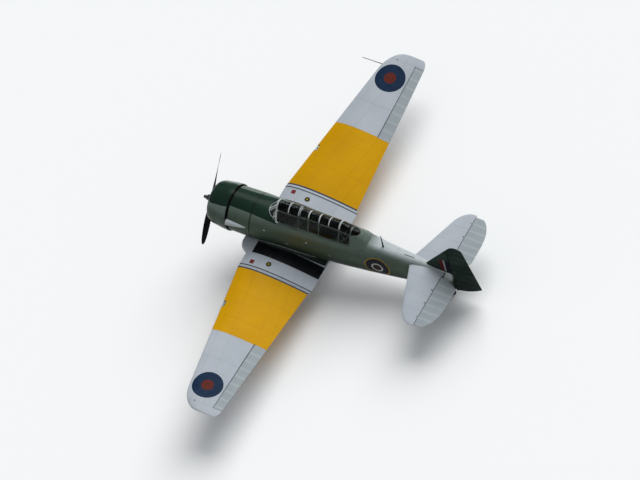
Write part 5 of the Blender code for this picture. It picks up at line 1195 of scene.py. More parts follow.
def makeElevator(side, hand):
    inner, outer = tail["elevator"]
    rings = []
    for span in spread(inner, outer, 46):
        nose = min(stabHalf(span), tail["nose"])
        back = elevatorBack(span)
        if span < 0.45:
            # the inner end is cut back so that the rudder can swing
            share = (span - inner) / (0.45 - inner)
            back = tail["axis"] + 0.20 + (tail["back"] - tail["axis"] - 0.20) * share
        sag = 0.0030 * abs(math.sin(math.pi * (span - inner) / 0.235)) ** 0.7
        ring = [at(tail["axis"] + nose * math.cos(a), hand * span, tail["height"] + nose * math.sin(a))
                for a in spread(math.pi / 2, math.pi * 3 / 2, 11)]
        stations = [tail["axis"] + (back - tail["axis"]) * s
                    for s in (0.06, 0.15, 0.30, 0.45, 0.60, 0.75, 0.88, 0.96, 1.0)]
        for way in (-1, 1):
            skinLine = []
            for s in stations:
                share = (s - tail["axis"]) / (back - tail["axis"])
                soft = sag * math.sin(math.pi * share) ** 0.5 if share < 0.97 else 0
                rise = max(nose + (0.004 - nose) * share - soft, 0.003)
                skinLine.append(at(s, hand * span, tail["height"] + way * rise))
            ring += skinLine if way < 0 else reversed(skinLine)
        rings.append(ring)
    finished(skin(rings), f"elevator_{side}_cloth", "elevators", "fabricSilverTail",
             f"elevator_{side}", 32)


def makeTorqueTube():
    ends = [at(tail["axis"], hand * 0.33, tail["height"]) for hand in (1, -1)]
    pieces = [rod(*ends, 0.02, steps=28)]
    for hand in (1, -1):
        pieces.append(rod(at(tail["axis"], hand * 0.20, tail["height"]),
                          at(tail["axis"], hand * 0.255, tail["height"]), 0.027, steps=24, edge=0.002))
    outline = [at(tail["axis"] + x, -0.006, tail["height"] + h)
               for x, h in ((0, 0.020), (0.0, -0.020), (-0.02, -0.10), (-0.045, -0.10))]
    pieces.append(plate(outline, (0, 0.012, 0), 0.002))
    finished(pieces, "elevator_tube", "elevators", "steel", "elevator_torque_tube")


def finFront(height):
    (x0, z0), (x1, z1) = tail["finFront"], tail["finTop"]
    return x0 + (height - z0) * (x1 - x0) / (z1 - z0)


def finHalf(height):
    low, high = tail["finThickness"]
    return (low + (high - low) * (height - 0.4) / (tail["finTop"][1] - 0.4)) / 2


def makeFin():
    rings = []
    for height in spread(0.42, tail["finCut"], 14):
        front, half = finFront(height), finHalf(height)
        nose = min(half, tail["rudderNose"])
        wall = tail["rudderAxis"] - nose - wingShape["clear"]
        skinLine = [(front + (wall - front) * s, symmetric(half, nose, s)) for s in skinShares]
        rings.append([at(s, w, height) for s, w in skinLine] + [at(front, 0, height)]
                     + [at(s, -w, height) for s, w in reversed(skinLine)])
    pieces = [skin(rings)]
    for height in (0.85, 1.36):
        outline = [at(tail["rudderAxis"] - x, w, height - 0.007)
                   for x, w in ((0, 0.015), (0, -0.015), (0.09, -0.02), (0.09, 0.02))]
        pieces.append(plate(outline, (0, 0, 0.014), 0.002))
    finished(pieces, "fin_skin", "airframe", "fin", "fin", 30)


def rudderBack(height):
    low, high, axis = tail["backLow"], tail["backHigh"], tail["rudderAxis"]
    if height < low[1]:
        share = max((height - tail["rudderLow"]) / (low[1] - tail["rudderLow"]), 0.0)
        return axis + 0.04 + (low[0] - axis - 0.04) * share ** 0.62
    if height > high[1]:
        share = (height - high[1]) / (tail["finTop"][1] - high[1])
        return high[0] - 0.16 * (1 - math.sqrt(max(0.0, 1 - share ** 2)))
    return low[0] + (high[0] - low[0]) * (height - low[1]) / (high[1] - low[1])


def makeRudder():
    axis, top = tail["rudderAxis"], 1.47
    rings = []
    heights = [tail["rudderLow"] + 0.39 * (k / 12) ** 1.6 for k in range(13)] + spread(0.08, top, 40)[1:]
    for height in heights:
        nose = min(finHalf(max(height, 0.4)), tail["rudderNose"])
        back = rudderBack(height)
        sag = 0.0030 * abs(math.sin(math.pi * (height - 0.08) / 0.26)) ** 0.7
        ring = [at(axis + nose * math.cos(a), nose * math.sin(a), height)
                for a in spread(math.pi / 2, math.pi * 3 / 2, 13)]
        shares = (0.06, 0.15, 0.30, 0.45, 0.60, 0.75, 0.88, 0.96, 1.0)
        for way in (-1, 1):
            skinLine = []
            for share in shares:
                soft = sag * math.sin(math.pi * share) ** 0.5 if share < 0.97 else 0
                wide = max(nose + (0.004 - nose) * share - soft, 0.003)
                skinLine.append(at(axis + (back - axis) * share, way * wide, height))
            ring += skinLine if way < 0 else reversed(skinLine)
        rings.append(ring)
    pieces = [skin(rings)]
    horn = []
    for height in spread(top, 1.74, 5) + [1.76, 1.78, 1.797, 1.81, 1.82, 1.827, 1.83]:
        front = max(finFront(height), axis - 0.16) + 0.1 * max(0.0, (height - 1.70) / 0.13) ** 2
        back = rudderBack(height)
        half = finHalf(height) * (1 - 0.7 * max(0.0, (height - 1.74) / 0.09) ** 2)
        skinLine = []
        for share in (1.0, 0.8, 0.6, 0.45, 0.34, 0.26, 0.19, 0.13, 0.08, 0.045, 0.02, 0.006):
            rise = math.sqrt(max(0.0, 1 - (1 - min(share / 0.25, 1.0)) ** 2))
            skinLine.append((front + (back - front) * share,
                             max(half * rise * (1 - max(0.0, share - 0.25) / 0.75 * 0.92), 0.003)))
        horn.append([at(s, w, height) for s, w in skinLine] + [at(front, 0, height)]
                    + [at(s, -w, height) for s, w in reversed(skinLine)])
    pieces.append(skin(horn))
    finished(pieces, "rudder_cloth", "rudder", "fabricGreen", "rudder", 32)


# the elevators' rib tapes start at their inner end
finishes["fabricSilverTail"] = fabricFinish("doped_fabric_silver_tail", "#8F989C", "#9BA4A8", "span",
                                            0.235, 0.255)
makeStabilizer()
for side, hand in sides:
    makeElevator(side, hand)
makeTorqueTube()
makeFin()
makeRudder()
print("tail made")


# canopy

canopy = {
    "profile": ((0.366, 0.5853), (0.312, 0.710), (0.255, 0.840), (0.196, 0.970), (0.140, 1.060),
                (0.075, 1.112), (0.0, 1.130)),
    "glass": 0.005, "frame": 0.007, "bar": 0.034, "sill": 0.5853,
    "step": 0.019,  # each sliding part nests inside the next
    "windscreen": (2.26, 2.63), "front": (2.64, 3.335), "middle": (3.345, 3.965), "rear": (3.975, 4.61),
    "tail": (4.62, 5.41),
    "tailRows": ((4.62, 1.0, 1.0), (4.95, 0.80, 0.97), (5.20, 0.60, 0.93), (5.32, 0.47, 0.88),
                 (5.38, 0.34, 0.80), (5.41, 0.16, 0.60)),
}
halfArch = canopy["profile"]
archRows = [(k, y, z) for k, (y, z) in enumerate(halfArch + tuple((-y, z) for y, z in halfArch[-2::-1]))]


def archPoints(grow, tall=1.0, wide=1.0, count=57):
    # (y, z) and the outward way at points over the arch, from the port sill to the starboard sill
    found = []
    base = canopy["sill"]
    for t in spread(0, 12, count):
        y, z = along(archRows, t)
        a, b = along(archRows, max(t - 0.05, 0)), along(archRows, min(t + 0.05, 12))
        way = Vector((0, -(a[1] - b[1]) * tall, (a[0] - b[0]) * wide)).normalized()
        if t in (0, 12):
            way = Vector((0, math.copysign(1, y), 0))
        found.append((Vector((0, y * wide, base + (z - base) * tall)) + way * grow, way))
    return found


def arch(station, grow, tall=1.0, wide=1.0, count=57):
    return [at(station, p.y, p.z) for p, _ in archPoints(grow, tall, wide, count)]


def outwardSheet(rings, thickness):
    # an open sheet whose thickness goes inwards, towards the cockpit
    obj = skin(rings, closed=False, ends=False)
    centre = sum((v.co for v in obj.data.vertices), Vector()) / len(obj.data.vertices)
    centre.z -= 0.4
    if sum(face.normal.dot(face.center - centre) * face.area for face in obj.data.polygons) < 0:
        obj.data.flip_normals()
    return modify(obj, "SOLIDIFY", thickness=thickness, offset=-1)


def strip(points, ways, width, thick, acrossWay=None):
    # a moulded strip with softened edges along points; ways are its outward directions
    rings = []
    for k, (point, way) in enumerate(zip(points, ways)):
        ahead = (points[min(k + 1, len(points) - 1)] - points[max(k - 1, 0)]).normalized()
        side = acrossWay or ahead.cross(way).normalized()
        half = width / 2
        rings.append([
            point - side * half, point - side * half + way * thick * 0.7,
            point - side * (half - thick * 0.4) + way * thick,
            point + side * (half - thick * 0.4) + way * thick, point + side * half + way * thick * 0.7,
            point + side * half,
        ])
    return skin(rings)


def archBar(station, grow, width, tall=1.0, wide=1.0, above=0.0):
    found = [pair for pair in archPoints(grow, tall, wide) if pair[0].z > above]
    return strip([at(station, p.y, p.z) for p, _ in found], [way for _, way in found], width, canopy["frame"],
                 Vector((1, 0, 0)))


def rail(start, end, grow, z, width, scales=None):
    # two bars along the canopy, one each side, at a height on the arch
    pieces = []
    for hand in (1, -1):
        points, ways = [], []
        for station in spread(start, end, 2 if scales is None else 12):
            tall, wide = scales(station) if scales else (1.0, 1.0)
            aim = canopy["sill"] + (z - canopy["sill"]) * tall
            found = [pair for pair in archPoints(grow, tall, wide, 241) if pair[0].y * hand > 0]
            p, way = min(found, key=lambda pair: abs(pair[0].z - aim))
            points.append(at(station, p.y, p.z))
            ways.append(way)
        pieces.append(strip(points, ways, width, canopy["frame"]))
    return pieces


def handle(station, hand, grow):
    # grab handle on the lower rail of a sliding part
    p, way = min((pair for pair in archPoints(grow, count=241) if pair[0].y * hand > 0),
                 key=lambda pair: abs(pair[0].z - 0.64))
    p = at(station, p.y, p.z)
    return pipe([p + Vector((-0.05, 0, 0)), p + Vector((-0.045, 0, 0)) + way * 0.022,
                 p + Vector((0.045, 0, 0)) + way * 0.022,
                 p + Vector((0.05, 0, 0))], 0.004, resolution=2)


def makeCanopyPart(name, body, start, end, bars, grow, uppers):
    glass = outwardSheet([arch(station, grow) for station in spread(start, end, 5)], canopy["glass"])
    finished(glass, f"{name}_acrylic", body, "glass", f"{name}_glass", 40)
    proud = grow + hair
    pieces = []
    for k, station in enumerate(bars):
        width = canopy["bar"] if 0 < k < len(bars) - 1 else canopy["bar"] / 2
        shift = 0.25 * canopy["bar"] * (1 if k == 0 else -1 if k == len(bars) - 1 else 0)
        pieces.append(archBar(station + shift, proud, width))
    for station in uppers:
        pieces.append(archBar(station, proud, canopy["bar"] * 0.8, above=0.955))
    pieces += rail(start, end, proud, 0.602, 0.034)
    pieces += rail(start, end, proud, 0.970, 0.028)
    if "front" in name:
        # the rear part has none, because it slides in under the front part
        pieces += [handle(start + 0.12, hand, proud + 0.006) for hand in (1, -1)]
    finished(pieces, f"{name}_bars", body, "frame", f"{name}_frame", 40)


def tailScales(station):
    # how tall and how wide the arch still is there
    return along(canopy["tailRows"], station)


def makeTailCanopy():
    grow = -canopy["step"]
    stations = spread(4.62, 5.32, 12) + [5.35, 5.375, 5.395, 5.41]
    glass = outwardSheet([arch(s, grow, *tailScales(s)) for s in stations], canopy["glass"])
    cut(glass, fuselageHull(5.10, 5.86, hair, 10))
    finished(glass, "canopy_tail_acrylic", "airframe", "glass", "canopy_tail_glass", 40)
    proud = grow + hair
    pieces = [archBar(4.6285, proud, 0.017), archBar(4.95, proud, canopy["bar"], *tailScales(4.95))]
    # the rear of the shell is sheet metal, painted as the fuselage
    hoodStations = [4.97, 5.06, 5.15, 5.20] + [s for s in stations if s > 5.20]
    hood = skin([arch(s, proud + 0.007, *tailScales(s)) for s in hoodStations], closed=False, ends=False)
    if sum(face.normal.z * face.area for face in hood.data.polygons) < 0:
        hood.data.flip_normals()
    modify(hood, "SOLIDIFY", thickness=0.006, offset=-1)
    # glass shows over its front half
    cut(hood, block(at(5.20, -0.6, 0.90), at(4.90, 0.6, 1.5)), fuselageHull(5.10, 5.86, hair, 10))
    finished(hood, "canopy_tail_hood", "airframe", "fuselage")
    pieces += rail(4.62, 4.96, proud, 0.602, 0.034, tailScales)
    pieces += rail(4.62, 5.19, proud, 0.970, 0.028, tailScales)
    for hand in (1, -1):
        for (s0, z0), (s1, z1) in (((4.64, 0.62), (4.94, 0.95)), ((4.94, 0.62), (4.64, 0.93))):
            points, ways = [], []
            for t in spread(0, 1, 9):
                station, z = s0 + (s1 - s0) * t, z0 + (z1 - z0) * t
                tall, wide = tailScales(station)
                aim = canopy["sill"] + (z - canopy["sill"]) * tall
                found = [pair for pair in archPoints(proud, tall, wide, 241) if pair[0].y * hand > 0]
                p, way = min(found, key=lambda pair: abs(pair[0].z - aim))
                points.append(at(station, p.y, p.z))
                ways.append(way)
            pieces.append(strip(points, ways, 0.016, 0.006))
    finished(pieces, "canopy_tail_bars", "airframe", "frame", "canopy_tail_frame", 40)


def windscreenLine(grow, count=57):
    # the foot on the deck and the rear arch, point by point from port to starboard
    start, back = canopy["windscreen"]
    rear = arch(back, grow, count=count)
    foot = []
    for k in range(count):
        t = k / (count - 1) * 2 - 1
        station = start - grow + (back - 0.02 - start) * min(abs(t) / 0.92, 1.0) ** 2.2
        y = -math.copysign((0.366 + grow) * min(abs(t) ** 0.9, 1.0), t)
        foot.append(at(station, y, fuselageTop(station, y) - 0.02))
    return foot, rear


def makeWindscreen():
    foot, rear = windscreenLine(0.0)
    glass = outwardSheet([[a.lerp(b, t) for a, b in zip(foot, rear)] for t in spread(0, 1, 7)],
                         canopy["glass"])
    cut(glass, fuselageHull(1.83, 2.55, hair, 10))
    finished(glass, "windscreen_pane", "airframe", "screen", "windscreen_glass", 40)
    foot, rear = windscreenLine(0.0005)
    pieces = [archBar(2.6215, hair, 0.019)]
    lift = [a.lerp(b, 0.045) for a, b in zip(foot, rear)]
    ways = []
    for k, point in enumerate(lift):
        near, far = lift[max(k - 1, 0)], lift[min(k + 1, len(lift) - 1)]
        way = (far - near).cross(rear[k] - foot[k])
        outward = Vector((1, 0, 0.5)) + Vector((0, point.y, 0)) * 2
        ways.append((way if way.dot(outward) > 0 else -way).normalized())
    pieces.append(strip(lift, ways, 0.040, 0.007))
    # posts from the deck to the arch, as (place along it, width, thickness)
    posts = ((19, 0.024, 0.008), (23, 0.036, 0.008), (33, 0.036, 0.008), (37, 0.024, 0.008), (8, 0.028, 0.007),
             (48, 0.028, 0.007))
    for k, width, thick in posts:
        points = [foot[k].lerp(rear[k], t) for t in spread(0.02, 0.985, 8)]
        pieces.append(strip(points, [ways[k]] * len(points), width, thick))
    bars = gather([cut(piece, fuselageHull(1.83, 2.55, hair, 10)) for piece in pieces])
    finished(bars, "windscreen_bars", "airframe", "frame", "windscreen_frame", 40)


makeCanopyPart("canopy_middle", "airframe", *canopy["middle"], (3.345, 3.63, 3.965), -2 * canopy["step"], ())
makeCanopyPart("canopy_rear", "canopy_rear", *canopy["rear"], (3.975, 4.61), -canopy["step"], (4.28,))
makeCanopyPart("canopy_front", "canopy_front", *canopy["front"], (2.64, 3.335), 0.0, (3.01,))
makeTailCanopy()
makeWindscreen()
print("canopy made")


# nose

engine = {
    "station": 0.80, "cylinders": 9, "finBase": 0.064, "finRadius": 0.084, "finPitch": 0.0115,
    "barrelTop": 0.475, "headTop": 0.606,
    "case": (
        (0.405, 0.058), (0.415, 0.072), (0.43, 0.084), (0.45, 0.094), (0.48, 0.106), (0.50, 0.115),
        (0.535, 0.142), (0.56, 0.168), (0.575, 0.184), (0.60, 0.208), (0.618, 0.224), (0.622, 0.242),
        (0.640, 0.254), (0.648, 0.254), (0.652, 0.240), (0.68, 0.238), (0.94, 0.238), (0.945, 0.252),
        (0.96, 0.252), (0.97, 0.236), (1.00, 0.228), (1.10, 0.220), (1.29, 0.216), (1.30, 0.205),
    ),
}


def finned(low, high, pitch, base, outer):
    # profile of a barrel with cooling fins; outer gives the fin's radius at a height
    points = []
    for k in range(int((high - low) / pitch)):
        z = low + k * pitch
        points += [(z, base), (z + pitch * 0.52, base), (z + pitch * 0.60, outer(z)),
                   (z + pitch * 0.92, outer(z))]
    return points + [(high, base)]


def aroundEngine(k, count=engine["cylinders"], shift=0.0):
    # cylinder 0 stands up and the next ones follow towards port
    return Matrix.Rotation(-2 * math.pi * (k + shift) / count, 4, "X")


def repeatAround(piece, count=engine["cylinders"], shift=0.0):
    # copies of a piece all round the thrust line
    copies = [copyMoved(piece, aroundEngine(k, count, shift)) for k in range(count)]
    bpy.data.objects.remove(piece)
    return gather(copies)


def bolt(spot, way, radius, height):
    spot, way = Vector(spot), Vector(way)
    return rod(spot - way * 0.002, spot + way * height, radius, radius, 6, radius * 0.15)


def makeEngine():
    station = engine["station"]
    up = (0, 0, 1)
    case = [turned(engine["case"], (0, 0, 0), (-1, 0, 0), 72)]
    for count, s, r, size in ((18, 0.651, 0.247, 0.006), (12, 0.452, 0.096, 0.005), (16, 0.598, 0.210, 0.005)):
        case.append(repeatAround(bolt(at(s, 0, r), (1, 0, 0), size, 0.012), count, 0.5))
    # governor on top of the nose case, and the oil sump between the two lowest cylinders
    case.append(rod(at(0.545, 0.0, 0.12), at(0.545, 0, 0.205), 0.030, 0.026, 28, 0.004))
    case.append(rod(at(0.545, 0.0, 0.205), at(0.545, 0, 0.222), 0.018, 0.014, 20, 0.003))
    case.append(block(at(0.70, -0.045, -0.40), at(0.605, 0.045, -0.225), 0.014, 3))
    case.append(pipe([at(0.65, 0, -0.40), at(0.65, 0, -0.43), at(0.72, 0.0, -0.45)], 0.010, resolution=2))
    foot = rod(at(station, 0, 0.235), at(station, 0, 0.262), 0.094, steps=36, edge=0.003)
    case.append(repeatAround(foot))
    finished(case, "engine_case", "airframe", "engine", "radial_engine")

    barrel = turned(finned(0.262, engine["barrelTop"], engine["finPitch"], engine["finBase"],
                           lambda z: engine["finRadius"]),
                    at(station, 0, 0), up, 32)
    head = turned(finned(0.485, 0.588, 0.0115, 0.070, lambda z: 0.097 - 0.12 * max(0.0, z - 0.50)),
                  at(station, 0, 0), up, 32)
    finished(repeatAround(gather([barrel, head])), "engine_barrels", "airframe", "fins")

    tops = [rod(at(station, 0, 0.585), at(station, 0, engine["headTop"] - 0.006), 0.060, 0.045, 24, 0.008)]
    for hand in (1, -1):
        box = block((-0.042, -0.026, -0.030), (0.042, 0.026, 0.022), 0.012, 3)
        lid = block((-0.036, -0.020, 0.020), (0.036, 0.020, 0.027), 0.004, 2)
        box = gather([box, lid])
        spot = at(station - 0.01, hand * 0.047, 0.572)
        tilt = Matrix.Translation(spot) @ Matrix.Rotation(-hand * 0.42, 4, "X")
        tops.append(copyMoved(box, tilt))
        bpy.data.objects.remove(box)
        tops.append(pipe([at(station + 0.03, hand * 0.05, 0.550), at(station + 0.085, hand * 0.058, 0.535),
                          at(station + 0.115, hand * 0.060, 0.50), at(station + 0.125, hand * 0.062, 0.40)],
                         0.021, 6, 3, True))
    finished(repeatAround(gather(tops)), "engine_rocker_boxes", "airframe", "engine")

    tubes = []
    for hand in (1, -1):
        tubes.append(rod(at(0.667, hand * 0.030, 0.235), at(0.752, hand * 0.050, 0.558), 0.0085, steps=14))
        tubes.append(rod(at(0.667, hand * 0.030, 0.235), at(0.672, hand * 0.031, 0.255), 0.013, 0.010, 14))
        tubes.append(rod(at(0.747, hand * 0.049, 0.540), at(0.752, hand * 0.050, 0.560), 0.0125, steps=14))
    tubes.append(rod(at(0.690, 0, 0.545), at(0.725, 0, 0.540), 0.009, steps=14))
    tubes.append(rod(at(0.700, 0, 0.5435), at(0.712, 0, 0.542), 0.0135, steps=6, edge=0.001))
    tubes = [repeatAround(gather(tubes))]
    arm = 1.15
    for y in (1, -1):
        for z in (1, -1):
            tubes.append(rod(at(arm, y * 0.15, z * 0.15), at(arm, y * 0.4357, z * 0.4357), 0.02, steps=20))
    for k in (0, 3, 6):
        stay = rod(at(station, 0, 0.598), at(station, 0, 0.6378), 0.02, steps=20)
        tubes.append(copyMoved(stay, aroundEngine(k)))
        bpy.data.objects.remove(stay)
    finished(tubes, "engine_pushrod_tubes", "airframe", "steel")

    # the ignition harness: a ring round the nose case and a screened lead to each cylinder
    ring = turned(wireProfile(0.262, 0.012, 12, 0.598), (0, 0, 0), (-1, 0, 0), 72, loop=True)
    lead = pipe([at(0.598, 0.012, 0.268), at(0.604, 0.016, 0.36), at(0.645, 0.006, 0.47), at(0.672, 0, 0.53),
                 at(0.692, 0, 0.545)], 0.0055, 7, 2, True)
    finished([ring, repeatAround(lead)], "ignition_harness", "airframe", "brass")
    # pressed baffle that closes the gaps between the cylinders
    baffle = turned([(0.905, 0.25), (0.905, 0.55), (0.890, 0.612), (0.887, 0.612), (0.902, 0.548),
                     (0.902, 0.25)],
                    (0, 0, 0), (-1, 0, 0), 90, loop=True)
    finished(baffle, "engine_baffle", "airframe", "black")


propeller = {
    "station": 0.26, "angle": math.radians(137), "radius": 1.37,
    "rows": (
        # radius: chord, thickness, pitch in degrees
        (0.095, 0.090, 0.090, 58), (0.20, 0.092, 0.086, 55), (0.32, 0.125, 0.062, 48),
        (0.48, 0.175, 0.042, 40), (0.70, 0.215, 0.030, 31), (0.95, 0.218, 0.022, 25), (1.15, 0.195, 0.016, 21),
        (1.28, 0.150, 0.012, 19), (1.34, 0.100, 0.009, 18), (1.37, 0.03, 0.006, 18),
    ),
}


def bladeWay(k):
    angle = propeller["angle"] + math.pi * k
    return Vector((0, math.sin(angle), math.cos(angle)))


def makeBlade(k):
    outward = bladeWay(k)
    forward = Vector((1, 0, 0))
    across = forward.cross(outward)
    rings = []
    for share in spread(0, 1, 44):
        radius = 0.0955 + (propeller["radius"] - 0.0965) * (1 - (1 - share) ** 1.5)
        chord, thickness, pitch = along(propeller["rows"], radius)
        turn = math.radians(pitch)
        chordWay = across * math.cos(turn) + forward * math.sin(turn)
        thickWay = forward * math.cos(turn) - across * math.sin(turn)
        flat = min(max((radius - 0.22) / 0.20, 0.0), 1.0)
        ring = []
        for j in range(36):
            angle = 2 * math.pi * j / 36
            rise = math.sin(angle) * (1 - flat * 0.28 * (1 - math.cos(angle)))
            rise *= 1 - flat * 0.6 * (math.sin(angle) < 0)
            ring.append(at(propeller["station"], 0, 0) + outward * radius
                        + chordWay * (chord / 2 * math.cos(angle))
                        + thickWay * (thickness / 2 * rise))
        rings.append(ring)
    name = f"propeller_blade_{k + 1}"
    finished(skin(rings), f"{name}_airfoil", "propeller", "blade", name, 50)


def makeHub():
    profile = [
        (0.0005, 0.011), (0.003, 0.021), (0.008, 0.031), (0.015, 0.039), (0.025, 0.0455), (0.036, 0.050),
        (0.045, 0.0518), (0.090, 0.0518), (0.094, 0.0500), (0.098, 0.0518), (0.114, 0.0518), (0.116, 0.066),
        (0.119, 0.0745), (0.123, 0.0765), (0.158, 0.0775), (0.166, 0.0785), (0.172, 0.089), (0.178, 0.0915),
        (0.338, 0.0915), (0.346, 0.089), (0.352, 0.066), (0.356, 0.0600), (0.380, 0.0555), (0.4045, 0.050),
    ]
    pieces = [turned(profile, (0, 0, 0), (-1, 0, 0), 64)]
    middle = at(propeller["station"], 0, 0)
    for k in (0, 1):
        way = bladeWay(k)
        side = way.cross(Vector((1, 0, 0)))
        pieces.append(rod(middle + way * 0.02, middle + way * 0.150, 0.0655, steps=48, edge=0.003))
        pieces.append(rod(middle + way * 0.148, middle + way * 0.164, 0.0675, 0.0655, steps=48, edge=0.003))
        for hand in (1, -1):
            # clamp bolts across the split barrel
            for reach in (0.108, 0.140):
                spot = middle + way * reach + side * hand * 0.060
                pieces.append(rod(spot - Vector((0.018, 0, 0)), spot + Vector((0.018, 0, 0)), 0.0065,
                                  steps=12, edge=0.001))
        # counterweight on its bracket, ahead of the barrel
        arm = middle + way * 0.085 + side * 0.045
        pieces.append(rod(arm, arm + Vector((0.085, 0, 0)) + side * 0.012, 0.013, 0.016, 20, 0.002))
        weight = arm + Vector((0.085, 0, 0)) + side * 0.012
        pieces.append(rod(weight - way * 0.030, weight + way * 0.030, 0.019, steps=24, edge=0.004))
    for k in range(8):
        angle = 2 * math.pi * k / 8
        spot = at(0.1725, 0.0835 * math.sin(angle), 0.0835 * math.cos(angle))
        pieces.append(rod(spot, spot + Vector((0.008, 0, 0)), 0.005, steps=6, edge=0.0006))
    finished(pieces, "propeller_hub_and_dome", "propeller", "hub", "propeller_hub")


def makeScoop():
    start, end = at(1.11, 0.655, 0.205), at(1.72, 0.635, 0.205)
    way = end - start
    outer = [(0.990, 0.020), (0.97, 0.024), (0.90, 0.0305), (0.75, 0.0415), (0.60, 0.0530), (0.45, 0.0640),
             (0.30, 0.0742), (0.15, 0.0832), (0.05, 0.0888), (0.015, 0.0905), (0.004, 0.0900), (0.0, 0.0880)]
    inner = [(0.004, 0.0845), (0.02, 0.0815), (0.10, 0.0755), (0.30, 0.0560), (0.56, 0.030), (0.57, 0.010)]
    profile = [(share * way.length, radius) for share, radius in outer + inner]
    scoop = turned(profile, start, way, 56)
    cut(scoop, fuselageHull(1.0, 1.83, hair, 12))
    finished(scoop, "air_scoop_shell", "airframe", "lightGrey", "air_scoop", 40)


def bent(corners, radius, steps=8):
    # points along a tube with rounded corners
    points = [Vector(corners[0])]
    for before, corner, after in zip(corners, corners[1:], corners[2:]):
        before, corner, after = Vector(before), Vector(corner), Vector(after)
        start = corner + (before - corner).normalized() * radius
        end = corner + (after - corner).normalized() * radius
        for k in range(steps + 1):
            t = k / steps
            points.append(start * (1 - t) ** 2 + corner * 2 * t * (1 - t) + end * t ** 2)
    points.append(Vector(corners[-1]))
    return points


def makeExhaust():
    route = bent([at(1.30, -0.50, -0.27), at(1.42, -0.725, -0.32), at(2.419, -0.735, -0.29)], 0.10)
    stack = pipe(route, 0.0575, resolution=8)
    cut(stack, fuselageHull(1.0, 2.55, hair, 12))
    cut(stack, rod(at(2.05, -0.7313, -0.3011), at(2.60, -0.7368, -0.2846), 0.050, steps=40))
    finished(stack, "exhaust_pipe", "airframe", "burnt", "exhaust_stack", 40)


makeEngine()
makeHub()
makeBlade(0)
makeBlade(1)
makeScoop()
makeExhaust()
print("nose made")


# cockpit

seat = {"width": 0.46, "depth": 0.40, "pan": 0.04, "back": 0.50, "sheet": 0.015,
        "stations": (("front", 3.10), ("rear", 4.42))}
pad = {"voxel": 0.006, "pressure": 4.0, "frames": 20, "cap": 0.010, "fill": 0.55}


def makeSeat(name, station):
    back, front, half = station + seat["depth"] / 2, station - seat["depth"] / 2, seat["width"] / 2
    pan, low = seat["pan"], seat["pan"] - seat["sheet"]
    pieces = [
        block(at(back, -half, low), at(front, half, pan), 0.005),
        block(at(back + 0.002, -half - 0.001, low),
              at(back - seat["sheet"], half + 0.001, seat["back"] - 0.007), 0.005),
        rod(at(back - 0.006, -half, seat["back"] - 0.0075), at(back - 0.006, half, seat["back"] - 0.0075),
            0.0075, steps=16),
    ]
    for hand in (1, -1):
        outline = [(back + 0.004, low), (front - 0.004, low), (front - 0.004, pan + 0.08),
                   (front + 0.03, pan + 0.105),
                   (back - 0.15, pan + 0.185), (back - 0.11, pan + 0.21), (back - 0.06, 0.43),
                   (back - 0.04, 0.448), (back + 0.004, 0.44)]
        edgeY = hand * (half + 0.003)
        pieces.append(plate([at(s, edgeY, z) for s, z in outline], (0, -hand * 0.0145, 0), 0.003, 2))
        rim = [at(s, edgeY - hand * 0.007, z) for s, z in outline[2:]]
        pieces.append(pipe(rim, 0.0075, resolution=3))
        for place in (front + 0.05, back - 0.05):
            y = hand * (half - 0.05)
            pieces.append(rod(at(place, y, fuselageShape["floorTop"] + hair), at(place, y, pan - 0.005),
                              0.0135, steps=20))
            pieces.append(rod(at(place, y, fuselageShape["floorTop"] + hair), at(place, y, -0.303), 0.026,
                              0.018, 20, 0.002))
        pieces.append(rod(at(front + 0.05, hand * (half - 0.05), -0.26),
                          at(back - 0.05, hand * (half - 0.05), -0.02), 0.009, steps=14))
    finished(pieces, f"seat_{name}_bucket", "airframe", "interior", f"seat_{name}")


def puffed(obj, rest):
    # swells a remeshed pad with cloth pressure; rest(point) keeps it off what it lies on
    modify(obj, "REMESH", mode="VOXEL", voxel_size=pad["voxel"])
    start = [vertex.co.copy() for vertex in obj.data.vertices]
    scene = bpy.context.scene
    bpy.context.view_layer.objects.active = obj
    cloth = obj.modifiers.new("cloth", "CLOTH")
    cloth.settings.use_pressure = True
    cloth.settings.uniform_pressure_force = pad["pressure"]
    cloth.settings.effector_weights.gravity = 0.0
    cloth.point_cache.frame_end = pad["frames"]
    for frameNumber in range(1, pad["frames"] + 1):
        scene.frame_set(frameNumber)
    bpy.ops.object.modifier_apply(modifier=cloth.name)
    scene.frame_set(1)
    for vertex, before in zip(obj.data.vertices, start):
        move = vertex.co - before
        if move.length > pad["cap"]:
            move *= pad["cap"] / move.length
        vertex.co = rest(before + move)
    return modify(obj, "SUBSURF", levels=1, render_levels=1)


def piping(points, radius=0.004):
    loopPoints = [Vector(p) for p in points]
    return pipe(loopPoints + loopPoints[:1], radius, resolution=2)


def roundedLoop(low, high, corner, plane, steps=6):
    # a rounded rectangle between two corners; plane gives the point for two values
    (a0, b0), (a1, b1) = low, high
    found = []
    for a, b, start in ((a1, b1, 0), (a0, b1, 1), (a0, b0, 2), (a1, b0, 3)):
        for k in range(steps + 1):
            angle = math.pi / 2 * (start + k / steps)
            wayA, wayB = math.copysign(1, a - (a0 + a1) / 2), math.copysign(1, b - (b0 + b1) / 2)
            found.append(plane(a - wayA * corner + corner * math.cos(angle),
                               b - wayB * corner + corner * math.sin(angle)))
    return found


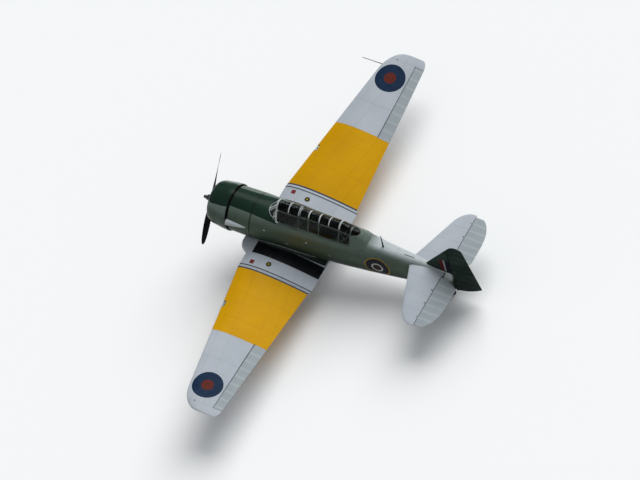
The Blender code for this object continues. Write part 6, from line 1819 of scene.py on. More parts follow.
def makePads(name, station):
    back, front = station + seat["depth"] / 2, station - seat["depth"] / 2
    pan, half = seat["pan"], seat["width"] / 2 - 0.022
    low, high = (front + 0.012, -half), (back - 0.030, half)
    flat = block(at(high[0], -half, pan + 0.004), at(low[0], half, pan + 0.046), 0.016, 4)
    flat = puffed(flat, lambda p: Vector((p.x, p.y, max(p.z, pan + 0.001))))
    finished(flat, f"seat_{name}_cushion", "airframe", "canvas", smooth=80)
    face = back - seat["sheet"] - 0.001
    rear = block(at(face, -half, pan + 0.085), at(face - 0.040, half, seat["back"] - 0.035), 0.016, 4)
    rear = puffed(rear, lambda p: Vector((max(p.x, -face + 0.0005), p.y, p.z)))
    finished(rear, f"seat_{name}_back_pad", "airframe", "canvas", smooth=80)
    edges = [
        piping(roundedLoop(low, high, 0.03, lambda a, b: at(a, b, pan + 0.026))),
        piping(roundedLoop((-half, pan + 0.085), (half, seat["back"] - 0.035), 0.03,
                           lambda a, b: at(face - 0.022, a, b))),
    ]
    finished(edges, f"seat_{name}_piping", "airframe", "canvas")
    # lap and shoulder straps lie on the pads, with their buckle
    straps = []
    for hand in (1, -1):
        path = [at(back - 0.006, hand * 0.085, seat["back"] + 0.004),
                at(back - 0.045, hand * 0.085, seat["back"] - 0.020),
                at(face - 0.054, hand * 0.080, 0.40), at(face - 0.060, hand * 0.065, 0.28),
                at(face - 0.062, hand * 0.045, 0.17),
                at(back - 0.145, hand * 0.020, pan + 0.068)]
        ways = [Vector((0, 0, 1)), Vector((0.7, 0, 0.7)), Vector((1, 0, 0)), Vector((1, 0, 0)),
                Vector((1, 0, 0.3)), Vector((0.3, 0, 1))]
        straps.append(strip(path, ways, 0.042, 0.003, Vector((0, 1, 0))))
        path = [at(back - 0.10, hand * (half + 0.012), pan + 0.12),
                at(back - 0.12, hand * (half - 0.02), pan + 0.075),
                at(back - 0.15, hand * 0.12, pan + 0.063), at(back - 0.16, hand * 0.02, pan + 0.064)]
        ways = [Vector((0, -hand, 0.3)), Vector((0, -hand * 0.5, 1)), Vector((0, 0, 1)), Vector((0, 0, 1))]
        straps.append(strip(path, ways, 0.045, 0.003, Vector((1, 0, 0))))
    finished(straps, f"seat_{name}_harness", "airframe", "webbing")
    buckle = [block(at(back - 0.185, -0.032, pan + 0.066), at(back - 0.130, 0.032, pan + 0.074), 0.003, 2),
              rod(at(back - 0.157, 0, pan + 0.072), at(back - 0.157, 0, pan + 0.082), 0.018, 0.014, 24, 0.002)]
    finished(buckle, f"seat_{name}_buckle", "airframe", "steel")


def dial(radius):
    # an instrument that faces +z: rim, face, marks and hand
    rim = turned([(0.0, radius), (0.004, radius), (0.006, radius - 0.002), (0.006, radius - 0.005),
                  (0.0015, radius - 0.006), (0.0, radius - 0.006)],
                 (0, 0, 0), (0, 0, 1), 28, loop=True)
    face = rod((0, 0, 0), (0, 0, 0.0012), radius - 0.005, steps=28)
    marks = []
    for k in range(12):
        turn = Matrix.Rotation(2 * math.pi * k / 12, 4, "Z")
        size = 0.0014 if k % 3 == 0 else 0.0008
        mark = block((-size, radius - 0.014, 0.001), (size, radius - 0.008, 0.0018))
        marks.append(copyMoved(mark, turn))
        bpy.data.objects.remove(mark)
    needle = plate([(-0.0016, -0.006, 0.0016), (0.0016, -0.006, 0.0016), (0.0004, radius - 0.012, 0.0016),
                    (-0.0004, radius - 0.012, 0.0016)],
                   (0, 0, 0.0006))
    marks.append(copyMoved(needle, Matrix.Rotation(-0.9 - radius * 40, 4, "Z")))
    bpy.data.objects.remove(needle)
    return rim, face, gather(marks)


panels = {
    "front": {"station": 2.66, "low": 0.10, "rows": ((0.40, 0.040, (-0.30, -0.20, -0.10, 0.10, 0.20, 0.30)),
              (0.29, 0.040, (-0.32, -0.22, -0.11, 0.0, 0.11, 0.22, 0.32)),
              (0.19, 0.028, (-0.28, -0.20, 0.20, 0.28)))},
    "rear": {"station": 3.86, "low": 0.14, "rows": ((0.40, 0.038, (-0.21, -0.105, 0.0, 0.105, 0.21)),
             (0.30, 0.038, (-0.26, -0.155, -0.05, 0.05, 0.155, 0.26)),
             (0.21, 0.026, (-0.22, -0.14, 0.14, 0.22)))},
}


def makePanel(name):
    station, low, high = panels[name]["station"], panels[name]["low"], fuselageShape["sill"] - 0.0503
    heights = spread(low, high, 12)
    side = [(fuselageSide(station + 0.02, z, -fuselageShape["wall"] - 0.001), z) for z in heights]
    face = station + hair
    outline = [at(face, y, z) for y, z in side] + [at(face, -y, z) for y, z in reversed(side)]
    board = [plate(outline, (-0.0190, 0, 0), 0.003, 2)]
    rims, faces, marks = [], [], []
    facing = Vector((-1, 0, 0)).to_track_quat("Z", "Y").to_matrix().to_4x4()
    for height, radius, places in panels[name]["rows"]:
        kinds = dial(radius)
        for y in places:
            move = Matrix.Translation(at(station + 0.0190, y, height)) @ facing
            for group, kind in zip((rims, faces, marks), kinds):
                group.append(copyMoved(kind, move))
        for kind in kinds:
            bpy.data.objects.remove(kind)
    for k in range(7):
        y = -0.13 + 0.043 * k
        board.append(rod(at(station + 0.019, y, 0.165), at(station + 0.030, y, 0.165), 0.006,
                         0.0045, 12, 0.001))
        board.append(rod(at(station + 0.028, y, 0.165), at(station + 0.042, y, 0.172), 0.0025, 0.0035, 8))
    finished(board + rims, f"instrument_board_{name}", "airframe", "black",
             f"instrument_panel_{name}")
    finished(faces, f"instrument_faces_{name}", "airframe", "dialFace")
    finished(marks, f"instrument_marks_{name}", "airframe", "dialMark")


def makeStick(name, station):
    route = bent([at(station + 0.02, 0, -0.305), at(station, 0, -0.12), at(station + 0.05, 0, 0.17)], 0.05)
    low, high = at(station + 0.045, 0, 0.13), at(station + 0.055, 0, 0.25)
    reach = (high - low).length
    grip = [(0, 0.014)] + [(reach * t, 0.0165 + 0.0022 * math.cos(math.pi * 2 * t * 4.5))
                           for t in spread(0.04, 0.88, 26)]
    grip += [(reach * 0.93, 0.0178), (reach * 0.97, 0.0150), (reach, 0.009)]
    base = at(station + 0.02, 0, fuselageShape["floorTop"] + hair)
    folds = [(0.0, 0.049)] + [(0.030 * t, 0.047 - 0.025 * t + 0.003 * math.cos(math.pi * 2 * t * 4))
                              for t in spread(0.05, 1, 22)]
    pieces = [pipe(route, 0.0128, resolution=5), turned(grip, low, high - low, 28),
              turned(folds, base, (0, 0, 1), 36)]
    pieces.append(rod(high - Vector((0.012, 0, 0.006)), high - Vector((0.022, 0, 0.006)), 0.006,
                      0.005, 14, 0.001))
    finished(pieces, f"stick_{name}_and_grip", "airframe", "black", f"control_stick_{name}", 45)


def makeSideConsole(name, station):
    # throttle box and trim wheel on the port wall, radio box on the starboard wall
    wallAt = {hand: hand * (fuselageSide(station, 0.30, -fuselageShape["wall"] - 0.002)) for hand in (1, -1)}
    y = wallAt[1]
    pieces = [block(at(station + 0.12, y - 0.055, 0.22), at(station - 0.10, y - 0.004, 0.31), 0.008, 2),
              block(at(station + 0.14, wallAt[-1] + 0.004, 0.17), at(station - 0.12, wallAt[-1] + 0.075, 0.33),
                    0.008, 2)]
    yWheel = fuselageSide(station + 0.02, 0.08, -fuselageShape["wall"] - 0.002)
    pieces.append(turned(wireProfile(0.085, 0.008), at(station + 0.02, yWheel - 0.03, 0.08), (0, 1, 0),
                         36, loop=True))
    for k in range(4):
        turn = math.pi / 4 * k
        arm = Vector((math.cos(turn), 0, math.sin(turn))) * 0.085
        hub = at(station + 0.02, yWheel - 0.03, 0.08)
        pieces.append(rod(hub - arm, hub + arm, 0.004, steps=8))
    pieces.append(rod(at(station + 0.02, yWheel - 0.035, 0.08), at(station + 0.02, yWheel - 0.001, 0.08),
                      0.018, steps=20, edge=0.002))
    for k, (reach, lean) in enumerate(((0.10, -0.03), (0.09, 0.02), (0.075, 0.045))):
        foot = at(station - 0.01 + 0.03 * k, y - 0.018 - 0.014 * k, 0.30)
        knob = foot + Vector((-lean, -0.004, reach))
        pieces.append(rod(foot, knob, 0.004, steps=10))
        pieces.append(turned([(0.0, 0.004), (0.003, 0.009), (0.011, 0.0125), (0.019, 0.009), (0.022, 0.003)],
                             knob, (0, 0, 1), 18))
    for k in range(6):
        spot = at(station + 0.10 - 0.04 * k, wallAt[-1] + 0.072, 0.29 - 0.05 * (k % 2))
        pieces.append(rod(spot, spot + Vector((0, 0.012, 0)), 0.009, 0.007, 16, 0.001))
    finished(pieces, f"side_controls_{name}", "airframe", "black", smooth=45)


def makeTurnover():
    station, foot = 3.52, fuselageShape["floorTop"] + 0.0008
    corners = [(0.26, foot), (0.25, 0.55), (0.10, 0.98), (-0.10, 0.98), (-0.25, 0.55), (-0.26, foot)]
    pieces = [pipe(bent([at(station, y, z) for y, z in corners], 0.07), 0.0208, resolution=6)]
    pieces.append(rod(at(station, -0.235, 0.585), at(station, 0.235, 0.585), 0.0125, steps=20))
    for hand in (1, -1):
        pieces.append(rod(at(station, hand * 0.26, foot), at(station, hand * 0.26, foot + 0.012), 0.045,
                          0.040, 28, 0.002))
    finished(pieces, "turnover_hoop", "airframe", "interior", "turnover_frame")


# Woven cotton: matt, its threads drawn 4 to 6 mm apart so that they show, faded on the high spots
def canvasFinish(name, low, high, weave, rough):
    finish, tree, shader = newFinish(name, low, rough, 0.0, Sheen_Weight=0.3, Sheen_Roughness=0.6)
    point = add(tree, "TexCoord", out=3)
    cloud = noise(tree, point, 7.0, 6.0, 0.65)
    cloth = between(tree, cloud, (0.3, low), (0.72, high))
    warp = add(tree, "TexWave", {0: point, 1: weave, 2: 0.6}, bands_direction="Y")
    weft = add(tree, "TexWave", {0: point, 1: weave, 2: 0.6}, bands_direction="Z")
    threads = maths(tree, "MULTIPLY", warp, weft)
    shade = fade(tree, threads, 0.0, 1.0, 0.28, 0.0)
    height = maths(tree, "MULTIPLY", threads, 0.0005)
    connect(tree, shader, Base_Color=painted(tree, cloth, (shade, "#1B1B14")), Normal=bump(tree, height, 0.9))
    return finish


finishes["canvas"] = canvasFinish("olive_canvas_cover", "#4B4C36", "#63624A", 55.0, 0.85)
finishes["webbing"] = canvasFinish("cotton_harness_webbing", "#8A7F63", "#A39A7E", 90.0, 0.80)
# Matt black instrument faces behind thin glass: dark with a clear shine over it
finishes["dialFace"] = plainFinish("instrument_face_glass", "#0A0B0C", "#101214", 0.12, 0.0, 30.0, 0.00005,
                                   Coat_Weight=0.6)
# Luminous paint on marks and hands: pale cream-green by day
finishes["dialMark"] = plainFinish("luminous_dial_paint", "#C9CDB4", "#DADCC6", 0.6, 0.0, 60.0, 0.0001)
for name, station in seat["stations"]:
    makeSeat(name, station)
    makePads(name, station)
    makePanel(name)
    makeStick(name, station - (0.26 if name == "front" else 0.28))
    makeSideConsole(name, station - 0.06)
makeTurnover()
print("cockpit made")


# landing gear

gear = {
    "station": 1.97, "leg": 1.115, "span": 1.285, "trunnion": -0.615, "axle": -1.39,
    "tyre": (0.349, 0.215, 0.185), "tailTyre": (0.159, 0.10, 0.075),
    "tail": (7.80, -0.555), "trail": 0.10,
}


def makeTyre(name, centre, size, grooves, body, node):
    radius, width, rim = size
    half = width / 2
    path = [(-half * 0.60, rim), (-half * 0.66, rim + 0.004)]
    for k in range(29):
        turn = math.pi * (0.06 + 0.88 * k / 28)
        along = -half * math.cos(turn)
        path.append((along, rim + (radius - rim) * (0.38 + 0.62 * math.sin(turn) ** 0.85)))
    path += [(half * 0.66, rim + 0.004), (half * 0.60, rim)]
    # the tread's grooves run round the crown
    treads = []
    for (x0, r0), (x1, r1) in zip(path, path[1:]):
        treads.append((x0, r0))
        for groove in grooves:
            if x0 <= groove < x1:
                for x, deep in ((-0.0035, 0), (-0.0022, 0.006), (0.0022, 0.006), (0.0035, 0)):
                    treads.append((groove + x, r0 + (r1 - r0) * (groove + x - x0) / (x1 - x0) - deep))
    treads.append(path[-1])
    obj = turned(treads, centre, (0, 1, 0), 72, loop=True)
    finished(obj, name, body, "rubber", node, 32)


def makeMainWheel(side, hand):
    body = f"main_wheel_{side}"
    centre = at(gear["station"], hand * gear["span"], gear["axle"])
    out = Vector((0, hand, 0))
    makeTyre(f"tyre_{side}", centre, gear["tyre"], (-0.048, -0.018, 0.018, 0.048), body,
             f"main_wheel_{side}_tire")
    rim = gear["tyre"][2] - 0.0006
    profile = [
        (-0.0665, 0.0287), (-0.068, 0.030), (-0.068, 0.052), (-0.050, 0.064), (-0.034, 0.078), (-0.034, 0.140),
        (-0.046, 0.158), (-0.060, 0.170), (-0.0725, 0.176), (-0.0735, 0.182), (-0.0700, rim), (0.0700, rim),
        (0.0735, 0.182), (0.0725, 0.176), (0.060, 0.168), (0.046, 0.156), (0.034, 0.140), (0.030, 0.120),
        (0.034, 0.082), (0.050, 0.066), (0.066, 0.058), (0.068, 0.054), (0.068, 0.030), (0.0665, 0.0287),
    ]
    hub = turned(profile, centre, out, 64, loop=True)
    # eight lightening holes and the ribs between them
    ways = spokes(8, "y")
    cut(hub, *[rod(centre + way * 0.108 - out * 0.08, centre + way * 0.108 + out * 0.08, 0.0165, steps=24)
               for way in ways])
    pieces = [hub]
    for way in spokes(8, "y", 0.5):
        across = way.cross(out).normalized() * 0.0055
        outline = [centre + way * r + out * x - across for r, x in
                   ((0.064, 0.030), (0.064, 0.052), (0.080, 0.046), (0.132, 0.045), (0.150, 0.050),
                    (0.150, 0.030))]
        pieces.append(plate(outline, across * 2, 0.0015))
        pieces.append(bolt(centre + way * 0.160 + out * 0.0555, (out + way * 0.5).normalized(), 0.0065, 0.008))
    finished(pieces, f"wheel_{side}_cast_hub", body, "enamel", f"main_wheel_{side}_hub", 32)
    dome = [(0.0660, 0.0520), (0.0740, 0.0505), (0.0860, 0.0450), (0.0940, 0.0340), (0.0980, 0.0190),
            (0.0990, 0.0030), (0.0945, 0.0030), (0.0930, 0.0190), (0.0885, 0.0340), (0.0800, 0.0420),
            (0.0665, 0.0460)]
    cap = [turned(dome, centre, out, 48)]
    cap += [bolt(centre + way * 0.0482 + out * 0.0745, out, 0.0035, 0.003) for way in ways[::2]]
    stem = centre - Vector((0, 0, 0.122)) + out * 0.043
    cap.append(pipe(bent([stem, stem + out * 0.022, stem + out * 0.040 - Vector((0, 0, 0.012))], 0.008),
                    0.0035))
    finished(cap, f"wheel_{side}_cap", body, "alloy", smooth=40)


def makeMainLeg(side, hand):
    station, y = gear["station"], hand * gear["leg"]
    out = Vector((0, hand, 0))

    def up(z, forward=0.0, outward=0.0):
        return at(station - forward, y + hand * outward, z)

    tube = [(0.0, 0.040), (0.012, 0.052), (0.022, 0.056), (0.105, 0.056), (0.112, 0.0595), (0.135, 0.0595),
            (0.142, 0.0545), (0.300, 0.0545), (0.306, 0.0575), (0.322, 0.0575), (0.328, 0.0540),
            (0.395, 0.0540), (0.402, 0.0640), (0.412, 0.0660), (0.455, 0.0660), (0.463, 0.0620),
            (0.463, 0.0400)]
    pieces = [turned(tube, up(gear["trunnion"]), (0, 0, -1), 44)]
    reach = 0.1035
    axis = Vector((1, 0, 0))
    trunnion = [(-reach, 0.030), (-reach, 0.040), (-0.092, 0.0448), (-0.070, 0.0448), (-0.064, 0.040),
                (0.064, 0.040), (0.070, 0.0448), (0.092, 0.0448), (reach, 0.040), (reach, 0.030)]
    pieces.append(turned(trunnion, up(gear["trunnion"]), axis, 32))
    for way in spokes(10, "z"):
        pieces.append(bolt(up(-1.0345) + way * 0.058, (0, 0, 1), 0.0050, 0.022))
    # ribs stiffen the cast head
    for way in spokes(4, "z", 0.5):
        across = Vector((0, 0, 1)).cross(way) * 0.004
        outline = [up(z) + way * r - across
                   for z, r in ((-0.640, 0.050), (-0.640, 0.0665), (-0.718, 0.0665), (-0.735, 0.050))]
        pieces.append(plate(outline, across * 2, 0.0012))
    # knuckle, axle and collar
    knuckle = [(0.075, 0.030), (0.075, 0.044), (0.066, 0.0515), (0.030, 0.052), (-0.030, 0.052),
               (-0.046, 0.048), (-0.055, 0.036)]
    pieces.append(turned(knuckle, up(gear["axle"]), (0, 0, 1), 36))
    collar = [(0.0, 0.030), (0.020, 0.046), (0.072, 0.046), (0.078, 0.050), (0.092, 0.050), (0.098, 0.044),
              (0.098, 0.029)]
    pieces.append(turned(collar, up(gear["axle"]), out, 36))
    # scissor links ahead of the piston, each a frame of two arms and two cross bars
    for z0, x0, z1, x1 in ((-1.050, 0.060, -1.170, 0.155), (-1.330, 0.046, -1.170, 0.155)):
        wide, narrow = 0.036, 0.012
        for hold in (1, -1):
            pieces.append(rod(up(z0, x0, hold * wide), up(z1, x1, hold * narrow), 0.0095, 0.0085, 14))
        for share in (0.30, 0.62):
            z, x = z0 + (z1 - z0) * share, x0 + (x1 - x0) * share
            half = wide + (narrow - wide) * share
            pieces.append(rod(up(z, x, -half), up(z, x, half), 0.006, steps=10))
        pieces.append(rod(up(z0, x0, -0.046), up(z0, x0, 0.046), 0.0135, steps=20, edge=0.002))
        lug = [up(z0 + dz, dx) for dz, dx in ((0.016, 0.030), (0.016, x0), (-0.016, x0), (-0.016, 0.030))]
        pieces.append(plate([point - out * 0.022 for point in lug], out * 0.044, 0.003))
    pieces.append(rod(up(-1.170, 0.155, -0.034), up(-1.170, 0.155, 0.034), 0.0155, steps=20, edge=0.002))
    pieces.append(bolt(up(-1.170, 0.155, 0.034), out, 0.011, 0.008))
    # towing ring under the knuckle
    pieces.append(turned(wireProfile(0.017, 0.004), up(gear["axle"] - 0.068), (0, 1, 0), 28, loop=True))
    finished(pieces, f"gear_leg_{side}", "airframe", "enamel", f"main_gear_leg_{side}", 35)

    chrome = [rod(up(-1.03), up(gear["axle"] + 0.074), 0.036, steps=40)]
    chrome.append(rod(up(gear["axle"], 0, 0.09), up(gear["axle"], 0, 0.2545), 0.0279, steps=32, edge=0.003))
    finished(chrome, f"gear_oleo_{side}", "airframe", "chrome", smooth=40)

    # brake plate with its expander bolts and the torque flange
    disc = [(0.0745, 0.050), (0.0745, 0.122), (0.078, 0.129), (0.086, 0.130), (0.0905, 0.128), (0.0905, 0.122),
            (0.084, 0.118), (0.084, 0.066), (0.090, 0.060), (0.090, 0.050)]
    brake = [turned(disc, up(gear["axle"]), out, 56)]
    for k, way in enumerate(spokes(12, "y")):
        brake.append(bolt(up(gear["axle"], 0, 0.0745) + way * (0.066 if k % 2 else 0.112), -out,
                          0.0055, 0.004))
    finished(brake, f"brake_plate_{side}", "airframe", "steel", smooth=35)

    # the hydraulic brake pipe is clipped to the leg and loops free of the piston
    route = bent([up(-0.600, -0.050, -0.048), up(-0.680, -0.056, -0.030), up(-1.035, -0.056, -0.030),
                  up(-1.12, -0.100, -0.020),
                  up(-1.25, -0.100, 0.000), up(-1.34, -0.068, 0.030), up(-1.352, -0.060, 0.0725)], 0.035)
    clips = [pipe(route, 0.0048, resolution=3)]
    for z in (-0.74, -0.83, -0.93, -1.02):
        clips.append(rod(up(z - 0.006), up(z + 0.006), 0.0672 if z < -1.01 else 0.0585, steps=32))
        clips.append(block(up(z - 0.007, -0.064, -0.040), up(z + 0.007, -0.048, -0.020), 0.002))
    finished(clips, f"brake_pipe_{side}", "airframe", "black", smooth=45)

    # side brace: two struts that meet at a knee, with a jaw on each end
    low, high = at(station, y - hand * 0.050, -0.845), at(station, hand * 0.72, -0.585)
    knee = low.lerp(high, 0.5)
    way = (high - low).normalized()
    brace = [rod(low, knee - way * 0.018, 0.0200, steps=24), rod(knee + way * 0.018, high, 0.0200, steps=24)]
    for end, sign in ((low, 1), (knee, -1), (knee, 1), (high, -1)):
        for face in (1, -1):
            centre = end + way * sign * 0.02
            across = Vector((face * 0.0165, 0, 0))
            thick = Vector((0.008, 0, 0))
            normal = way.cross(Vector((1, 0, 0))).normalized()
            outline = [centre + across - thick / 2 + way * sign * a + normal * b for a, b in
                       ((-0.030, 0.012), (0.0, 0.021), (0.045, 0.017), (0.045, -0.017), (0.0, -0.021),
                        (-0.030, -0.012))]
            brace.append(plate(outline, thick, 0.0015))
    brace.append(rod(knee - Vector((0.030, 0, 0)), knee + Vector((0.030, 0, 0)), 0.0105, steps=20, edge=0.001))
    brace.append(rod(low - Vector((0.034, 0, 0)), low + Vector((0.034, 0, 0)), 0.0125, steps=20, edge=0.001))
    brace.append(rod(high - Vector((reach, 0, 0)), high + Vector((reach, 0, 0)), 0.0260, steps=28, edge=0.002))
    finished(brace, f"side_brace_{side}", "airframe", "steel", smooth=40)


def makeWellLiner(side, hand):
    # a primed cup with stiffening ribs lines each wheel well
    centre = at(well["station"], hand * well["span"], 0)
    roof = well["roof"] - 0.0015
    cup = [turned([(-0.0005, 0.342), (-0.0025, 0.342)], centre + Vector((0, 0, roof)), (0, 0, 1), 64)]
    for k in range(8):
        way = Vector((math.cos(k * math.pi / 4 + 0.2), math.sin(k * math.pi / 4 + 0.2), 0))
        foot = centre + Vector((0, 0, roof - 0.002))
        cup.append(rod(foot + way * 0.09, foot + way * 0.334, 0.007, steps=10))
    for ring in (0.09, 0.21, 0.334):
        cup.append(turned(wireProfile(ring, 0.006), centre + Vector((0, 0, roof - 0.002)), (0, 0, 1),
                          56, loop=True))
    finished(cup, f"wheel_well_liner_{side}", "airframe", "interior", smooth=40)


def makeTailWheel():
    # the fork stands upright on the parked aeroplane
    pitch = park["noseUp"]
    up = Vector((math.sin(pitch), 0, math.cos(pitch)))
    forward = Vector((math.cos(pitch), 0, -math.sin(pitch)))
    centre = at(gear["tail"][0], 0, gear["tail"][1])
    crown = centre + forward * gear["trail"] + up * 0.182

    makeTyre("tail_tyre", centre, gear["tailTyre"], (-0.014, 0.014), "tail_wheel", "tail_wheel_tire")
    profile = [(-0.0310, 0.0132), (-0.0310, 0.026), (-0.018, 0.032), (-0.014, 0.052), (-0.024, 0.066),
               (-0.0325, 0.071), (-0.0318, 0.0746), (0.0318, 0.0746), (0.0325, 0.071), (0.024, 0.066),
               (0.014, 0.052), (0.018, 0.032), (0.0310, 0.026), (0.0310, 0.0132)]
    hub = turned(profile, centre, (0, 1, 0), 56, loop=True)
    holes = []
    for way in spokes(5, "y"):
        holes.append(rod(centre + way * 0.044 - Vector((0, 0.05, 0)),
                         centre + way * 0.044 + Vector((0, 0.05, 0)), 0.0075, steps=20))
    cut(hub, *holes)
    finished(hub, "tail_wheel_cast_hub", "tail_wheel", "enamel", "tail_wheel_hub", 35)

    plateProfile = [(-0.012, 0.040), (-0.012, 0.064), (-0.008, 0.0695), (0.008, 0.0695), (0.012, 0.064),
                    (0.012, 0.024), (0.10, 0.0215), (0.10, 0.010)]
    pieces = [turned(plateProfile, crown, up, 40)]
    for hand in (1, -1):
        outline = []
        for a, b in ((0.036, 0.008), (0.036, -0.020), (0.012, -0.070), (-0.004, -0.120)):
            outline.append(crown + forward * a + up * b)
        for k in range(9):
            turn = math.pi * (0.10 - 1.15 * k / 8)
            outline.append(centre + forward * 0.030 * math.cos(turn) + up * 0.030 * math.sin(turn))
        for a, b in ((-0.058, -0.060), (-0.050, -0.018), (-0.047, 0.008)):
            outline.append(crown + forward * a + up * b)
        outline = [point + Vector((0, hand * 0.070 - 0.0055, 0)) for point in outline]
        pieces.append(plate(outline, (0, 0.011, 0), 0.002, 2))
        side = Vector((0, hand, 0))
        nut = centre + side * 0.0755
        pieces.append(rod(nut, nut + side * 0.006, 0.019, 0.017, 24, 0.001))
        pieces.append(bolt(nut + side * 0.006, side, 0.011, 0.007))
        for a in (-0.018, 0.018):
            pieces.append(bolt(crown + forward * (a - 0.004) - up * 0.002 + side * 0.0755, side,
                               0.0065, 0.005))
    finished(pieces, "tail_fork_and_spindle", "tail_fork", "engine", "tail_wheel_fork", 35)
    axle = rod(centre - Vector((0, 0.080, 0)), centre + Vector((0, 0.080, 0)), 0.0118, steps=24)
    finished(axle, "tail_axle", "tail_fork", "chrome", smooth=40)

    # the boss in the fuselage holds the spindle
    low = crown + up * 0.0173
    boss = [(0.0, 0.0265), (0.0, 0.050), (0.008, 0.0555), (0.030, 0.0575), (0.20, 0.074), (0.20, 0.0265)]
    mount = turned(boss, low, up, 44, loop=True)
    finished(mount, "tail_spindle_boss", "airframe", "steel", smooth=35)


for side, hand in sides:
    makeMainLeg(side, hand)
    makeMainWheel(side, hand)
    makeWellLiner(side, hand)
makeTailWheel()
print("gear made")


# small fittings

# Tinted moulded glass of the tip lamps: red to port, green to starboard
finishes["redLens"] = plainFinish("red_lamp_glass", "#5A0D10", "#6E1216", 0.08, 0.0, 30.0, 0.00002,
                                  Coat_Weight=0.8)
finishes["greenLens"] = plainFinish("green_lamp_glass", "#0B3B28", "#0F4A33", 0.08, 0.0, 30.0, 0.00002,
                                    Coat_Weight=0.8)
# Polished reflector behind the landing lamp
finishes["reflector"] = plainFinish("polished_reflector", "#7C8184", "#8A8F92", 0.10, 1.0, 10.0, 0.00001)


def makeJointStrip(side, hand):
    # a raised strip with bolts covers the joint between centre and outer wing; it ends ahead of the
    # flaps below
    low, high = 1.417, 1.4492
    pieces = []
    for face in (1, -1):
        front, back, _ = wingChord(low)
        ends = (front + 0.004, back - 0.02) if face > 0 else (front + 0.004, 3.47)
        rows = []
        for span in (low, (low + high) / 2, high):
            row = []
            for station in spread(*ends, 60):
                row.append(at(station, hand * span, wingSurface(span, station, face, 0.0004)))
            rows.append(row)
        sheet = skin(rows, closed=False, ends=False)
        if sum(polygon.normal.z * polygon.area for polygon in sheet.data.polygons) * face < 0:
            sheet.data.flip_normals()
        modify(sheet, "SOLIDIFY", thickness=0.004, offset=1)
        pieces.append(sheet)
        for station in spread(front + 0.08, ends[1] - 0.05, 26 if face > 0 else 18):
            spot = at(station, hand * (low + high) / 2, wingSurface((low + high) / 2, station, face, 0.0044))
            pieces.append(bolt(spot, (0, 0, face), 0.0065, 0.003))
    finished(pieces, f"wing_joint_strip_{side}", "airframe", "lightGrey", smooth=30)


def makeRootFillet(side, hand):
    # a rounded fillet runs back along the root where the wing's top meets the fuselage
    rows = []
    for station in spread(2.02, 4.02, 44):
        grow = 0.010 + 0.020 * min((station - 2.02) / 0.5, 1.0)
        foot = fuselageSide(station, wingSurface(0.60, station, 1), 0.0)
        crestHeight = wingSurface(foot, station, 1) + 0.010 + (grow - 0.010) * 2.4
        inner = at(station, hand * (fuselageSide(station, crestHeight) - 0.004), crestHeight)
        middle = at(station, hand * (foot + 0.022), wingSurface(foot, station, 1) + 0.012 + grow * 0.3)
        outer = at(station, hand * max(foot + 0.065 + grow, 0.556), wingSurface(0.56, station, 1) + 0.0006)
        below = at(station, hand * (foot + 0.010), wingSurface(foot + 0.01, station, 1) - 0.004)
        row = []
        for k in range(9):
            t = k / 8
            row.append(inner * (1 - t) ** 2 + middle * 2 * t * (1 - t) + outer * t ** 2)
        rows.append(row + [below])
    finished(skin(rows), f"root_fillet_{side}", "airframe", "fuselage", smooth=50)
    crest = [row[0] + Vector((0, hand * 0.007, 0.0)) for row in rows]
    bead = pipe(crest, 0.0075, resolution=3)
    finished(bead, f"root_fillet_bead_{side}", "airframe", "lightGrey", smooth=50)


def makeFillerCap(side, hand):
    station, span = wingShape["fillerCap"]
    spot = at(station, hand * span, wingSurface(span, station, 1))
    rim = [(-0.006, 0.078), (0.0022, 0.078), (0.0040, 0.075), (0.0040, 0.046), (0.0070, 0.044),
           (0.0090, 0.036), (0.0095, 0.004), (-0.006, 0.004)]
    pieces = [turned(rim, spot, (0, 0, 1), 48)]
    pieces.append(block(spot + Vector((-0.030, -0.006, 0.008)), spot + Vector((0.030, 0.006, 0.0135)), 0.002))
    for way in spokes(10, "z"):
        pieces.append(bolt(spot + way * 0.062 + Vector((0, 0, 0.0036)), (0, 0, 1), 0.0045, 0.0022))
    finished(pieces, f"fuel_filler_cap_{side}", "airframe", "wing", smooth=35)


def makeLandingLight(side, hand):
    span = wingShape["landingLight"]
    front = wingChord(span)[0]
    spans = (span - 0.098, span - 0.05, span, span + 0.05, span + 0.098)
    lens = skin([wingRing(s, hand, 36, -0.001) for s in spans])
    cut(lens, lampBox(hand, 0.0005), operation="INTERSECT")
    back = skin([wingRing(s, hand, 36, -0.006) for s in (span - 0.093, span, span + 0.093)])
    cut(back, block(at(front + 0.3, hand * span - 0.5, -0.8), at(front - 0.2, hand * span + 0.5, 0.3)),
        operation="INTERSECT")
    cut(lens, back)
    finished(lens, f"landing_light_lens_{side}", "airframe", "screen",
             f"landing_light_{side}", 40)
    z = wingSurface(span, front + 0.06, 1) * 0.5 + wingSurface(span, front + 0.06, -1) * 0.5
    focus = at(front + 0.088, hand * span, z)
    bowl = [(0.0, 0.004), (0.003, 0.016), (0.012, 0.029), (0.024, 0.037), (0.027, 0.039), (0.027, 0.0405),
            (0.022, 0.0405), (0.0, 0.030), (-0.008, 0.012), (-0.008, 0.004)]
    finished(turned(bowl, focus, (1, 0, 0), 44), f"landing_light_reflector_{side}", "airframe", "reflector",
             smooth=45)
    stem = [rod(focus + Vector((-0.020, 0, 0)), focus + Vector((0.012, 0, 0)), 0.007, steps=18)]
    stem.append(turned([(0.0, 0.006), (0.006, 0.008), (0.013, 0.0075), (0.018, 0.003)],
                       focus + Vector((0.006, 0, 0)), (1, 0, 0), 20))
    stem.append(block(focus + Vector((-0.016, -0.080, -0.014)), focus + Vector((-0.011, 0.080, 0.014)), 0.002))
    finished(stem, f"landing_light_bulb_{side}", "airframe", "steel", smooth=45)


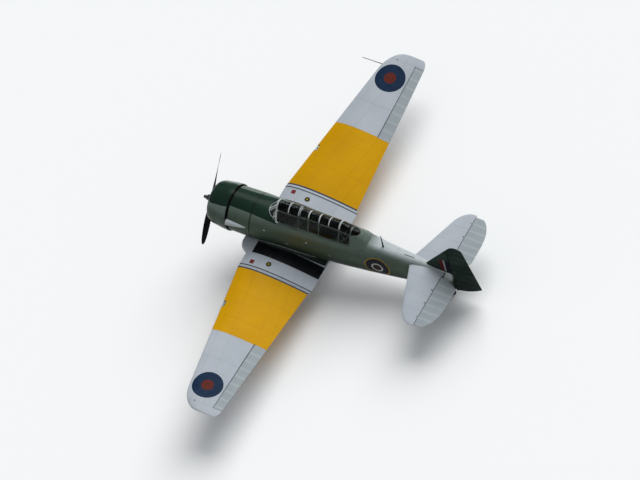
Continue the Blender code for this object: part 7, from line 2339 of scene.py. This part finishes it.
def makeTipLamp(side, hand):
    # position lamps sit on the upper and the lower skin near each tip
    station, span = wingShape["tipLamp"]
    pieces, lenses = [], []
    for face in (1, -1):
        spot = at(station, hand * span, wingSurface(span, station, face))
        way = Vector((0, 0, face))
        pieces.append(turned([(-0.004, 0.020), (0.002, 0.020), (0.004, 0.017), (0.004, 0.004)], spot, way, 28))
        lenses.append(turned([(0.003, 0.0155), (0.010, 0.0145), (0.017, 0.010), (0.020, 0.003)],
                             spot, way, 28))
    finished(pieces, f"tip_lamp_base_{side}", "airframe", "steel", smooth=40)
    colour = "redLens" if hand > 0 else "greenLens"
    finished(lenses, f"tip_lamp_lens_{side}", "airframe", colour, smooth=45)


def makePitot():
    span = wingShape["pitot"]
    front = wingChord(span)[0]
    root = at(front, -span, (wingSurface(span, front, 1) + wingSurface(span, front, -1)) / 2)
    profile = [(-0.046, 0.013), (-0.006, 0.015), (0.004, 0.015), (0.010, 0.0135), (0.19, 0.0135),
               (0.197, 0.0150), (0.212, 0.0150), (0.222, 0.011), (0.600, 0.0105), (0.612, 0.0095),
               (0.644, 0.0060), (0.6445, 0.0040), (0.630, 0.0035)]
    pieces = [turned(profile, root, (1, 0, 0), 28)]
    for way in spokes(6, "x"):
        pieces.append(bolt(root + Vector((0.2045, 0, 0)) + way * 0.0145, way, 0.0025, 0.002))
    finished(pieces, "pitot_and_static_head", "airframe", "steel", "pitot_tube", 35)


def makeMast():
    rings = []
    for z in (0.60, 0.64, 0.70, 0.80, 0.90, 1.00, 1.08, 1.13, 1.15, 1.158):
        share = (z - 0.60) / 0.56
        wide = (0.022 + (0.010 - 0.022) * share) * (1.0 if z < 1.12 else 0.75 if z < 1.155 else 0.4)
        spot = at(5.86 + 0.02 * share, 0, z)
        ring = []
        for j in range(24):
            turn = 2 * math.pi * j / 24
            ring.append(spot + Vector((math.cos(turn) * wide * (1.35 if math.cos(turn) < 0 else 1.0),
                                       math.sin(turn) * wide * 0.62, 0)))
        rings.append(ring)
    mast = skin(rings)
    pieces = [cut(mast, fuselageHull(5.42, 6.53, 0.0005, 8))]
    base = fuselageTop(5.86, 0)
    foot = turned([(-0.02, 0.034), (0.003, 0.034), (0.006, 0.031), (0.009, 0.021), (0.020, 0.0165),
                   (0.020, 0.006)],
                  at(5.862, 0, base - 0.002), (0, 0, 1), 36)
    pieces.append(cut(foot, fuselageHull(5.42, 6.53, 0.0005, 8)))
    pieces.append(rod(at(5.872, 0, 1.128), at(5.905, 0, 1.134), 0.0045, steps=12, edge=0.001))
    finished(pieces, "radio_mast_streamlined", "airframe", "black", "radio_mast", 40)


def makeSideFittings():
    # hand-hold rings and small cover plates on the fuselage sides
    pieces = []
    for hand in (1, -1):
        for station, z in ((2.95, -0.02), (4.30, -0.02)):
            y = fuselageSide(station, z, 0.0)
            pieces.append(turned(wireProfile(0.030, 0.0030, 6), at(station, hand * (y + 0.001), z), (0, 1, 0),
                                 28, loop=True))
        for station in (2.30, 3.62):
            y = fuselageSide(station, 0.30, 0.0)
            plateOutline = [at(station + a, hand * (y - 0.004), 0.30 + b) for a, b in
                            ((-0.035, -0.018), (0.035, -0.018), (0.035, 0.018), (-0.035, 0.018))]
            pieces.append(plate(plateOutline, (0, hand * 0.009, 0), 0.0025, 2))
    finished(pieces, "fuselage_side_fittings", "airframe", "lightGrey", smooth=40)


def makeTailHinges(side, hand):
    # small dark hinge fairings along the back edge of the stabilizer
    pieces = []
    for span in (0.72, 1.18, 1.66):
        z = tail["height"] + stabHalf(span)
        way = Vector((0, 0, 1))
        spot = at(tail["hinge"] - 0.030, hand * span, z - 0.012)
        pieces.append(turned([(0.0, 0.017), (0.009, 0.017), (0.014, 0.013), (0.016, 0.004)], spot, way, 24))
        pieces.append(block(spot + Vector((-0.028, -0.006, 0.0)), spot + Vector((0.010, 0.006, 0.011)), 0.002))
    finished(pieces, f"elevator_hinges_{side}", "airframe", "black", smooth=40)


for side, hand in sides:
    makeTailHinges(side, hand)
    makeJointStrip(side, hand)
    makeRootFillet(side, hand)
    makeFillerCap(side, hand)
    makeLandingLight(side, hand)
    makeTipLamp(side, hand)
makePitot()
makeMast()
makeSideFittings()
cockpitFloor = bpy.data.objects["cockpit_floor"]
cockpitFloor.data.materials.clear()
cockpitFloor.data.materials.append(finishes["interior"])
print("fittings made")
